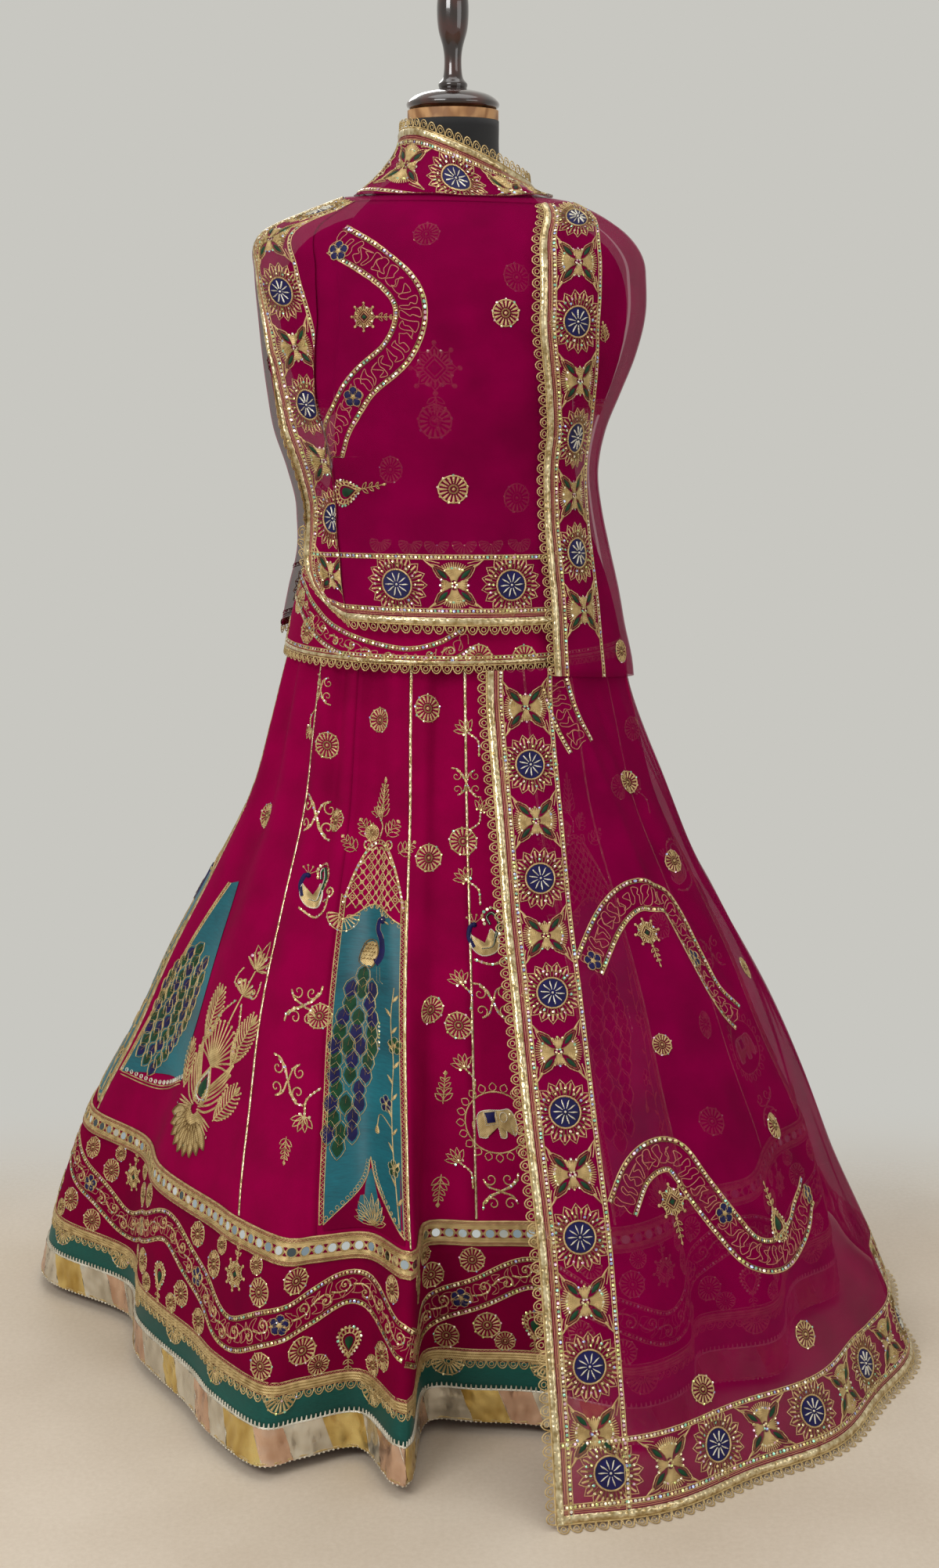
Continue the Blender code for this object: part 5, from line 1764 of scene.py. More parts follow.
@dataclass
class Shawl:
    """The sheer shawl, in the stretches that show."""

    fine: int = 84
    surfaces: dict[str, Surface] = field(init=False)

    def __post_init__(self) -> None:
        """Work out every stretch."""
        outline = Table(SHAWL_OUTLINE)

        def stretch(rows: Rows, columns: int, lift: float, fold: float) -> Surface:
            """Return one stretch on the outline that carries it."""
            share = np.linspace(0, 1, self.fine)
            ends = Table(rows).at(share)[:, None, :]
            across = np.linspace(0, 1, columns)[None, :]
            height = ends[..., 0] + (ends[..., 1] - ends[..., 0]) * across
            angle = ends[..., 2] + (ends[..., 3] - ends[..., 2]) * across
            sizes = outline.at(height)
            turn = np.radians(angle)
            half = np.where(np.sin(turn) > 0, sizes[..., 1], sizes[..., 0])
            depth = np.where(np.cos(turn) > 0, sizes[..., 2], sizes[..., 3])
            ease = np.sin(math.pi * share)[:, None] ** FOLD_EASE if fold else 0.0
            wave = fold * ease * (0.5 - 0.5 * np.cos(2 * math.pi * FALL_FOLDS * across)) + lift
            return Surface(polar(angle, half + wave, depth + wave, height), face=SHEER_WALL)

        self.surfaces = {
            "chest": stretch(CHEST_ROWS, 80, 0.0, 0.0),
            "left_fall": self.pulled_in(stretch(LEFT_FALL_ROWS, 60, 0.0, 0.0)),
            "right_fall": stretch(RIGHT_FALL_ROWS, 80, RIGHT_FALL_LIFT, FALL_FOLD),
            "back": stretch(BACK_ROWS, 90, BACK_LIFT, FALL_FOLD),
            "neck": self.neck(),
            "shoulders": self.shoulders(),
            "lower": self.lower(),
        }
        for name, creases in SHAWL_CREASES.items():
            self.surfaces[name].crease(creases)

    @staticmethod
    def pulled_in(surface: Surface) -> Surface:
        """Return the left fall with its outer edge hung in and forward of the outline."""
        rows, columns = surface.points.shape[:2]
        moves = Table(LEFT_FALL_SHIFT).at(np.linspace(0, 1, rows))[:, None, :]
        ease = (1 - np.linspace(0, 1, columns)) ** 2
        points = surface.points.copy()
        points[..., :2] += moves * ease[None, :, None]
        return Surface(points, face=SHEER_WALL)

    def shoulders(self) -> Surface:
        """Return the piece from under the neck's border to the stretches' top edges."""
        angle = SHOULDER_EDGE[0][0] + np.arange(120) * 3.0
        rings = []
        for height, out in SHOULDER_ROWS:
            near = Tunic.point(angle, np.full_like(angle, height))
            near[:, :2] += unit(near[:, :2]) * out
            rings.append(near)
        height = Table(SHOULDER_EDGE).at(angle)[:, 0] + SHOULDER_GAP
        left, right, front, rear = Table(SHAWL_OUTLINE).at(height).T
        turn = np.radians(angle)
        half = np.where(np.sin(turn) > 0, right, left) + BACK_LIFT
        depth = np.where(np.cos(turn) > 0, front, rear) + BACK_LIFT
        rings.append(polar(angle, half, depth, height))
        first, middle, edge = np.array(rings)
        share = np.linspace(0, 1, 12)[:, None, None]
        upper = first + (middle - first) * share
        lower = middle + (edge - middle) * share
        return Surface(np.concatenate([upper[:-1], lower]), closed=True, face=SHEER_WALL)

    def neck(self) -> Surface:
        """Return the border wound round the neck."""
        sizes = Table(NECK_WRAP)
        angle = np.linspace(NECK_WRAP[0][0], NECK_WRAP[-1][0], 110)
        top_radius, top_z, low_radius, low_z = sizes.at(angle).T
        down = np.linspace(0, 1, 16)[:, None]
        radius = top_radius + (low_radius - top_radius) * down**2
        height = top_z + (low_z - top_z) * down
        return Surface(polar(angle, radius, radius * NECK_WRAP_DEPTH, height), face=SHEER_WALL)

    def lower(self) -> Surface:
        """Return the stretch from the hip to the floor."""
        height = np.linspace(LOWER_TOP_Z, LOWER_BOTTOM_Z, 100)[:, None]
        across = np.linspace(0, 1, 160)[None, :]
        edges = Table(LOWER_EDGES).at(height[:, 0])[:, None, :]
        angle = edges[..., 0] + (edges[..., 1] - edges[..., 0]) * across
        spread = Table(LOWER_SPREAD).at(height[:, 0])
        floor = Table(LOWER_FLOOR).at(angle)[..., 0]
        turn = np.radians(angle)
        top = np.hypot(LOWER_TOP_SIDE * np.sin(turn), LOWER_TOP_FRONT * np.cos(turn))
        radius = top + (floor - top) * spread
        wave = 0.5 - 0.5 * np.cos(2 * math.pi * LOWER_FOLDS * across)
        radius = radius + LOWER_FOLD_DEPTH * spread * wave
        return Surface(polar(angle, radius, radius, height + 0 * angle), face=SHEER_WALL)

    def build(self) -> None:
        """Make each stretch as a thin shell."""
        for name, surface in self.surfaces.items():
            points, quads = shell(surface, 0.0, SHEER_WALL)
            piece = add_piece(
                f"dupatta_{name}_cloth", points, quads, [Look.SHEER], replaces=[f"dupatta_{name}"],
            )


# Soft ridges and troughs of each stretch: start and end across and down, width, depth
SHAWL_CREASES = {
    "chest": (
        (0.95, 0.10, 0.35, 0.20, 0.012, 0.0016),
        (0.92, 0.18, 0.30, 0.32, 0.014, -0.0014),
        (0.98, 0.26, 0.55, 0.42, 0.016, 0.0014),
        (0.62, 0.14, 0.60, 0.36, 0.008, 0.0012),
        (0.10, 0.35, 0.16, 0.85, 0.012, 0.0016),
        (0.90, 0.60, 0.70, 0.86, 0.014, -0.0014),
    ),
    "left_fall": (
        (0.96, 0.02, 0.93, 0.98, 0.008, 0.0040),
        (0.60, 0.10, 0.55, 0.60, 0.010, -0.0014),
        (0.35, 0.45, 0.50, 0.95, 0.012, 0.0018),
    ),
    "right_fall": (
        (0.50, 0.05, 0.42, 0.55, 0.010, 0.0024),
        (0.60, 0.02, 0.70, 0.40, 0.012, -0.0022),
        (0.78, 0.04, 0.82, 0.60, 0.013, 0.0026),
        (0.46, 0.50, 0.55, 1.00, 0.010, 0.0024),
        (0.90, 0.30, 0.75, 0.92, 0.012, -0.0024),
    ),
    "back": (
        (0.10, 0.05, 0.22, 0.92, 0.014, 0.0030),
        (0.30, 0.02, 0.36, 0.98, 0.013, -0.0028),
        (0.52, 0.06, 0.50, 1.00, 0.016, 0.0034),
        (0.72, 0.02, 0.64, 0.96, 0.013, -0.0028),
        (0.90, 0.10, 0.82, 0.94, 0.014, 0.0030),
    ),
    "neck": (
        (0.30, 0.55, 0.62, 0.40, 0.008, 0.0010),
        (0.60, 0.70, 0.90, 0.62, 0.008, -0.0010),
    ),
    "lower": (
        (0.30, 0.02, 0.42, 0.95, 0.016, 0.0078),
        (0.40, 0.04, 0.52, 0.80, 0.014, -0.0070),
        (0.52, 0.00, 0.66, 0.90, 0.018, 0.0084),
        (0.66, 0.03, 0.76, 0.85, 0.015, -0.0078),
        (0.80, 0.02, 0.88, 0.95, 0.018, 0.0084),
    ),
}


# ---- the catalogue of designs


def spoke(radius: float, degrees: float) -> tuple[float, float]:
    """Return the point at a radius and an angle."""
    turn = math.radians(degrees)
    return (radius * math.cos(turn), radius * math.sin(turn))


# Steps of a straight run and of a strip's line, pitch of the worms, and a scroll's turns and width
STRAIGHT_STEP = 0.008
LANE_STEP = 0.006
MEANDER_PITCH = 0.0064
CURL_TURNS = 1.3
CURL_WIDTH = 0.0022


def straight(x0: float, y0: float, x1: float, y1: float) -> Array:
    """Return points on a straight run, a step apart."""
    count = max(int(math.hypot(x1 - x0, y1 - y0) / STRAIGHT_STEP), 1) + 1
    return np.stack([np.linspace(x0, x1, count), np.linspace(y0, y1, count)], 1)


def almond(start: Sequence[float], end: Sequence[float], width: float) -> Array:
    """Return the outline of a pointed leaf between two points."""
    a, b = np.array(start, float), np.array(end, float)
    along = b - a
    side = unit(np.array([-along[1], along[0]])) * width / 2
    shares = ((0.0, 0.0), (0.25, 0.8), (0.55, 1.0), (0.82, 0.55), (1.0, 0.0))
    left = [a + along * t + side * w for t, w in shares]
    right = [a + along * t - side * w for t, w in shares[3:0:-1]]
    return np.array(left + right)


def teardrop(width: float, height: float, sides: int = 18) -> Array:
    """Return a drop's outline, its point upwards."""
    t = np.arange(sides) * 2 * math.pi / sides
    return np.stack([width / 2 * np.sin(t) * np.sin(t / 2) ** 1.5 * 1.3, height / 2 * np.cos(t)], 1)


def fan(made: Motif, centre: Sequence[float], reach: tuple[float, float], span: tuple[float, float],
        ribs: int, width: float, look: Look) -> None:
    """Stitch a fan of ribs.

    Args:
        made: The design that takes it.
        centre: Where the ribs meet.
        reach: Radius where they start and end.
        span: Angles of the first and last.
        ribs: Their number.
        width: Width of each.
        look: Its finish.
    """
    spot = np.array(centre, float)
    for k in range(ribs):
        angle = span[0] + (span[1] - span[0]) * (k / max(ribs - 1, 1))
        middle = (reach[0] + reach[1]) * 0.55
        path = [spot + spoke(r, angle) for r in (reach[0], middle, reach[1])]
        made.thread(path, width * np.array([0.35, 1.0, 0.5]), look, 0.0013)


def medallion(radius: float = 0.037) -> Motif:
    """Draw the borders' round flower: pointed petals, rays and a blue eye with spokes."""
    made = Motif()
    petals = 17
    for k in range(petals):
        a = 360 * k / petals
        half = 180 / petals
        outline = ((0.68, -half), (0.84, -0.85 * half), (1.0, 0), (0.84, 0.85 * half), (0.68, half))
        made.thread([spoke(radius * r, a + d) for r, d in outline], 0.0012, Look.ZARI, 0.0011)
        made.thread([spoke(radius * 0.68, a), spoke(radius * 0.9, a)], 0.0022, Look.ZARI, 0.0010)
        made.sequin(spoke(radius * 0.74, a + half), 0.0015, Look.SEQUIN, a)
    fan(made, (0, 0), (radius * 0.50, radius * 0.74), (0, 350), 36, 0.0018, Look.DARK_ZARI)
    for k in range(13):
        made.sequin(spoke(radius * 0.61, 360 * k / 13), 0.0016, Look.SEQUIN, k * 1.7)
    made.ring((0, 0), radius * 0.49, 0.0020, Look.ZARI, 0.0016)
    made.fill(circle((0, 0), radius * 0.46, 16), Look.NAVY, 0.0011)
    for k in range(10):
        path = [spoke(radius * r, 36 * k) for r in (0.10, 0.27, 0.38)]
        made.thread(path, np.array([0.0008, 0.0026, 0.0006]), Look.PICOT, 0.0024)
    made.fill(circle((0, 0), 0.0018, 6), Look.PICOT, 0.0028)
    return made


def butterfly(half_length: float = 0.036, half_width: float = 0.031) -> Motif:
    """Draw the borders' four-armed figure, with green almonds, horns and fans of ribs."""
    made = Motif()
    for across in (-1, 1):
        for along in (-1, 1):
            tip = (along * half_length * 0.72, across * half_width * 0.80)
            for share, width, look in ((1.0, 0.0125, Look.ZARI), (0.86, 0.0085, Look.DARK_ZARI)):
                end = (tip[0] * share, tip[1] * share)
                start = (tip[0] * 0.10, tip[1] * 0.10)
                made.thread(almond(start, end, width), 0.0012, look, 0.0014, closed=True)
            inner = almond((tip[0] * 0.30, tip[1] * 0.30), (tip[0] * 0.76, tip[1] * 0.76), 0.0052)
            made.fill(inner, Look.GREEN, 0.0013)
            horn = ((tip[0] * 0.9, tip[1] * 0.86), (tip[0] * 1.14, tip[1] * 1.02),
                    (tip[0] * 1.38, tip[1] * 1.22))
            made.thread(horn, np.array([0.0034, 0.0020, 0.0005]), Look.ZARI, 0.0013)
            brow = ((tip[0] * 0.62, tip[1] * 1.04), (tip[0] * 1.0, tip[1] * 1.14),
                    (tip[0] * 1.36, tip[1] * 1.20))
            made.thread(brow, 0.0011, Look.ZARI, 0.0010)
        side = 90 * across
        fan(made, (0, across * 0.002), (0.004, half_width * 0.82), (side - 33, side + 33), 11,
            0.0021, Look.ZARI)
        for k in range(6):
            spot = spoke(half_width * 0.66, side - 30 + 12 * k)
            made.sequin(spot, 0.0016, Look.SEQUIN, k * 1.3)
    for along in (0, 180):
        fan(made, (0, 0), (0.003, half_length * 0.44), (along - 26, along + 26), 7, 0.0022, Look.ZARI)
        for k in range(3):
            made.sequin(spoke(half_length * 0.46, along - 22 + 22 * k), 0.0015, Look.SEQUIN, k)
    for k in range(5):
        made.sequin(spoke(0.003, 72 * k), 0.0016, Look.SEQUIN, k * 0.9)
    return made


def rosette(radius: float = 0.0165, glitter: int = 9) -> Motif:
    """Draw the small round sprig: ribs, a rim of beads and a dark eye."""
    made = Motif()
    for k in range(16):
        path = [spoke(radius * r, 22.5 * k) for r in (0.40, 0.66, 0.86)]
        made.thread(path, np.array([0.0008, 0.0024, 0.0028]), Look.ZARI, 0.0013)
    made.ring((0, 0), radius * 0.92, 0.0016, Look.ZARI, 0.0012, 24)
    made.ring((0, 0), radius * 0.28, 0.0022, Look.DARK_ZARI, 0.0014, 10)
    made.fill(circle((0, 0), radius * 0.13, 6), Look.ZARI, 0.0018)
    for k in range(glitter):
        made.sequin(spoke(radius * 0.95, 360 * k / glitter + 11), 0.0014, Look.SEQUIN, k * 2.1)
    return made


def half_rosette(radius: float = 0.020) -> Motif:
    """Draw the half-round sprig that hangs from the hem's lace."""
    made = Motif()
    for k in range(11):
        path = [spoke(radius * r, 180 + 18 * k) for r in (0.30, 0.66, 0.88)]
        made.thread(path, np.array([0.0010, 0.0026, 0.0030]), Look.ZARI, 0.0013)
    for share in (0.26, 0.95):
        arc = [spoke(radius * share, 180 + 15 * k) for k in range(13)]
        made.thread(arc, 0.0015, Look.ZARI, 0.0012)
        made.sequins(arc, 0.010, 0.0014)
    return made


def sprig(length: float, leaves: int, width: float) -> Motif:
    """Draw an upright chain of leaves that ends in a point."""
    made = Motif()
    made.thread(((0, 0), (0, length * 0.92)), 0.0010, Look.ZARI)
    for k in range(leaves):
        y = length * (0.08 + 0.78 * k / leaves)
        size = width * (1 - 0.6 * k / leaves)
        for side in (-1, 1):
            made.thread(almond((0, y), (side * size, y + size * 0.9), size * 0.55), 0.0010,
                        Look.ZARI, 0.0012, closed=True)
    made.leaf((0, length * 0.84), (0, length), width * 0.5, Look.ZARI)
    return made


def pendant(size: float = 0.0175) -> Motif:
    """Draw the eight-pointed lozenge with its drop chain; the chain hangs down."""
    made = Motif()
    star = [spoke(size * (1.0 if k % 2 == 0 else 0.72), 22.5 * k) for k in range(16)]
    made.thread(star, 0.0014, Look.ZARI, 0.0013, closed=True)
    for share in (0.62, 0.40):
        made.thread([spoke(size * share, 90 * k) for k in range(4)], 0.0018, Look.ZARI, 0.0016,
                    closed=True)
    fan(made, (0, 0), (size * 0.46, size * 0.86), (0, 345), 24, 0.0022, Look.ZARI)
    made.fill([spoke(size * 0.24, 90 * k) for k in range(4)], Look.GREEN, 0.0018)
    for k in range(8):
        made.fill(circle(spoke(size * 1.12, 45 * k), 0.0022, 6), Look.ZARI, 0.0012)
        made.sequin(spoke(size * 0.80, 45 * k + 22), 0.0015, Look.SEQUIN, k)
    made.put(sprig(size * 1.7, 3, size * 0.34), (0, -size * 1.15), turn=180)
    return made


def paisley(width: float = 0.030, height: float = 0.040) -> Motif:
    """Draw the nested drop with a green heart; its tail of leaves points up."""
    made = Motif()
    made.thread(teardrop(width, height), 0.0016, Look.ZARI, 0.0013, closed=True)
    made.thread(teardrop(width * 0.66, height * 0.68), 0.0016, Look.ZARI, 0.0015, closed=True)
    made.fill(teardrop(width * 0.42, height * 0.46, 12), Look.GREEN, 0.0014)
    outer, inner = teardrop(width * 0.96, height * 0.96), teardrop(width * 0.70, height * 0.72)
    for a, b in zip(outer[1:], inner[1:]):
        made.thread((a, b), 0.0022, Look.ZARI, 0.0012)
    made.sequins(teardrop(width * 1.16, height * 1.10)[2:-1], 0.0048, 0.0016)
    made.put(sprig(height * 0.8, 3, width * 0.22), (0, height * 0.47))
    return made


def flower(radius: float, look: Look) -> Motif:
    """Draw a five-petalled flower in floss with a gold outline."""
    made = Motif()
    for k in range(5):
        petal = circle(spoke(radius * 0.55, 72 * k + 18), radius * 0.42, 8)
        made.fill(petal, look, 0.0012)
        made.thread(petal, 0.0009, Look.ZARI, 0.0013, closed=True)
    made.fill(circle((0, 0), radius * 0.28, 7), Look.ZARI, 0.0018)
    made.sequin((0, 0), radius * 0.20, Look.SEQUIN)
    return made


def curl(radius: float) -> Motif:
    """Draw one scroll: a stem that runs in from the left and winds up."""
    made = Motif()
    coil = spiral((0, 0), radius, CURL_TURNS, -90)
    stem = [(-radius * 2.2, -radius * 0.55), (-radius, -radius * 0.98)]
    path = np.vstack([stem, coil])
    made.thread(path, CURL_WIDTH * np.linspace(1.0, 0.45, len(path)), Look.ZARI, 0.0013)
    made.fill(circle((0, 0), radius * 0.22, 7), Look.ZARI, 0.0015)
    made.sequins(path[:10], 0.0065, 0.0013)
    return made


def scroll_pair(size: float) -> Motif:
    """Draw two scrolls back to back on crossing stems, with curved tails."""
    made = Motif()
    for side in (-1, 1):
        for end in (-1, 1):
            coil = spiral((side * size * 0.42, end * size * 0.30), size * 0.24, 1.2,
                          90 if end > 0 else -90, flip=(side * end < 0))
            stem = smooth_path(((side * size * 0.02, end * size * 0.02),
                                (side * size * 0.16, end * size * 0.40), coil[0]), 4)
            path = np.vstack([stem[:-1], coil])
            made.thread(path, 0.0022 * np.linspace(1.0, 0.5, len(path)), Look.ZARI, 0.0013)
            made.sequins(stem, 0.006, 0.0014)
        tail = smooth_path(((0, 0), (side * size * 0.30, -side * size * 0.55),
                            (side * size * 0.62, -side * size * 0.66)), 5)
        made.thread(tail, 0.0020, Look.ZARI, 0.0012)
        made.sequins(tail, 0.0055, 0.0014)
    return made


def meander(length: float, half: float) -> Array:
    """Return a worm-like filling line, up and down along a strip.

    Args:
        length: Length of the strip.
        half: Half its width.

    Returns:
        The line's points.
    """
    pitch = MEANDER_PITCH
    columns = max(int(length / pitch), 2)
    rows = max(int(2 * half / (pitch * 0.95)), 2)
    spots = []
    for i in range(columns):
        order = range(rows) if i % 2 == 0 else reversed(range(rows))
        for j in order:
            wander = math.sin(i * 12.99 + j * 78.23) * 43.7
            wander -= math.floor(wander)
            sway = math.sin(i * 39.35 + j * 11.13) * 17.3
            sway -= math.floor(sway)
            x = (i + 0.5 + (wander - 0.5) * 1.15) * length / columns
            y = -half + (j + 0.5) * 2 * half / rows + (sway - 0.5) * pitch
            spots.append((x + (0.32 * pitch if j % 2 else -0.32 * pitch), y))
    return smooth_path(spots, 4)


class Lane:
    """A curved strip on a flat design: distances along it and off it."""

    def __init__(self, path: Rows | Array) -> None:
        """Take the middle line, which is already smooth."""
        self.line = np.array(path, float)
        self.far = lengths_along(self.line)
        tangent = unit(np.gradient(self.line, axis=0))
        self.sides = np.stack([-tangent[:, 1], tangent[:, 0]], 1)
        self.length = float(self.far[-1])

    def at(self, along: Array, off: Array | float) -> Array:
        """Return points at distances along the strip and to its left."""
        spots = resample(self.far, along, self.line)
        return spots + resample(self.far, along, self.sides) * np.reshape(off, (-1, 1))

    def turn(self, along: float) -> float:
        """Return the strip's direction there, in degrees."""
        side = resample(self.far, np.array([along]), self.sides)[0]
        return math.degrees(math.atan2(-side[0], side[1]))

    def run(self, off: float) -> Array:
        """Return the whole strip's line at a distance off its middle."""
        return self.at(np.linspace(0, self.length, max(int(self.length / LANE_STEP), 2)), off)


def vine(lane: Lane, half: float, scrolls: bool) -> Motif:
    """Fill a strip as a vine: doubled sequinned edges, and worms or scrolls inside.

    Args:
        lane: The strip.
        half: Half its width.
        scrolls: Whether scrolls lie in it.

    Returns:
        The design.
    """
    made = Motif()
    for side in (-1, 1):
        made.thread(lane.run(side * half), 0.0015, Look.ZARI, 0.0012)
        made.thread(lane.run(side * (half - 0.0048)), 0.0012, Look.DARK_ZARI, 0.0010)
        made.sequins(lane.run(side * (half - 0.0024)), 0.0046, 0.0018)
    room = half - 0.0070
    worms = meander(lane.length, room)
    made.thread(lane.at(worms[:, 0], worms[:, 1]), 0.0010, Look.COUCHING, 0.0008)
    if scrolls:
        spacing = 0.026
        for k in range(int(lane.length / spacing)):
            along, side = (k + 0.5) * spacing, 1 if k % 2 else -1
            spot = lane.at(np.array([along]), side * room * 0.30)[0]
            made.put(curl(room * 0.62), spot, lane.turn(along) + (0 if side > 0 else 180),
                     flip=side < 0)
    return made


def zigzag(length: float, middle: float, reach: float, pitch: float) -> Array:
    """Return a zigzag line of crochet along x."""
    count = max(int(length / pitch), 2)
    k = np.arange(2 * count + 1)
    return np.stack([k * length / (2 * count), middle + np.where(k % 2, reach, -reach)], 1)


def loops(length: float, pitch: float, depth: float) -> Motif:
    """Draw a row of ringed lace loops that hang from y = 0.

    Args:
        length: Length of the row.
        pitch: Distance between loops.
        depth: How far they reach.

    Returns:
        The design.
    """
    made = Motif()
    count = max(int(length / pitch), 1)
    step = length / count
    arc = np.radians(np.linspace(0, 180, 8))
    for k in range(count):
        x = (k + 0.5) * step
        loop = np.stack([x + np.cos(arc) * step * 0.47, -(0.0006 + np.sin(arc) * depth)], 1)
        made.thread(loop, 0.0015, Look.ZARI, 0.0012)
        made.ring((x, -depth * 0.50), depth * 0.27, 0.0012, Look.ZARI, 0.0011, 8)
    made.thread(straight(0, -0.0006, length, -0.0006), 0.0018, Look.ZARI, 0.0011)
    return made


@dataclass(frozen=True)
class BorderPlan:
    """What lies along one edge of the shawl.

    Distances are from the edge; a repeat is from one round flower to the next.
    """

    stretch: str
    side: str
    first: float = 0.03
    repeat: float = 0.138
    lace: bool = True
    motifs: bool = True
    inner: float = 0.080
    middle: float = 0.047


@dataclass
class ShawlStitches:
    """The shawl's borders, vines and sprigs."""

    shawl: Shawl
    medallion: Motif = field(default_factory=medallion)
    butterfly: Motif = field(default_factory=butterfly)

    def border(self, plan: BorderPlan, stitches: Stitching) -> None:
        """Stitch the border along one edge.

        Args:
            plan: What lies there.
            stitches: The piece that takes it.
        """
        ground = self.shawl.surfaces[plan.stretch].edge(plan.side, 0.094, 0.013 if plan.lace else 0.0)
        length = ground.x_range[1]
        made = Motif()
        if plan.lace:
            made.put(loops(length, 0.0136, 0.0105))
            made.cord(straight(0, 0.0045, length, 0.0045), 0.0085, Look.GOTA, 0.0022)
            for y in (0.0105, 0.0125):
                made.thread(straight(0, y, length, y), 0.0010, Look.COUCHING)
        for middle in (0.0165, plan.inner):
            for off in (-0.0024, 0.0024):
                made.thread(straight(0, middle + off, length, middle + off), 0.0013, Look.ZARI)
            made.sequins(straight(0, middle, length, middle), 0.0046, 0.0018)
        if plan.motifs:
            count = int((length - plan.first) / plan.repeat + 1.6)
            for k in range(-1, count + 1):
                for shift, motif in ((0.0, self.medallion), (0.5, self.butterfly)):
                    x = plan.first + (k + shift) * plan.repeat
                    if 0.030 < x < length - 0.030:
                        made.put(motif, (x, plan.middle), turn=k * 40 if motif is self.medallion else 0)
        stitches.lay(made, ground)

    def build(self) -> None:
        """Stitch every stretch."""
        for name, plans, replaced in SHAWL_BORDERS:
            stitches = Stitching(name)
            for plan in plans:
                self.border(plan, stitches)
            stitches.build(replaces=replaced, slot="gold_lace")
        self.body_work()

    def body_work(self) -> None:
        """Stitch the vines, sprigs and pendants inside the borders."""
        parts = {
            "chest": (CHEST_VINES, CHEST_SPRIGS),
            "lower": (LOWER_VINES, LOWER_SPRIGS),
            "right_fall": ((), RIGHT_FALL_SPRIGS),
        }
        catalogue = {
            "rosette": rosette(),
            "pendant": pendant(),
            "paisley": paisley(),
            "blue": flower(0.0125, Look.NAVY),
            "sprig": sprig(0.030, 4, 0.008),
            "butterfly": self.butterfly,
            "medallion": self.medallion,
        }
        for stretch, (vines, sprigs) in parts.items():
            surface = self.shawl.surfaces[stretch]
            stitches = Stitching(f"dupatta_{stretch}_stitches")
            for pixels in vines:
                spots = [CAMERA.spot(surface, pixel) for pixel in smooth_path(pixels, 4)]
                ground = surface.along(spots, 0.046)
                lane = Lane(straight(0, 0, ground.x_range[1], 0))
                stitches.lay(vine(lane, 0.0195, False), ground)
            for kind, pixel, turn, scale in sprigs:
                u, v = CAMERA.spot(surface, pixel)
                stitches.lay(catalogue[kind], surface.around(u, v), turn=turn, scale=scale, lift=0.0006)
            stitches.build(slot="gold_lace")
        surface = self.shawl.surfaces["back"]
        stitches = Stitching("dupatta_back_stitches")
        for spots in BACK_VINES:
            ground = surface.along(smooth_path(spots, 5), 0.046)
            stitches.lay(vine(Lane(straight(0, 0, ground.x_range[1], 0)), 0.0195, False), ground)
        for kind, (u, v), turn in BACK_SPRIGS:
            stitches.lay(catalogue[kind], surface.around(u, v), turn=turn, lift=0.0006)
        stitches.build(slot="gold_lace")


# Stitched pieces of the shawl, the borders in each, and the lace solids that they stand for
SHAWL_BORDERS = (
    ("dupatta_neck_border", (BorderPlan("neck", "top", first=0.115, inner=0.088),),
     ("dupatta_neck_lace",)),
    ("dupatta_left_fall_border",
     (BorderPlan("left_fall", "left", first=0.035), BorderPlan("left_fall", "bottom", motifs=False)),
     ("dupatta_left_fall_lace",)),
    ("dupatta_chest_border", (BorderPlan("chest", "bottom", first=0.075),), ("dupatta_chest_lace",)),
    ("dupatta_right_fall_border", (BorderPlan("right_fall", "left", first=0.035),),
     ("dupatta_right_fall_lace",)),
    ("dupatta_back_border", (BorderPlan("back", "bottom", first=0.05),), ("dupatta_back_lace",)),
    ("dupatta_lower_border",
     (BorderPlan("lower", "left", first=0.115), BorderPlan("lower", "bottom", first=0.20)),
     ("dupatta_lower_lace",)),
)
# Middle lines of the vines, and each sprig's kind, place, turn and size, in the photo's pixels
CHEST_VINES = (
    (
        (428, 306), (480, 335), (517, 372), (524, 410), (505, 452), (462, 492), (434, 540),
        (420, 590),
    ),
)
CHEST_SPRIGS = (
    ("blue", (433, 321), 0, 1.0), ("blue", (452, 507), 0, 1.0), ("pendant", (466, 405), 90, 0.8),
    ("paisley", (446, 628), -78, 1.0), ("rosette", (646, 400), 0, 1.0),
    ("rosette", (580, 625), 0, 1.05),
)
LOWER_VINES = (
    ((708, 872), (716, 900), (728, 930), (742, 955)),
    (
        (752, 1235), (775, 1180), (800, 1150), (826, 1143), (852, 1158), (882, 1215), (912, 1270),
        (942, 1300),
    ),
    (
        (795, 1545), (812, 1500), (835, 1478), (862, 1478), (890, 1515), (925, 1560), (960, 1598),
        (995, 1602), (1018, 1570), (1030, 1520),
    ),
)
LOWER_SPRIGS = (
    ("blue", (885, 1225), 0, 1.0), ("blue", (757, 1228), 0, 1.0), ("blue", (925, 1550), 0, 1.0),
    ("blue", (1030, 1525), 0, 1.0), ("pendant", (826, 1192), 0, 0.9),
    ("pendant", (858, 1535), 0, 1.0), ("paisley", (992, 1562), 0, 1.0),
    ("rosette", (845, 1335), 0, 0.8), ("rosette", (988, 1438), 0, 1.0),
    ("rosette", (1028, 1705), 0, 1.0), ("rosette", (897, 1775), 0, 1.0),
    ("rosette", (800, 1000), 0, 0.9), ("rosette", (860, 1100), 0, 0.9),
    ("rosette", (950, 1240), 0, 0.9), ("rosette", (1010, 1400), 0, 0.9),
)
RIGHT_FALL_SPRIGS = (("rosette", (792, 832), 0, 0.9), ("sprig", (772, 437), 20, 0.9))
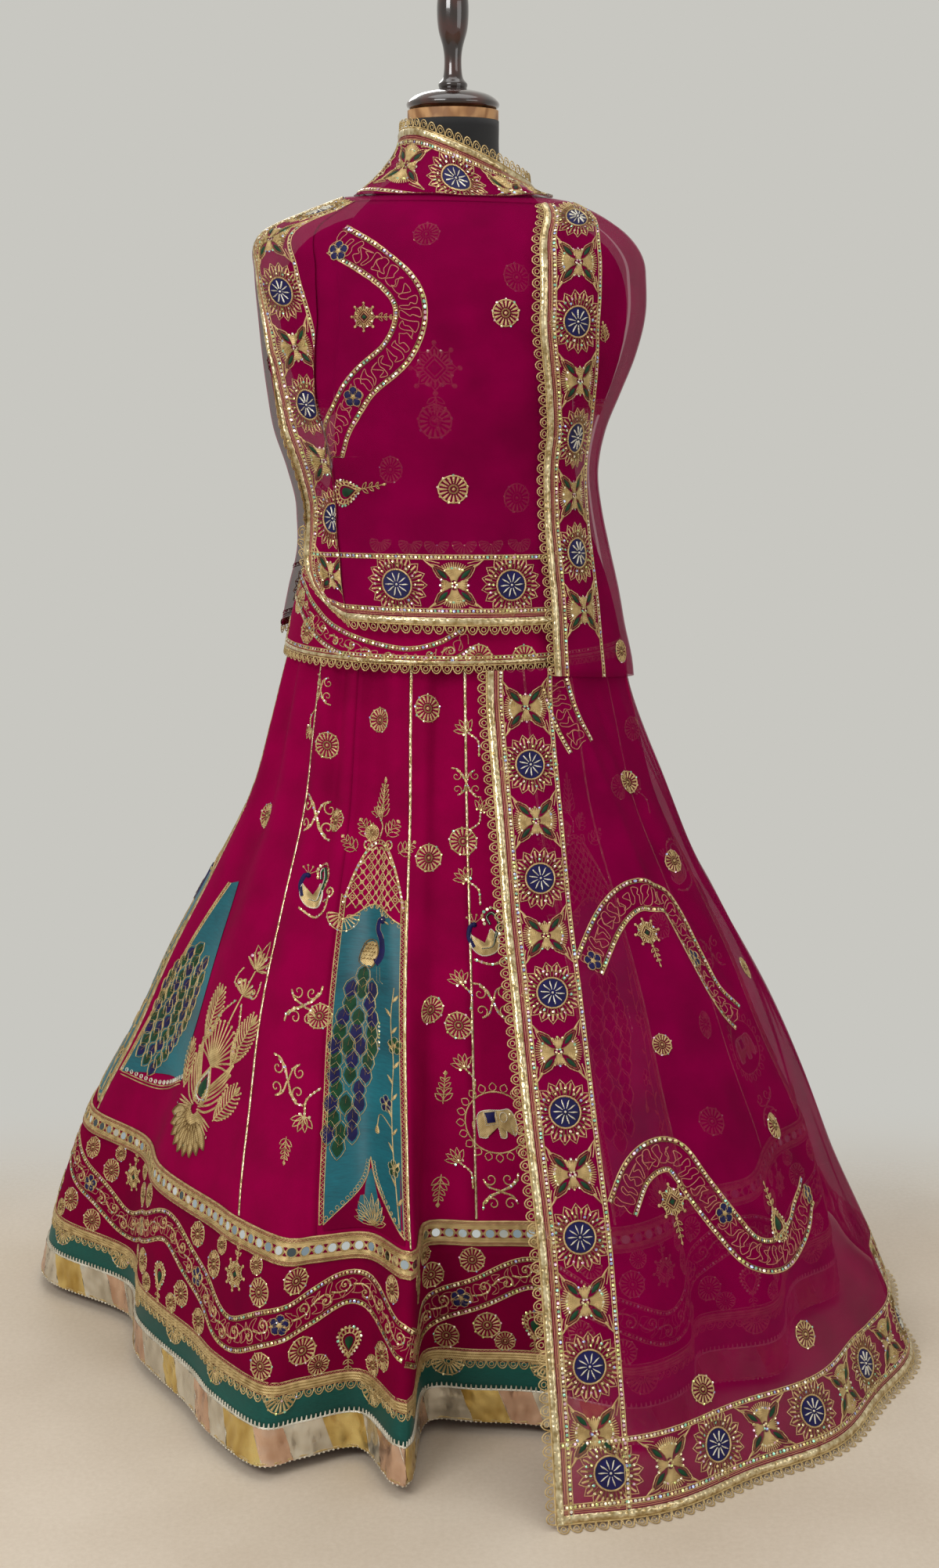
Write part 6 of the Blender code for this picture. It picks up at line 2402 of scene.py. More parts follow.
# The same work on the back, which the photo doesn't show, by shares across and down
BACK_VINES = (
    ((0.16, 0.32), (0.25, 0.22), (0.34, 0.26), (0.4, 0.4), (0.48, 0.5), (0.56, 0.44), (0.6, 0.34)),
    ((0.42, 0.76), (0.5, 0.66), (0.6, 0.66), (0.68, 0.74), (0.77, 0.78), (0.86, 0.7)),
)
BACK_SPRIGS = (
    ("blue", (0.26, 0.225), 0), ("blue", (0.51, 0.495), 0), ("blue", (0.66, 0.72), 0),
    ("pendant", (0.29, 0.36), 0), ("pendant", (0.55, 0.77), 0), ("paisley", (0.5, 0.38), 60),
    ("rosette", (0.14, 0.16), 0), ("rosette", (0.48, 0.14), 0), ("rosette", (0.76, 0.24), 0),
    ("rosette", (0.2, 0.6), 0), ("rosette", (0.78, 0.52), 0), ("rosette", (0.3, 0.76), 0),
    ("rosette", (0.9, 0.4), 0),
)


@dataclass
class TunicStitches:
    """The tunic's embroidery, which shows dimly through the shawl, and its gold edgings."""

    tunic: Tunic

    def build(self) -> None:
        """Stitch the front, and crochet the edgings of the hem and the sleeves."""
        surface = self.tunic.front
        stitches = Stitching("kurti_front_stitches")
        catalogue = {"rosette": rosette(), "pendant": pendant(), "half": half_rosette(0.017),
                     "medallion": medallion(0.026)}
        for kind, pixel, turn, scale in TUNIC_SPRIGS:
            u, v = CAMERA.spot(surface, pixel)
            stitches.lay(catalogue[kind], surface.around(u, v), turn=turn, scale=scale)
        spots = [CAMERA.spot(surface, pixel) for pixel in smooth_path(TUNIC_CRESCENT, 4)]
        ground = surface.along(spots, 0.034)
        stitches.lay(vine(Lane(straight(0, 0, ground.x_range[1], 0)), 0.0150, True), ground)
        stitches.build(slot="gold_lace")
        hem = Stitching("kurti_hem_lace_stitches")
        for panel in (self.tunic.front, self.tunic.back):
            hem.lay(*self.edging(panel))
        hem.build(replaces=["kurti_hem_lace"], slot="gold_lace")
        for name, side in (("left", -1), ("right", 1)):
            cuff = Stitching(f"sleeve_{name}_lace_stitches")
            cuff.lay(*self.edging(self.tunic.sleeve(side)))
            cuff.build(replaces=[f"sleeve_{name}_lace"], slot="gold_lace")

    @staticmethod
    def edging(surface: Surface) -> tuple[Motif, Ground]:
        """Return the crochet edging of a panel's foot, and the ground that it lies on."""
        ground = surface.edge("bottom", 0.014, 0.012)
        length = ground.x_range[1]
        made = Motif()
        made.put(loops(length, 0.0125, 0.0098))
        made.cord(straight(0, 0.0030, length, 0.0030), 0.0044, Look.GOTA, 0.0016)
        for y in (0.0068, 0.0100):
            made.thread(straight(0, y, length, y), 0.0013, Look.ZARI)
        made.sequins(straight(0, 0.0084, length, 0.0084), 0.0052, 0.0015)
        return made, ground


# The tunic's sprigs and the middle line of its crescent band, in the photo's pixels
TUNIC_SPRIGS = (
    ("pendant", (556, 470), 0, 1.5), ("rosette", (556, 538), 0, 1.3),
    ("rosette", (660, 636), 0, 1.1), ("rosette", (660, 355), 0, 1.1),
    ("rosette", (545, 300), 0, 1.0), ("rosette", (500, 600), 0, 1.0), ("half", (487, 690), 0, 0.9),
    ("half", (525, 692), 0, 0.9), ("half", (558, 693), 0, 0.9), ("half", (593, 693), 0, 0.9),
    ("half", (627, 692), 0, 0.9), ("half", (663, 690), 0, 0.9), ("rosette", (385, 768), 0, 1.0),
    ("rosette", (367, 800), 0, 1.0), ("rosette", (394, 806), 0, 1.0),
    ("rosette", (612, 840), 0, 1.0), ("rosette", (670, 841), 0, 1.0),
)
TUNIC_CRESCENT = ((374, 722), (400, 788), (440, 822), (510, 842), (560, 836), (600, 815))


# ---- the skirt's embroidery


def feathers(rows: int, length: float, lean: float, spread: tuple[float, float]) -> Motif:
    """Draw a hanging tail of scale feathers, blue and green, outlined in gold.

    Args:
        rows: Rows of feathers.
        length: Length of the tail.
        lean: How far its end lies to the left.
        spread: Half width at its top and middle.

    Returns:
        The design; its top is at the origin.
    """
    made = Motif()
    step = length / rows
    for k in reversed(range(rows)):
        share = k / (rows - 1)
        half = spread[0] + (spread[1] - spread[0]) * math.sin(math.pi * min(share * 1.1, 0.62))
        half *= 1 - 0.45 * share**3
        centre = -lean * share**1.4
        across = max(int(half / 0.0085), 1)
        for j in range(across + (k % 2)):
            place = (j + 0.5) / (across + (k % 2)) * 2 - 1
            x = centre + place * half
            y = -step * k - 0.004
            size = step * 1.75
            tip = (x + place * 0.004 - 0.003, y - size)
            look = Look.NAVY if (j + k) % 2 else Look.GREEN
            outline = almond((x, y), tip, size * 0.64)[::-1]
            made.fill(outline, look, 0.0012 + 0.0003 * (rows - k) / rows)
            made.thread(outline, 0.0010, Look.ZARI, 0.0020, closed=True)
            rib = ((x, y - size * 0.2), ((x + tip[0]) / 2, y - size * 0.5))
            made.thread(rib, np.array([0.0005, 0.0012]), Look.DARK_ZARI, 0.0022)
    return made


def big_peacock() -> Motif:
    """Draw the arch's peacock: gold body, blue neck, and a long tail of scale feathers."""
    made = Motif()
    made.put(feathers(13, 0.215, 0.030, (0.013, 0.029)), (-0.012, -0.002))
    body = smooth_path(((-0.020, -0.004), (-0.012, 0.020), (0.002, 0.022), (0.006, 0.006),
                        (-0.004, -0.010)), 4, closed=True)
    made.fill(body, Look.ZARI, 0.0024)
    made.thread(body, 0.0012, Look.DARK_ZARI, 0.0030, closed=True)
    for k in range(5):
        for j in range(4 - k % 2):
            spot = (-0.015 + 0.0045 * j + 0.0022 * (k % 2) + 0.0006 * k, 0.001 + 0.0042 * k)
            scale = [(spot[0] + 0.0024 * math.cos(t), spot[1] - 0.0020 * math.sin(t))
                     for t in (0, 1.05, 2.1, 3.14)]
            made.thread(scale, 0.0008, Look.DARK_ZARI, 0.0036)
    neck = smooth_path(((0.002, -0.004), (0.011, 0.008), (0.010, 0.024), (0.004, 0.036), (0.006, 0.047),
                        (0.012, 0.047)), 4)
    width = np.linspace(0.0130, 0.0072, len(neck))
    made.thread(neck, width + 0.0022, Look.ZARI, 0.0018)
    made.thread(neck, width, Look.NAVY, 0.0028)
    made.fill(circle((0.0105, 0.048), 0.0052, 9), Look.NAVY, 0.0030)
    made.fill(circle((0.0112, 0.0486), 0.0013, 6), Look.PICOT, 0.0038)
    made.leaf((0.013, 0.047), (0.020, 0.043), 0.0030, Look.ZARI, 0.0022)
    for k in range(3):
        tip = (0.006 + 0.005 * k, 0.062 - 0.002 * abs(k - 1))
        made.thread(((0.0095, 0.051), tip), 0.0010, Look.ZARI, 0.0014)
        made.fill(circle(tip, 0.0017, 6), Look.ZARI, 0.0016)
    for x in (0.004, 0.009):
        made.thread(((x, -0.008), (x + 0.001, -0.024), (x + 0.006, -0.027)), 0.0013, Look.ZARI)
    return made


def small_peacock() -> Motif:
    """Draw the small peacock whose feather curls over its back."""
    made = Motif()
    body = smooth_path(((-0.016, 0.010), (-0.017, -0.004), (-0.006, -0.014), (0.010, -0.010),
                        (0.014, 0.004), (0.006, 0.016), (0.002, 0.004), (-0.008, -0.003)),
                       4, closed=True)
    made.fill(body, Look.ZARI, 0.0022)
    made.thread(body, 0.0013, Look.PICOT, 0.0020, closed=True)
    neck = smooth_path(((-0.014, -0.004), (-0.019, 0.008), (-0.016, 0.020), (-0.011, 0.021)), 4)
    made.thread(neck, np.linspace(0.0064, 0.0046, len(neck)), Look.NAVY, 0.0026)
    made.fill(circle((-0.012, 0.0215), 0.0034, 8), Look.NAVY, 0.0030)
    for k in range(4):
        tip = spoke(0.011, 40 + 32 * k)
        made.thread(((-0.0115, 0.023), (-0.0115 + tip[0], 0.022 + tip[1])), 0.0009, Look.ZARI)
        made.fill(circle((-0.0115 + tip[0], 0.022 + tip[1]), 0.0015, 6), Look.ZARI, 0.0014)
    wing = smooth_path(((-0.006, -0.006), (0.006, -0.004), (0.011, 0.008), (0.016, 0.022),
                        (0.010, 0.034), (0.003, 0.030), (0.006, 0.021)), 5)
    made.thread(wing, np.linspace(0.0048, 0.0030, len(wing)), Look.GREEN, 0.0026)
    made.thread(wing, 0.0013, Look.PICOT, 0.0034)
    rim = smooth_path(((0.014, 0.008), (0.021, 0.024), (0.012, 0.040), (-0.001, 0.034),
                       (0.000, 0.020)), 5)
    made.sequins(rim, 0.0044, 0.0019)
    made.thread(rim, 0.0011, Look.ZARI)
    foot = smooth_path(((-0.016, -0.018), (0.004, -0.024), (0.022, -0.016), (0.026, 0.002)), 5)
    made.thread(foot, 0.0024, Look.ZARI, 0.0013)
    made.sequins(foot, 0.0056, 0.0017)
    made.put(curl(0.006), (0.026, 0.006), 40)
    return made


def elephant() -> Motif:
    """Draw the elephant in its ring of loops: gold, with a blue saddle cloth."""
    made = Motif()
    for k in range(20):
        inner, outer = spoke(0.036, 18 * k), spoke(0.046, 18 * k)
        made.thread(almond(inner, outer, 0.0085), 0.0012, Look.ZARI, closed=True)
    made.ring((0, 0), 0.0355, 0.0016, Look.ZARI, sides=30)
    body = smooth_path(((-0.021, -0.014), (-0.021, 0.008), (-0.012, 0.014), (0.006, 0.014),
                        (0.016, 0.015), (0.022, 0.006), (0.024, -0.008), (0.020, -0.016),
                        (0.017, -0.004), (0.011, -0.003), (0.011, -0.017), (0.004, -0.017),
                        (0.002, -0.006), (-0.009, -0.006), (-0.011, -0.017), (-0.019, -0.017)),
                       3, closed=True)
    made.fill(body, Look.ZARI, 0.0022)
    made.thread(body, 0.0013, Look.PICOT, 0.0018, closed=True)
    saddle = ((-0.012, -0.003), (-0.013, 0.012), (0.000, 0.013), (0.002, -0.002))
    made.fill(saddle, Look.NAVY, 0.0032)
    made.thread(saddle, 0.0014, Look.PICOT, 0.0030, closed=True)
    made.thread(circle((0.009, 0.006), 0.0045, 9, 1.3), 0.0013, Look.PICOT, 0.0032, closed=True)
    made.thread(smooth_path(((-0.021, 0.006), (-0.027, 0.000), (-0.026, -0.010)), 3), 0.0015, Look.ZARI)
    made.thread(smooth_path(((0.022, -0.010), (0.027, -0.014), (0.029, -0.006)), 3), 0.0026, Look.ZARI)
    made.sequin((0.016, 0.009), 0.0014, Look.SEQUIN)
    return made


def spray() -> Motif:
    """Draw a short stem of beads that ends in a bud of five petals."""
    made = Motif()
    stem = smooth_path(((-0.004, -0.030), (0.006, -0.012), (0.000, 0.006)), 5)
    made.thread(stem, 0.0022, Look.ZARI, 0.0013)
    made.sequins(stem, 0.0055, 0.0016)
    for k in range(5):
        end = spoke(0.017, 30 + 30 * k)
        made.thread(almond((0.0, 0.006), (end[0], 0.008 + end[1]), 0.0062), 0.0013, Look.ZARI,
                    closed=True)
    for k in range(3):
        made.sequin(spoke(0.008, 45 + 45 * k), 0.0019, Look.SEQUIN, k)
    return made


def plume(height: float, width: float, ribs: int) -> Motif:
    """Draw a feather of close curved ribs on both sides of a stem, its foot at the origin."""
    made = Motif()
    made.thread(straight(0, 0, 0, height * 0.9), 0.0016, Look.ZARI, 0.0014)
    for k in range(ribs):
        y = height * (0.04 + 0.80 * k / ribs)
        reach = width * math.sin(math.pi * (0.22 + 0.70 * k / ribs))
        rise = height * 0.20
        for side in (-1, 1):
            rib = ((0, y), (side * reach * 0.55, y + rise * 0.42), (side * reach, y + rise))
            made.thread(smooth_path(rib, 3), 0.0023, Look.ZARI, 0.0012)
            made.fill(circle((side * reach, y + rise), 0.0019, 6), Look.ZARI, 0.0014)
    made.leaf((0, height * 0.78), (0, height), width * 0.42, Look.ZARI)
    return made


def lotus() -> Motif:
    """Draw the tall flower of the wide panel, 0.29 m high, about its middle."""
    made = Motif()
    base = -0.145
    for k in range(9):
        angle = 210 + 15 * k
        outline = almond(spoke(0.018, angle) + np.array([0, base + 0.052]),
                         spoke(0.060, angle) + np.array([0, base + 0.052]), 0.0165)
        made.fill(outline[::-1], Look.ZARI, 0.0016)
        made.thread(outline, 0.0012, Look.DARK_ZARI, 0.0022, closed=True)
    fan(made, (0, base + 0.055), (0.008, 0.046), (186, 354), 23, 0.0034, Look.ZARI)
    for k in range(10):
        spot = spoke(0.050, 200 + 15.5 * k)
        made.sequin((spot[0], base + 0.055 + spot[1]), 0.0022, Look.SEQUIN, k)
    for side in (-1, 1):
        for k in range(7):
            share = k / 6
            root = (side * 0.006, base + 0.056 + 0.004 * k)
            mid = (side * (0.026 + 0.012 * share), base + 0.062 + 0.012 * k)
            tip = (side * (0.048 - 0.012 * share), base + 0.084 + 0.0125 * k)
            made.thread(smooth_path((root, mid, tip), 4), 0.0030, Look.ZARI, 0.0013)
            made.fill(circle(tip, 0.0028, 6), Look.ZARI, 0.0015)
        made.put(plume(0.066, 0.017, 9), (side * 0.046, base + 0.060), turn=-side * 22)
        made.put(plume(0.078, 0.019, 11), (side * 0.034, base + 0.132), turn=-side * 8)
        made.put(curl(0.0085), (side * 0.017, base + 0.226), turn=90 * side, flip=side > 0)
        stem = smooth_path(((side * 0.033, base + 0.140), (side * 0.022, base + 0.178),
                            (side * 0.006, base + 0.205)), 5)
        made.thread(stem, 0.0024, Look.ZARI, 0.0013)
        made.sequins(stem, 0.0060, 0.0018)
    for size, look in ((1.0, Look.ZARI), (0.78, Look.PICOT)):
        drop = teardrop(0.036 * size, 0.052 * size) + (0, base + 0.088)
        made.thread(drop, 0.0024, look, 0.0016, closed=True)
    made.fill(teardrop(0.021, 0.030, 14) + (0, base + 0.086), Look.GREEN, 0.0024)
    made.sequins(teardrop(0.030, 0.043) + (0, base + 0.087), 0.0055, 0.0018, closed=True)
    for k in range(15):
        angle = -12 + 204 * k / 14
        tip = (spoke(0.034, angle)[0], base + 0.132 + spoke(0.034, angle)[1] * 1.25)
        mid = (spoke(0.016, angle)[0], base + 0.124 + spoke(0.018, angle)[1])
        made.thread(smooth_path(((0, base + 0.114), mid, tip), 4), 0.0028, Look.ZARI, 0.0013)
        made.fill(circle(tip, 0.0026, 6), Look.ZARI, 0.0015)
    for level, (y, reach) in enumerate(((0.214, 0.022), (0.250, 0.026))):
        fan(made, (0, base + y), (0.002, reach), (20, 160), 7, 0.0042, Look.ZARI)
        for k in range(5):
            spot = spoke(reach * 0.9, 34 + 28 * k)
            made.sequin((spot[0], base + y + spot[1]), 0.0022, Look.SEQUIN, k)
        if level:
            for angle in (55, 90, 125):
                tip = spoke(0.042 if angle == 90 else 0.034, angle)
                made.thread(almond((0, base + y + 0.006), (tip[0], base + y + tip[1]), 0.013), 0.0016,
                            Look.ZARI, closed=True)
    made.thread(straight(0, base + 0.165, 0, base + 0.250), 0.0024, Look.ZARI, 0.0014)
    return made


class Kali(Enum):
    """The three designs of the skirt's panels."""

    ROSETTES = 0
    SCROLLS = 1
    ARCH = 2


@dataclass
class SkirtStitches:
    """What is sewn on the skirt: piping, panels, mirrors, borders, lace and foil."""

    skirt: Skirt
    sprigs: dict[str, Motif] = field(init=False)

    def __post_init__(self) -> None:
        """Draw the designs."""
        self.sprigs = {
            "rosette": rosette(),
            "pair": scroll_pair(0.034),
            "spray": spray(),
            "peacock": small_peacock(),
            "elephant": elephant(),
            "lotus": lotus(),
            "blue": flower(0.0125, Look.NAVY),
            "green": flower(0.0125, Look.GREEN),
            "sprig": sprig(0.030, 4, 0.008),
        }

    def build(self) -> None:
        """Stitch everything."""
        self.panels()
        self.mirrors()
        self.border()
        self.lace()
        self.foil()

    def panels(self) -> None:
        """Stitch the panels and the piping on their seams."""
        order = (Kali.ROSETTES, Kali.SCROLLS, Kali.ARCH)
        for first in range(0, PANEL_COUNT, 3):
            stitches = Stitching(f"kali_stitches_{first + 1:02d}_{first + 3:02d}")
            for panel in range(first, first + 3):
                ground, rise, half = self.skirt.panel_ground(panel)
                if panel != PANEL_COUNT - 1:
                    self.piping(stitches, ground, rise, half)
                kind = order[panel % 3]
                placed = PANEL_SPRIGS.get(panel)
                if kind is Kali.ARCH:
                    stitches.lay(self.arch(rise, half), ground)
                if panel == self.skirt.wide_panel:
                    self.side_arch(stitches, ground)
                if placed:
                    for name, pixel, turn, scale in placed:
                        spot = CAMERA.spot_on(ground, pixel)
                        stitches.lay(self.sprigs[name], ground, spot, turn, scale)
                else:
                    for name, share, height, turn, scale in HIDDEN_SPRIGS[kind.value]:
                        y = rise(height)
                        stitches.lay(self.sprigs[name], ground, (share * half(y), y), turn, scale)
            stitches.build(slot="gold_lace")

    @staticmethod
    def piping(stitches: Stitching, ground: Ground, rise: Measure, half: Measure) -> None:
        """Sew the foil piping on a panel's first seam.

        Args:
            stitches: The piece that takes it.
            ground: The panel's ground.
            rise: Gives the distance up from the hem for a height.
            half: Gives the half width there.
        """
        made = Motif()
        ys = np.linspace(rise(MIRROR_TOP + 0.002), rise(0.995), 90)
        path = np.array([(-half(y), y) for y in ys])
        made.cord(path, 0.0030 + 0.0012 * np.linspace(0, 1, len(path)) ** 4, Look.GOTA, 0.0010)
        stitches.lay(made, ground)

    def arch(self, rise: Measure, half: Measure) -> Motif:
        """Draw the arch: lattice head, teal silk, peacock, vine and cusped foot.

        Args:
            rise: Gives the distance up from the hem for a height.
            half: Gives the half width there.

        Returns:
            The design.
        """
        made = Motif()
        low, crown, peak = rise(0.262), rise(0.578), rise(0.652)
        room = half(rise(0.6)) - 0.004
        rows, columns = 44, 13
        ys = np.linspace(low, crown, rows)
        field_spots = np.array(
            [
                [(x * (half(y) - 0.0065),
                  y + (0.010 * math.cos(x * math.pi) if k == rows - 1 else 0), 0.0007)
                 for x in np.linspace(-1, 1, columns)]
                for k, y in enumerate(ys)
            ]
        )
        made.sheet(field_spots, Look.TEAL)
        for side in (-1, 1):
            for inset in (0.0022, 0.0072):
                edge = np.array([(side * (half(y) - inset), y)
                                 for y in np.linspace(low, crown + 0.02, 60)])
                made.thread(edge, 0.0015, Look.ZARI, 0.0014)
            ladder = np.array([(side * (half(y) - 0.0047 + 0.0018 * (-1) ** k), y)
                               for k, y in enumerate(np.linspace(low, crown + 0.02, 150))])
            made.thread(ladder, 0.0012, Look.ZARI, 0.0014)

        def top(x: float) -> float:
            """Return the arch's upper line."""
            return crown + (peak - crown) * (1 - abs(x / room) ** 2.2) * 0.94 + 0.006

        pitch = 0.0125
        for lean in (-1, 1):
            for k in range(-14, 15):
                run = [(x, crown + lean * x * 1.25 + k * pitch) for x in np.linspace(-room, room, 40)]
                run = [p for p in run if crown + 0.004 < p[1] < top(p[0]) - 0.002]
                if len(run) > 3:
                    made.thread(run, 0.0014, Look.ZARI, 0.0012)
        for i in range(-6, 7):
            for j in range(1, 14):
                spot = (i * pitch * 0.8, crown + (j + (0.5 if i % 2 else 0.0)) * pitch)
                if abs(spot[0]) < room * 0.93 and spot[1] < top(spot[0]) - 0.006:
                    made.ring(spot, 0.0021, 0.0012, Look.ZARI, sides=7)
        for off in (0.0, 0.0045):
            line = [(x, top(x) + off) for x in np.linspace(-room, room, 24)]
            made.thread(line, 0.0015, Look.ZARI, 0.0013)
        made.sequins([(x, top(x) + 0.002) for x in np.linspace(-room, room, 24)], 0.006, 0.0017)
        scallop = [(x, crown + 0.001 + 0.010 * math.cos(x / room * math.pi))
                   for x in np.linspace(-room, room, 30)]
        made.thread(scallop, 0.0018, Look.ZARI, 0.0016)
        for k in range(10):
            x = -room + (k + 0.5) * room / 5
            y = crown + 0.010 * math.cos(x / room * math.pi) - 0.002
            made.ring((x, y), 0.0020, 0.0011, Look.ZARI, 0.0018, 7)
        made.put(half_rosette(0.021), (-room * 0.96, crown - 0.004))
        made.put(sprig(0.052, 6, 0.012), (0.002, peak + 0.030), turn=-6)
        made.put(spray(), (-0.002, peak + 0.030), turn=12, scale=0.75)
        for side in (-1, 1):
            made.put(curl(0.0065), (side * 0.016, peak), 0, flip=side < 0)
            made.put(sprig(0.026, 3, 0.011), (side * 0.013, peak + 0.010), turn=side * -38)
            made.put(sprig(0.026, 3, 0.010), (side * 0.030, peak - 0.010), turn=side * -50)
        made.put(rosette(0.010, 4), (-0.012, peak + 0.014))
        made.put(big_peacock(), (0.004, crown - 0.055))
        self.arch_vine(made, rise, half)
        self.cusp(made, rise, half)
        return made

    @staticmethod
    def arch_vine(made: Motif, rise: Measure, half: Measure) -> None:
        """Draw the flowering stem on the right of the arch.

        Args:
            made: The design that takes it.
            rise: Gives the distance up from the hem for a height.
            half: Gives the half width there.
        """
        levels = (0.275, 0.315, 0.352, 0.392, 0.430, 0.470, 0.505)
        offs = (-0.014, -0.018, -0.021, -0.020, -0.016, -0.019, -0.014)
        path = smooth_path([(half(rise(z)) + off, rise(z)) for z, off in zip(levels, offs)], 7)
        made.thread(path, 0.0013, Look.ZARI, 0.0018)
        for k in range(3, len(path) - 2, 3):
            side = 1 if k % 2 else -1
            x, y = path[k]
            made.leaf((x, y), (x + side * 0.008, y + 0.009), 0.0050, Look.ZARI, 0.0020)
        for kind, index, off in ((Look.GREEN, 9, -0.002), (Look.NAVY, 20, -0.010),
                                 (Look.GREEN, 31, 0.003)):
            x, y = path[index]
            made.put(flower(0.0105, kind), (x + off, y))
        branch = smooth_path(((path[16][0], path[16][1]), (path[16][0] - 0.020, path[16][1] + 0.012),
                              (path[16][0] - 0.026, path[16][1] - 0.006)), 5)
        made.thread(branch, 0.0013, Look.ZARI, 0.0018)
        made.fill(teardrop(0.010, 0.014, 10) + branch[-1], Look.ZARI, 0.0018)
        string = straight(path[34][0] - 0.018, path[34][1] + 0.004, path[34][0] - 0.018,
                          path[34][1] - 0.030)
        made.sequins(string, 0.0040, 0.0018)

    @staticmethod
    def cusp(made: Motif, rise: Measure, half: Measure) -> None:
        """Draw the pointed cusp at the arch's foot, with its loops and leaf fan.

        Args:
            made: The design that takes it.
            rise: Gives the distance up from the hem for a height.
            half: Gives the half width there.
        """
        low, apex = rise(0.258), rise(0.328)
        wide = half(low) - 0.007
        side_line = smooth_path(((0, apex), (0.006, apex - 0.024), (0.022, apex - 0.046),
                                 (wide, low + 0.004)), 6)
        mirror = side_line * np.array([-1, 1])
        for sign, line in ((1, side_line), (-1, mirror)):
            strip = np.stack([np.column_stack([line, np.full(len(line), 0.0012)]),
                              np.column_stack([line[:, 0], np.full(len(line), low - 0.002),
                                               np.full(len(line), 0.0012)])], 0)
            if sign > 0:
                strip = strip[::-1]
            made.sheet(strip, Look.BORDER)
            made.thread(line, 0.0018, Look.ZARI, 0.0020)
            for k in range(2, len(line) - 1):
                spot = line[k] + np.array([sign * 0.0026, 0.0024])
                made.ring(spot, 0.0022, 0.0011, Look.ZARI, 0.0016, 7)
        for k in range(9):
            angle = 20 + 17.5 * k
            reach = 0.024 + 0.012 * math.sin(math.radians(angle)) ** 3
            tip = spoke(reach, angle)
            outline = almond((0, low + 0.002), (tip[0], low + 0.002 + tip[1]), 0.0068)
            made.thread(outline, 0.0013, Look.ZARI, 0.0020, closed=True)
            made.thread(((0, low + 0.004), (tip[0] * 0.8, low + 0.002 + tip[1] * 0.8)), 0.0012,
                        Look.ZARI, 0.0020)

    def side_arch(self, stitches: Stitching, ground: Ground) -> None:
        """Lay the teal arch that shows beside the wide panel's fold.

        Args:
            stitches: The piece that takes it.
            ground: The wide panel's ground.
        """
        made = Motif()
        left = [CAMERA.spot_on(ground, p) for p in SIDE_ARCH_LEFT]
        right = [CAMERA.spot_on(ground, p) for p in SIDE_ARCH_RIGHT]
        left_line, right_line = smooth_path(left, 6), smooth_path(right, 6)
        shares = np.linspace(0, 1, 9)[:, None]
        grid = np.array([a + (b - a) * shares for a, b in zip(left_line, right_line)])
        lifted = np.concatenate([grid, np.full((*grid.shape[:2], 1), 0.0008)], axis=2)
        made.sheet(lifted[::-1], Look.TEAL)
        for line, inset in ((left_line, 0.0), (left_line, -0.0050)):
            made.thread(line + np.array([inset, 0]), 0.0018, Look.ZARI, 0.0016)
        far, teeth = lengths_along(left_line), 90
        zig = resample(far, np.linspace(0, far[-1], teeth), left_line)
        zig[:, 0] += -0.0025 + 0.0018 * (-1.0) ** np.arange(teeth)
        made.thread(zig, 0.0013, Look.ZARI, 0.0016)
        foot = smooth_path([left_line[-1], (left_line[-1] + right_line[-1]) / 2 + (0, -0.016),
                            right_line[-1]], 8)
        for off in (0.0, -0.0040):
            made.thread(foot + np.array([0, off]), 0.0016, Look.ZARI, 0.0018)
        for spot in foot:
            made.ring(spot + np.array([0, 0.0045]), 0.0026, 0.0012, Look.PICOT, 0.0016, 8)
        top = CAMERA.spot_on(ground, SIDE_TAIL[0])
        end = CAMERA.spot_on(ground, SIDE_TAIL[1])
        reach = math.hypot(end[0] - top[0], end[1] - top[1])
        angle = math.degrees(math.atan2(end[0] - top[0], -(end[1] - top[1])))
        made.put(feathers(12, reach, 0.0, (0.024, 0.046)), top, turn=angle)
        stitches.lay(made, ground)

    def mirrors(self) -> None:
        """Make the mirror band: gold braid, round mirrors and dark gaps."""
        face = BAND_START + PANEL_WALL
        self.skirt.band_piece("mirror_band_cloth", MIRROR_TOP, BORDER_TOP, BAND_START, face,
                              [Look.ZARI], ["mirror_band"], "mirror_trim")
        ground = self.skirt.ring_ground(MIRROR_TOP, BORDER_TOP, face)
        length, height = ground.x_range[1], ground.y_range[1]
        stitches = Stitching("mirror_band_stitches")
        made = Motif()
        count = int(length / MIRROR_PITCH)
        step = length / count
        middle = height / 2
        for k in range(count):
            x = (k + 0.5) * step
            made.disc(circle((x, middle), 0.0050, 10), Look.MIRROR, 0.0012, tilt=k * 1.9)
            made.ring((x, middle), 0.0056, 0.0016, Look.ZARI, 0.0020, 12)
            for side in (-1, 1):
                y = middle + side * 0.0050
                gap = ((x + step / 2 - 0.0030, y), (x + step / 2 + 0.0030, y),
                       (x + step / 2, middle + side * 0.0008))
                made.disc(gap, Look.BORDER, 0.0006)
        for y in (0.0012, 0.0052, height - 0.0052, height - 0.0012):
            made.thread(straight(0, y, length, y), 0.0016, Look.ZARI, 0.0016)
        for y in (0.0032, height - 0.0032):
            made.thread(zigzag(length, y, 0.0014, 0.0046), 0.0014, Look.COUCHING, 0.0016)
        stitches.lay(made, ground)
        stitches.build(slot="mirror_trim")

    def border(self) -> None:
        """Stitch the broad border: the waving vine, sprigs, pendants and drops."""
        ground = self.skirt.ring_ground(BORDER_TOP, TEAL_TOP, BAND_FACE)
        length, height = ground.x_range[1], ground.y_range[1]
        foot = BORDER_FOOT
        room = height - foot
        repeats = 10
        period = length / repeats
        start = -0.30 * period
        xs = np.linspace(0, length, 400)
        phase = 2 * math.pi * (xs - start) / period
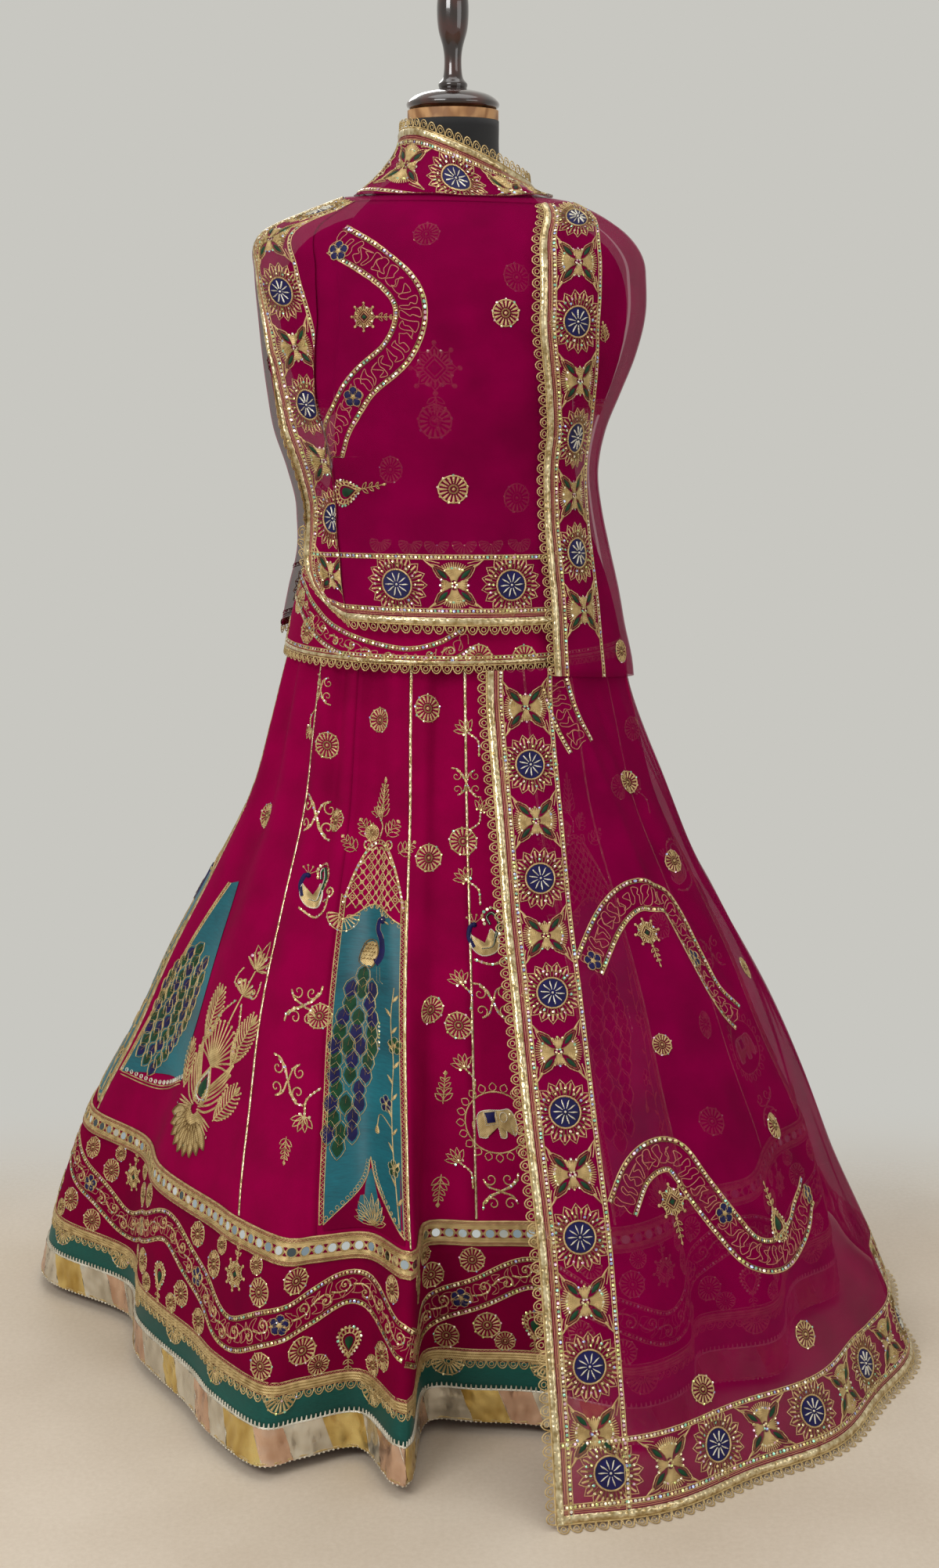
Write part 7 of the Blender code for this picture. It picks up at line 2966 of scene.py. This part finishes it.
        # The wave's crests are pointed, as a pleated ribbon's are.
        wave = np.cos(phase) + 0.12 * np.cos(3 * phase)
        lane = Lane(np.stack([xs, foot + room * (0.50 + 0.225 * wave)], 1))
        stitches = Stitching("border_vine")
        stitches.lay(vine(lane, 0.0195, True), ground)
        stitches.build(slot="gold_lace")
        sprigs = Stitching("border_sprigs")
        made = Motif()
        drop, star, blue = paisley(0.026, 0.036), pendant(0.0165), flower(0.0125, Look.NAVY)
        for k in range(-1, repeats + 2):
            crest = start + k * period
            trough = crest + period / 2
            found = [
                (drop, crest, 0.245, 180, 1.0),
                (star, trough, 0.76, 180, 1.0),
                (blue, crest + period * 0.25, 0.50, 0, 1.0),
                (blue, crest + period * 0.75, 0.50, 0, 1.0),
            ]
            for dx, y, scale in ((0.16, 0.25, 1.0), (0.30, 0.13, 0.95), (0.10, 0.10, 0.75)):
                for side in (-1, 1):
                    found.append((self.sprigs["rosette"], crest + side * dx * period, y, 0, scale))
            for dx, y, scale in ((0.145, 0.72, 1.0), (0.29, 0.87, 0.95), (0.11, 0.93, 0.7)):
                for side in (-1, 1):
                    found.append((self.sprigs["rosette"], trough + side * dx * period, y, 0, scale))
            for motif, x, y, turn, scale in found:
                if 0.02 < x < length - 0.02:
                    made.put(motif, (x, foot + room * y), turn, scale)
        for y in (foot - 0.0022, foot + 0.0016):
            made.thread(straight(0, y, length, y), 0.0013, Look.ZARI)
        made.thread(zigzag(length, foot - 0.0003, 0.0012, 0.0042), 0.0012, Look.COUCHING)
        sprigs.lay(made, ground)
        sprigs.build(slot="gold_lace")

    def lace(self) -> None:
        """Make the ridged gold piping and the scalloped lace over the teal band."""
        ground = self.skirt.ring_ground(LACE_TOP, FOIL_TOP, BAND_FACE)
        length, height = ground.x_range[1], ground.y_range[1]
        made = Motif()
        for y in (height - 0.0012, height - 0.0044, height - 0.0076):
            made.cord(straight(0, y, length, y), 0.0036, Look.ZARI, 0.0022)
        made.put(loops(length, 0.0125, 0.0098), (0, height - 0.0094))
        count = 31
        for k in range(count):
            made.put(half_rosette(0.0205), ((k + 0.35) * length / count, height - 0.0120))
        stitches = Stitching("hem_lace_stitches")
        stitches.lay(made, ground)
        stitches.build(replaces=["hem_lace"], slot="gold_lace")

    def foil(self) -> None:
        """Make the foil hem: slanted patches, picots above and beads below."""
        face = BAND_START + PANEL_WALL
        self.skirt.band_piece("foil_hem_cloth", FOIL_TOP, HEM_Z, BAND_START, face,
                              [Look.FOIL_ROSE], ["foil_hem"], "foil_patchwork")
        ground = self.skirt.ring_ground(FOIL_TOP, HEM_Z, face)
        length, height = ground.x_range[1], ground.y_range[1]
        foils = (Look.FOIL_GOLD, Look.FOIL_SILVER, Look.FOIL_ROSE, Look.FOIL_SILVER, Look.FOIL_GOLD,
                 Look.FOIL_ROSE, Look.FOIL_SILVER)
        made = Motif()
        x, k = 0.0, 0
        slant = 0.016
        while x < length - 0.02:
            width = 0.034 + 0.024 * (0.5 + 0.5 * math.sin(k * 2.4))
            nxt = min(x + width, length)
            across, up = np.meshgrid(np.linspace(0, 1, 10), np.linspace(0, 1, 9))
            ends = slant * (up - 0.5)
            xs = np.clip(x + (nxt - x) * across - ends, 0, length)
            ridge = np.abs(np.sin(across * 7 + up * 5 * math.sin(k * 1.9) + k * 1.3))
            dent = np.abs(np.cos(up * 8 - across * 4 * math.cos(k * 2.7) + k * 2.1))
            relief = 0.0005 + 0.0012 * ridge + 0.0010 * dent
            made.sheet(np.stack([xs, up * height, relief], -1), foils[k % len(foils)])
            seam = straight(nxt + slant / 2, 0, nxt - slant / 2, height)
            made.thread(np.clip(seam, 0, length), 0.0014, Look.PICOT, 0.0020)
            x, k = nxt, k + 1
        made.thread(straight(0, height, length, height), 0.0024, Look.PICOT, 0.0022)
        made.cord(straight(0, 0.0022, length, 0.0022), 0.0030, Look.ZARI, 0.0022)
        spikes = int(length / PICOT_PITCH)
        for j in range(spikes):
            x = (j + 0.5) * length / spikes
            made.thread(((x, height - 0.001), (x, height + 0.0062)), np.array([0.0034, 0.0010]),
                        Look.PICOT, 0.0020)
            made.fill(circle((x, -0.0004), 0.0019, 5), Look.PICOT, 0.0024)
        stitches = Stitching("foil_hem_stitches")
        stitches.lay(made, ground)
        stitches.build(slot="foil_patchwork")


# How far up the border's own designs start, above the lace over its foot
BORDER_FOOT = 0.0135
# Distance between mirrors, and between the foil hem's picots
MIRROR_PITCH = 0.0156
PICOT_PITCH = 0.0058
# Sprigs by panel: kind, the photo's pixel, turn and size
PANEL_SPRIGS = {
    0: (("rosette", (547, 905), 0, 1.05), ("rosette", (548, 1096), 0, 1.05), ("rosette",
        (550, 1290), 0, 1.0), ("sprig", (566, 1410), 0, 1.3), ("sprig", (564, 1500), 180, 1.3)),
    1: (("spray", (600, 940), 30, 0.9), ("pair", (596, 1000), 0, 0.8), ("rosette",
        (592, 1075), 0, 1.05), ("spray", (612, 1040), -30, 0.8), ("spray", (600, 1130), 30, 0.9),
        ("peacock", (622, 1205), 0, 1.05), ("pair", (630, 1280), 0, 1.0), ("spray",
        (592, 1262), 20, 0.9), ("rosette", (586, 1310), 0, 1.0), ("spray", (596, 1370), 20, 0.9),
        ("elephant", (634, 1434), 0, 1.0), ("pair", (640, 1522), 90, 1.0), ("spray",
        (590, 1490), 30, 0.9)),
    15: (("lotus", (281, 1334), -11, 0.94), ("rosette", (342, 1042), 0, 1.0)),
    16: (("pair", (410, 880), 0, 0.8), ("spray", (398, 925), 160, 0.8), ("rosette",
         (418, 952), 0, 1.0), ("pair", (404, 1042), 0, 1.15), ("rosette", (430, 1048), 0, 0.9),
         ("peacock", (402, 1145), 0, 1.05), ("pair", (388, 1285), 90, 1.1), ("rosette",
         (408, 1298), 0, 0.95), ("pair", (368, 1380), 0, 1.15), ("spray", (392, 1420), 160, 1.0),
         ("sprig", (366, 1452), 180, 1.1)),
    17: (("rosette", (486, 920), 0, 0.95),),
}
# Sprigs of the panels that the photo doesn't show, by design: kind, share of the half
# width, height, turn and size
HIDDEN_SPRIGS = (
    (
        ("rosette", 0.0, 0.88, 0, 1.0), ("rosette", 0.1, 0.7, 0, 1.0),
        ("rosette", -0.1, 0.54, 0, 1.05), ("rosette", 0.3, 0.42, 0, 1.05),
        ("rosette", -0.3, 0.32, 0, 1.1),
    ),
    (
        ("pair", 0.0, 0.86, 0, 0.8), ("rosette", 0.1, 0.76, 0, 0.95),
        ("spray", -0.3, 0.68, 20, 0.9), ("peacock", 0.0, 0.58, 0, 1.05),
        ("pair", 0.0, 0.48, 0, 1.0), ("elephant", 0.0, 0.36, 0, 1.0), ("pair", 0.0, 0.285, 90, 1.0),
    ),
    (("rosette", 0.0, 0.82, 0, 0.95),),
)
# The teal arch beside the wide panel, in the photo's pixels: its left and right lines,
# top first, and the top and end of its tail of feathers
SIDE_ARCH_LEFT = ((296, 1128), (262, 1178), (222, 1248), (186, 1314), (156, 1368))
SIDE_ARCH_RIGHT = ((306, 1126), (286, 1190), (266, 1256), (248, 1320), (232, 1380))
SIDE_TAIL = ((268, 1210), (190, 1352))


# ---- the room


@dataclass
class Studio:
    """The floor, the soft lights, the even grey air behind and the camera."""

    floor_back: float = 0.66
    fade_start: float = 0.0
    half_width: float = 4.5
    front_y: float = -3.4

    def build(self) -> None:
        """Make the floor, the lights, the air and the camera."""
        corners = [(x, y, 0.0) for y in (self.front_y, self.floor_back)
                   for x in (-self.half_width, self.half_width)]
        mesh = bpy.data.meshes.new("studio_floor")
        mesh.from_pydata(corners, [], [(0, 1, 3, 2)])
        material = Look.FLOOR.value.build()
        self.fade(material)
        mesh.materials.append(material)
        floor = bpy.data.objects.new("studio_floor", mesh)
        bpy.context.scene.collection.objects.link(floor)
        lights = (
            ("key_light", (-1.5, -2.3, 2.5), (0.0, 0.0, 0.95), (1.4, 1.0), 40.0),
            ("fill_light", (2.1, -1.9, 1.7), (0.0, 0.0, 0.85), (1.5, 1.5), 11.0),
            ("top_light", (0.0, -0.2, 3.0), (0.0, 0.0, 0.8), (1.8, 1.4), 12.0),
            ("back_light", (-0.8, 2.6, 2.9), (0.0, 0.0, 0.9), (1.6, 1.0), 16.0),
        )
        for name, place, target, size, power in lights:
            self.light(name, place, target, size, power)
        world = bpy.data.worlds.new("studio_air")
        world.use_nodes = True
        background = world.node_tree.nodes["Background"]
        background.inputs["Color"].default_value = linear("#C8C7C1")
        background.inputs["Strength"].default_value = 1.0
        bpy.context.scene.world = world
        bpy.context.scene.view_settings.view_transform = "Standard"
        CAMERA.build()

    def fade(self, material: bpy.types.Material) -> None:
        """Let the floor's far part pass softly into the grey behind, as a studio sweep does.

        Args:
            material: The floor's material.
        """
        nodes, links = material.node_tree.nodes, material.node_tree.links
        place, parts = nodes.new("ShaderNodeNewGeometry"), nodes.new("ShaderNodeSeparateXYZ")
        share, mix = nodes.new("ShaderNodeMapRange"), nodes.new("ShaderNodeMixShader")
        share.interpolation_type = "SMOOTHSTEP"
        share.inputs["From Min"].default_value = self.fade_start
        share.inputs["From Max"].default_value = self.floor_back
        output = next(node for node in nodes if node.type == "OUTPUT_MATERIAL")
        shader = output.inputs["Surface"].links[0].from_socket
        links.new(place.outputs["Position"], parts.inputs["Vector"])
        links.new(parts.outputs["Y"], share.inputs["Value"])
        links.new(share.outputs["Result"], mix.inputs[0])
        links.new(shader, mix.inputs[1])
        links.new(nodes.new("ShaderNodeBsdfTransparent").outputs[0], mix.inputs[2])
        links.new(mix.outputs[0], output.inputs["Surface"])

    @staticmethod
    def light(
        name: str, place: Sequence[float], target: Sequence[float], size: Sequence[float], power: float
    ) -> None:
        """Hang a soft rectangular light.

        Args:
            name: Its name.
            place: Where it hangs.
            target: What it faces.
            size: Width and height.
            power: Its power in watts.
        """
        data = bpy.data.lights.new(name, "AREA")
        data.shape = "RECTANGLE"
        data.size, data.size_y = size
        data.energy = power
        item = bpy.data.objects.new(name, data)
        item.location = place
        away = np.array(place) - np.array(target)
        tilt = math.acos(away[2] / np.linalg.norm(away))
        item.rotation_euler = (tilt, 0.0, math.atan2(away[1], away[0]) + math.pi / 2)
        bpy.context.scene.collection.objects.link(item)


def main() -> None:
    """Build the outfit, the form and the room."""
    DressForm().build()
    skirt = Skirt()
    skirt.build()
    SkirtStitches(skirt).build()
    tunic = Tunic()
    tunic.build()
    TunicStitches(tunic).build()
    shawl = Shawl()
    shawl.build()
    ShawlStitches(shawl).build()
    Studio().build()
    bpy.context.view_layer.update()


if __name__ == "__main__":
    logging.basicConfig(level=logging.INFO)
    main()
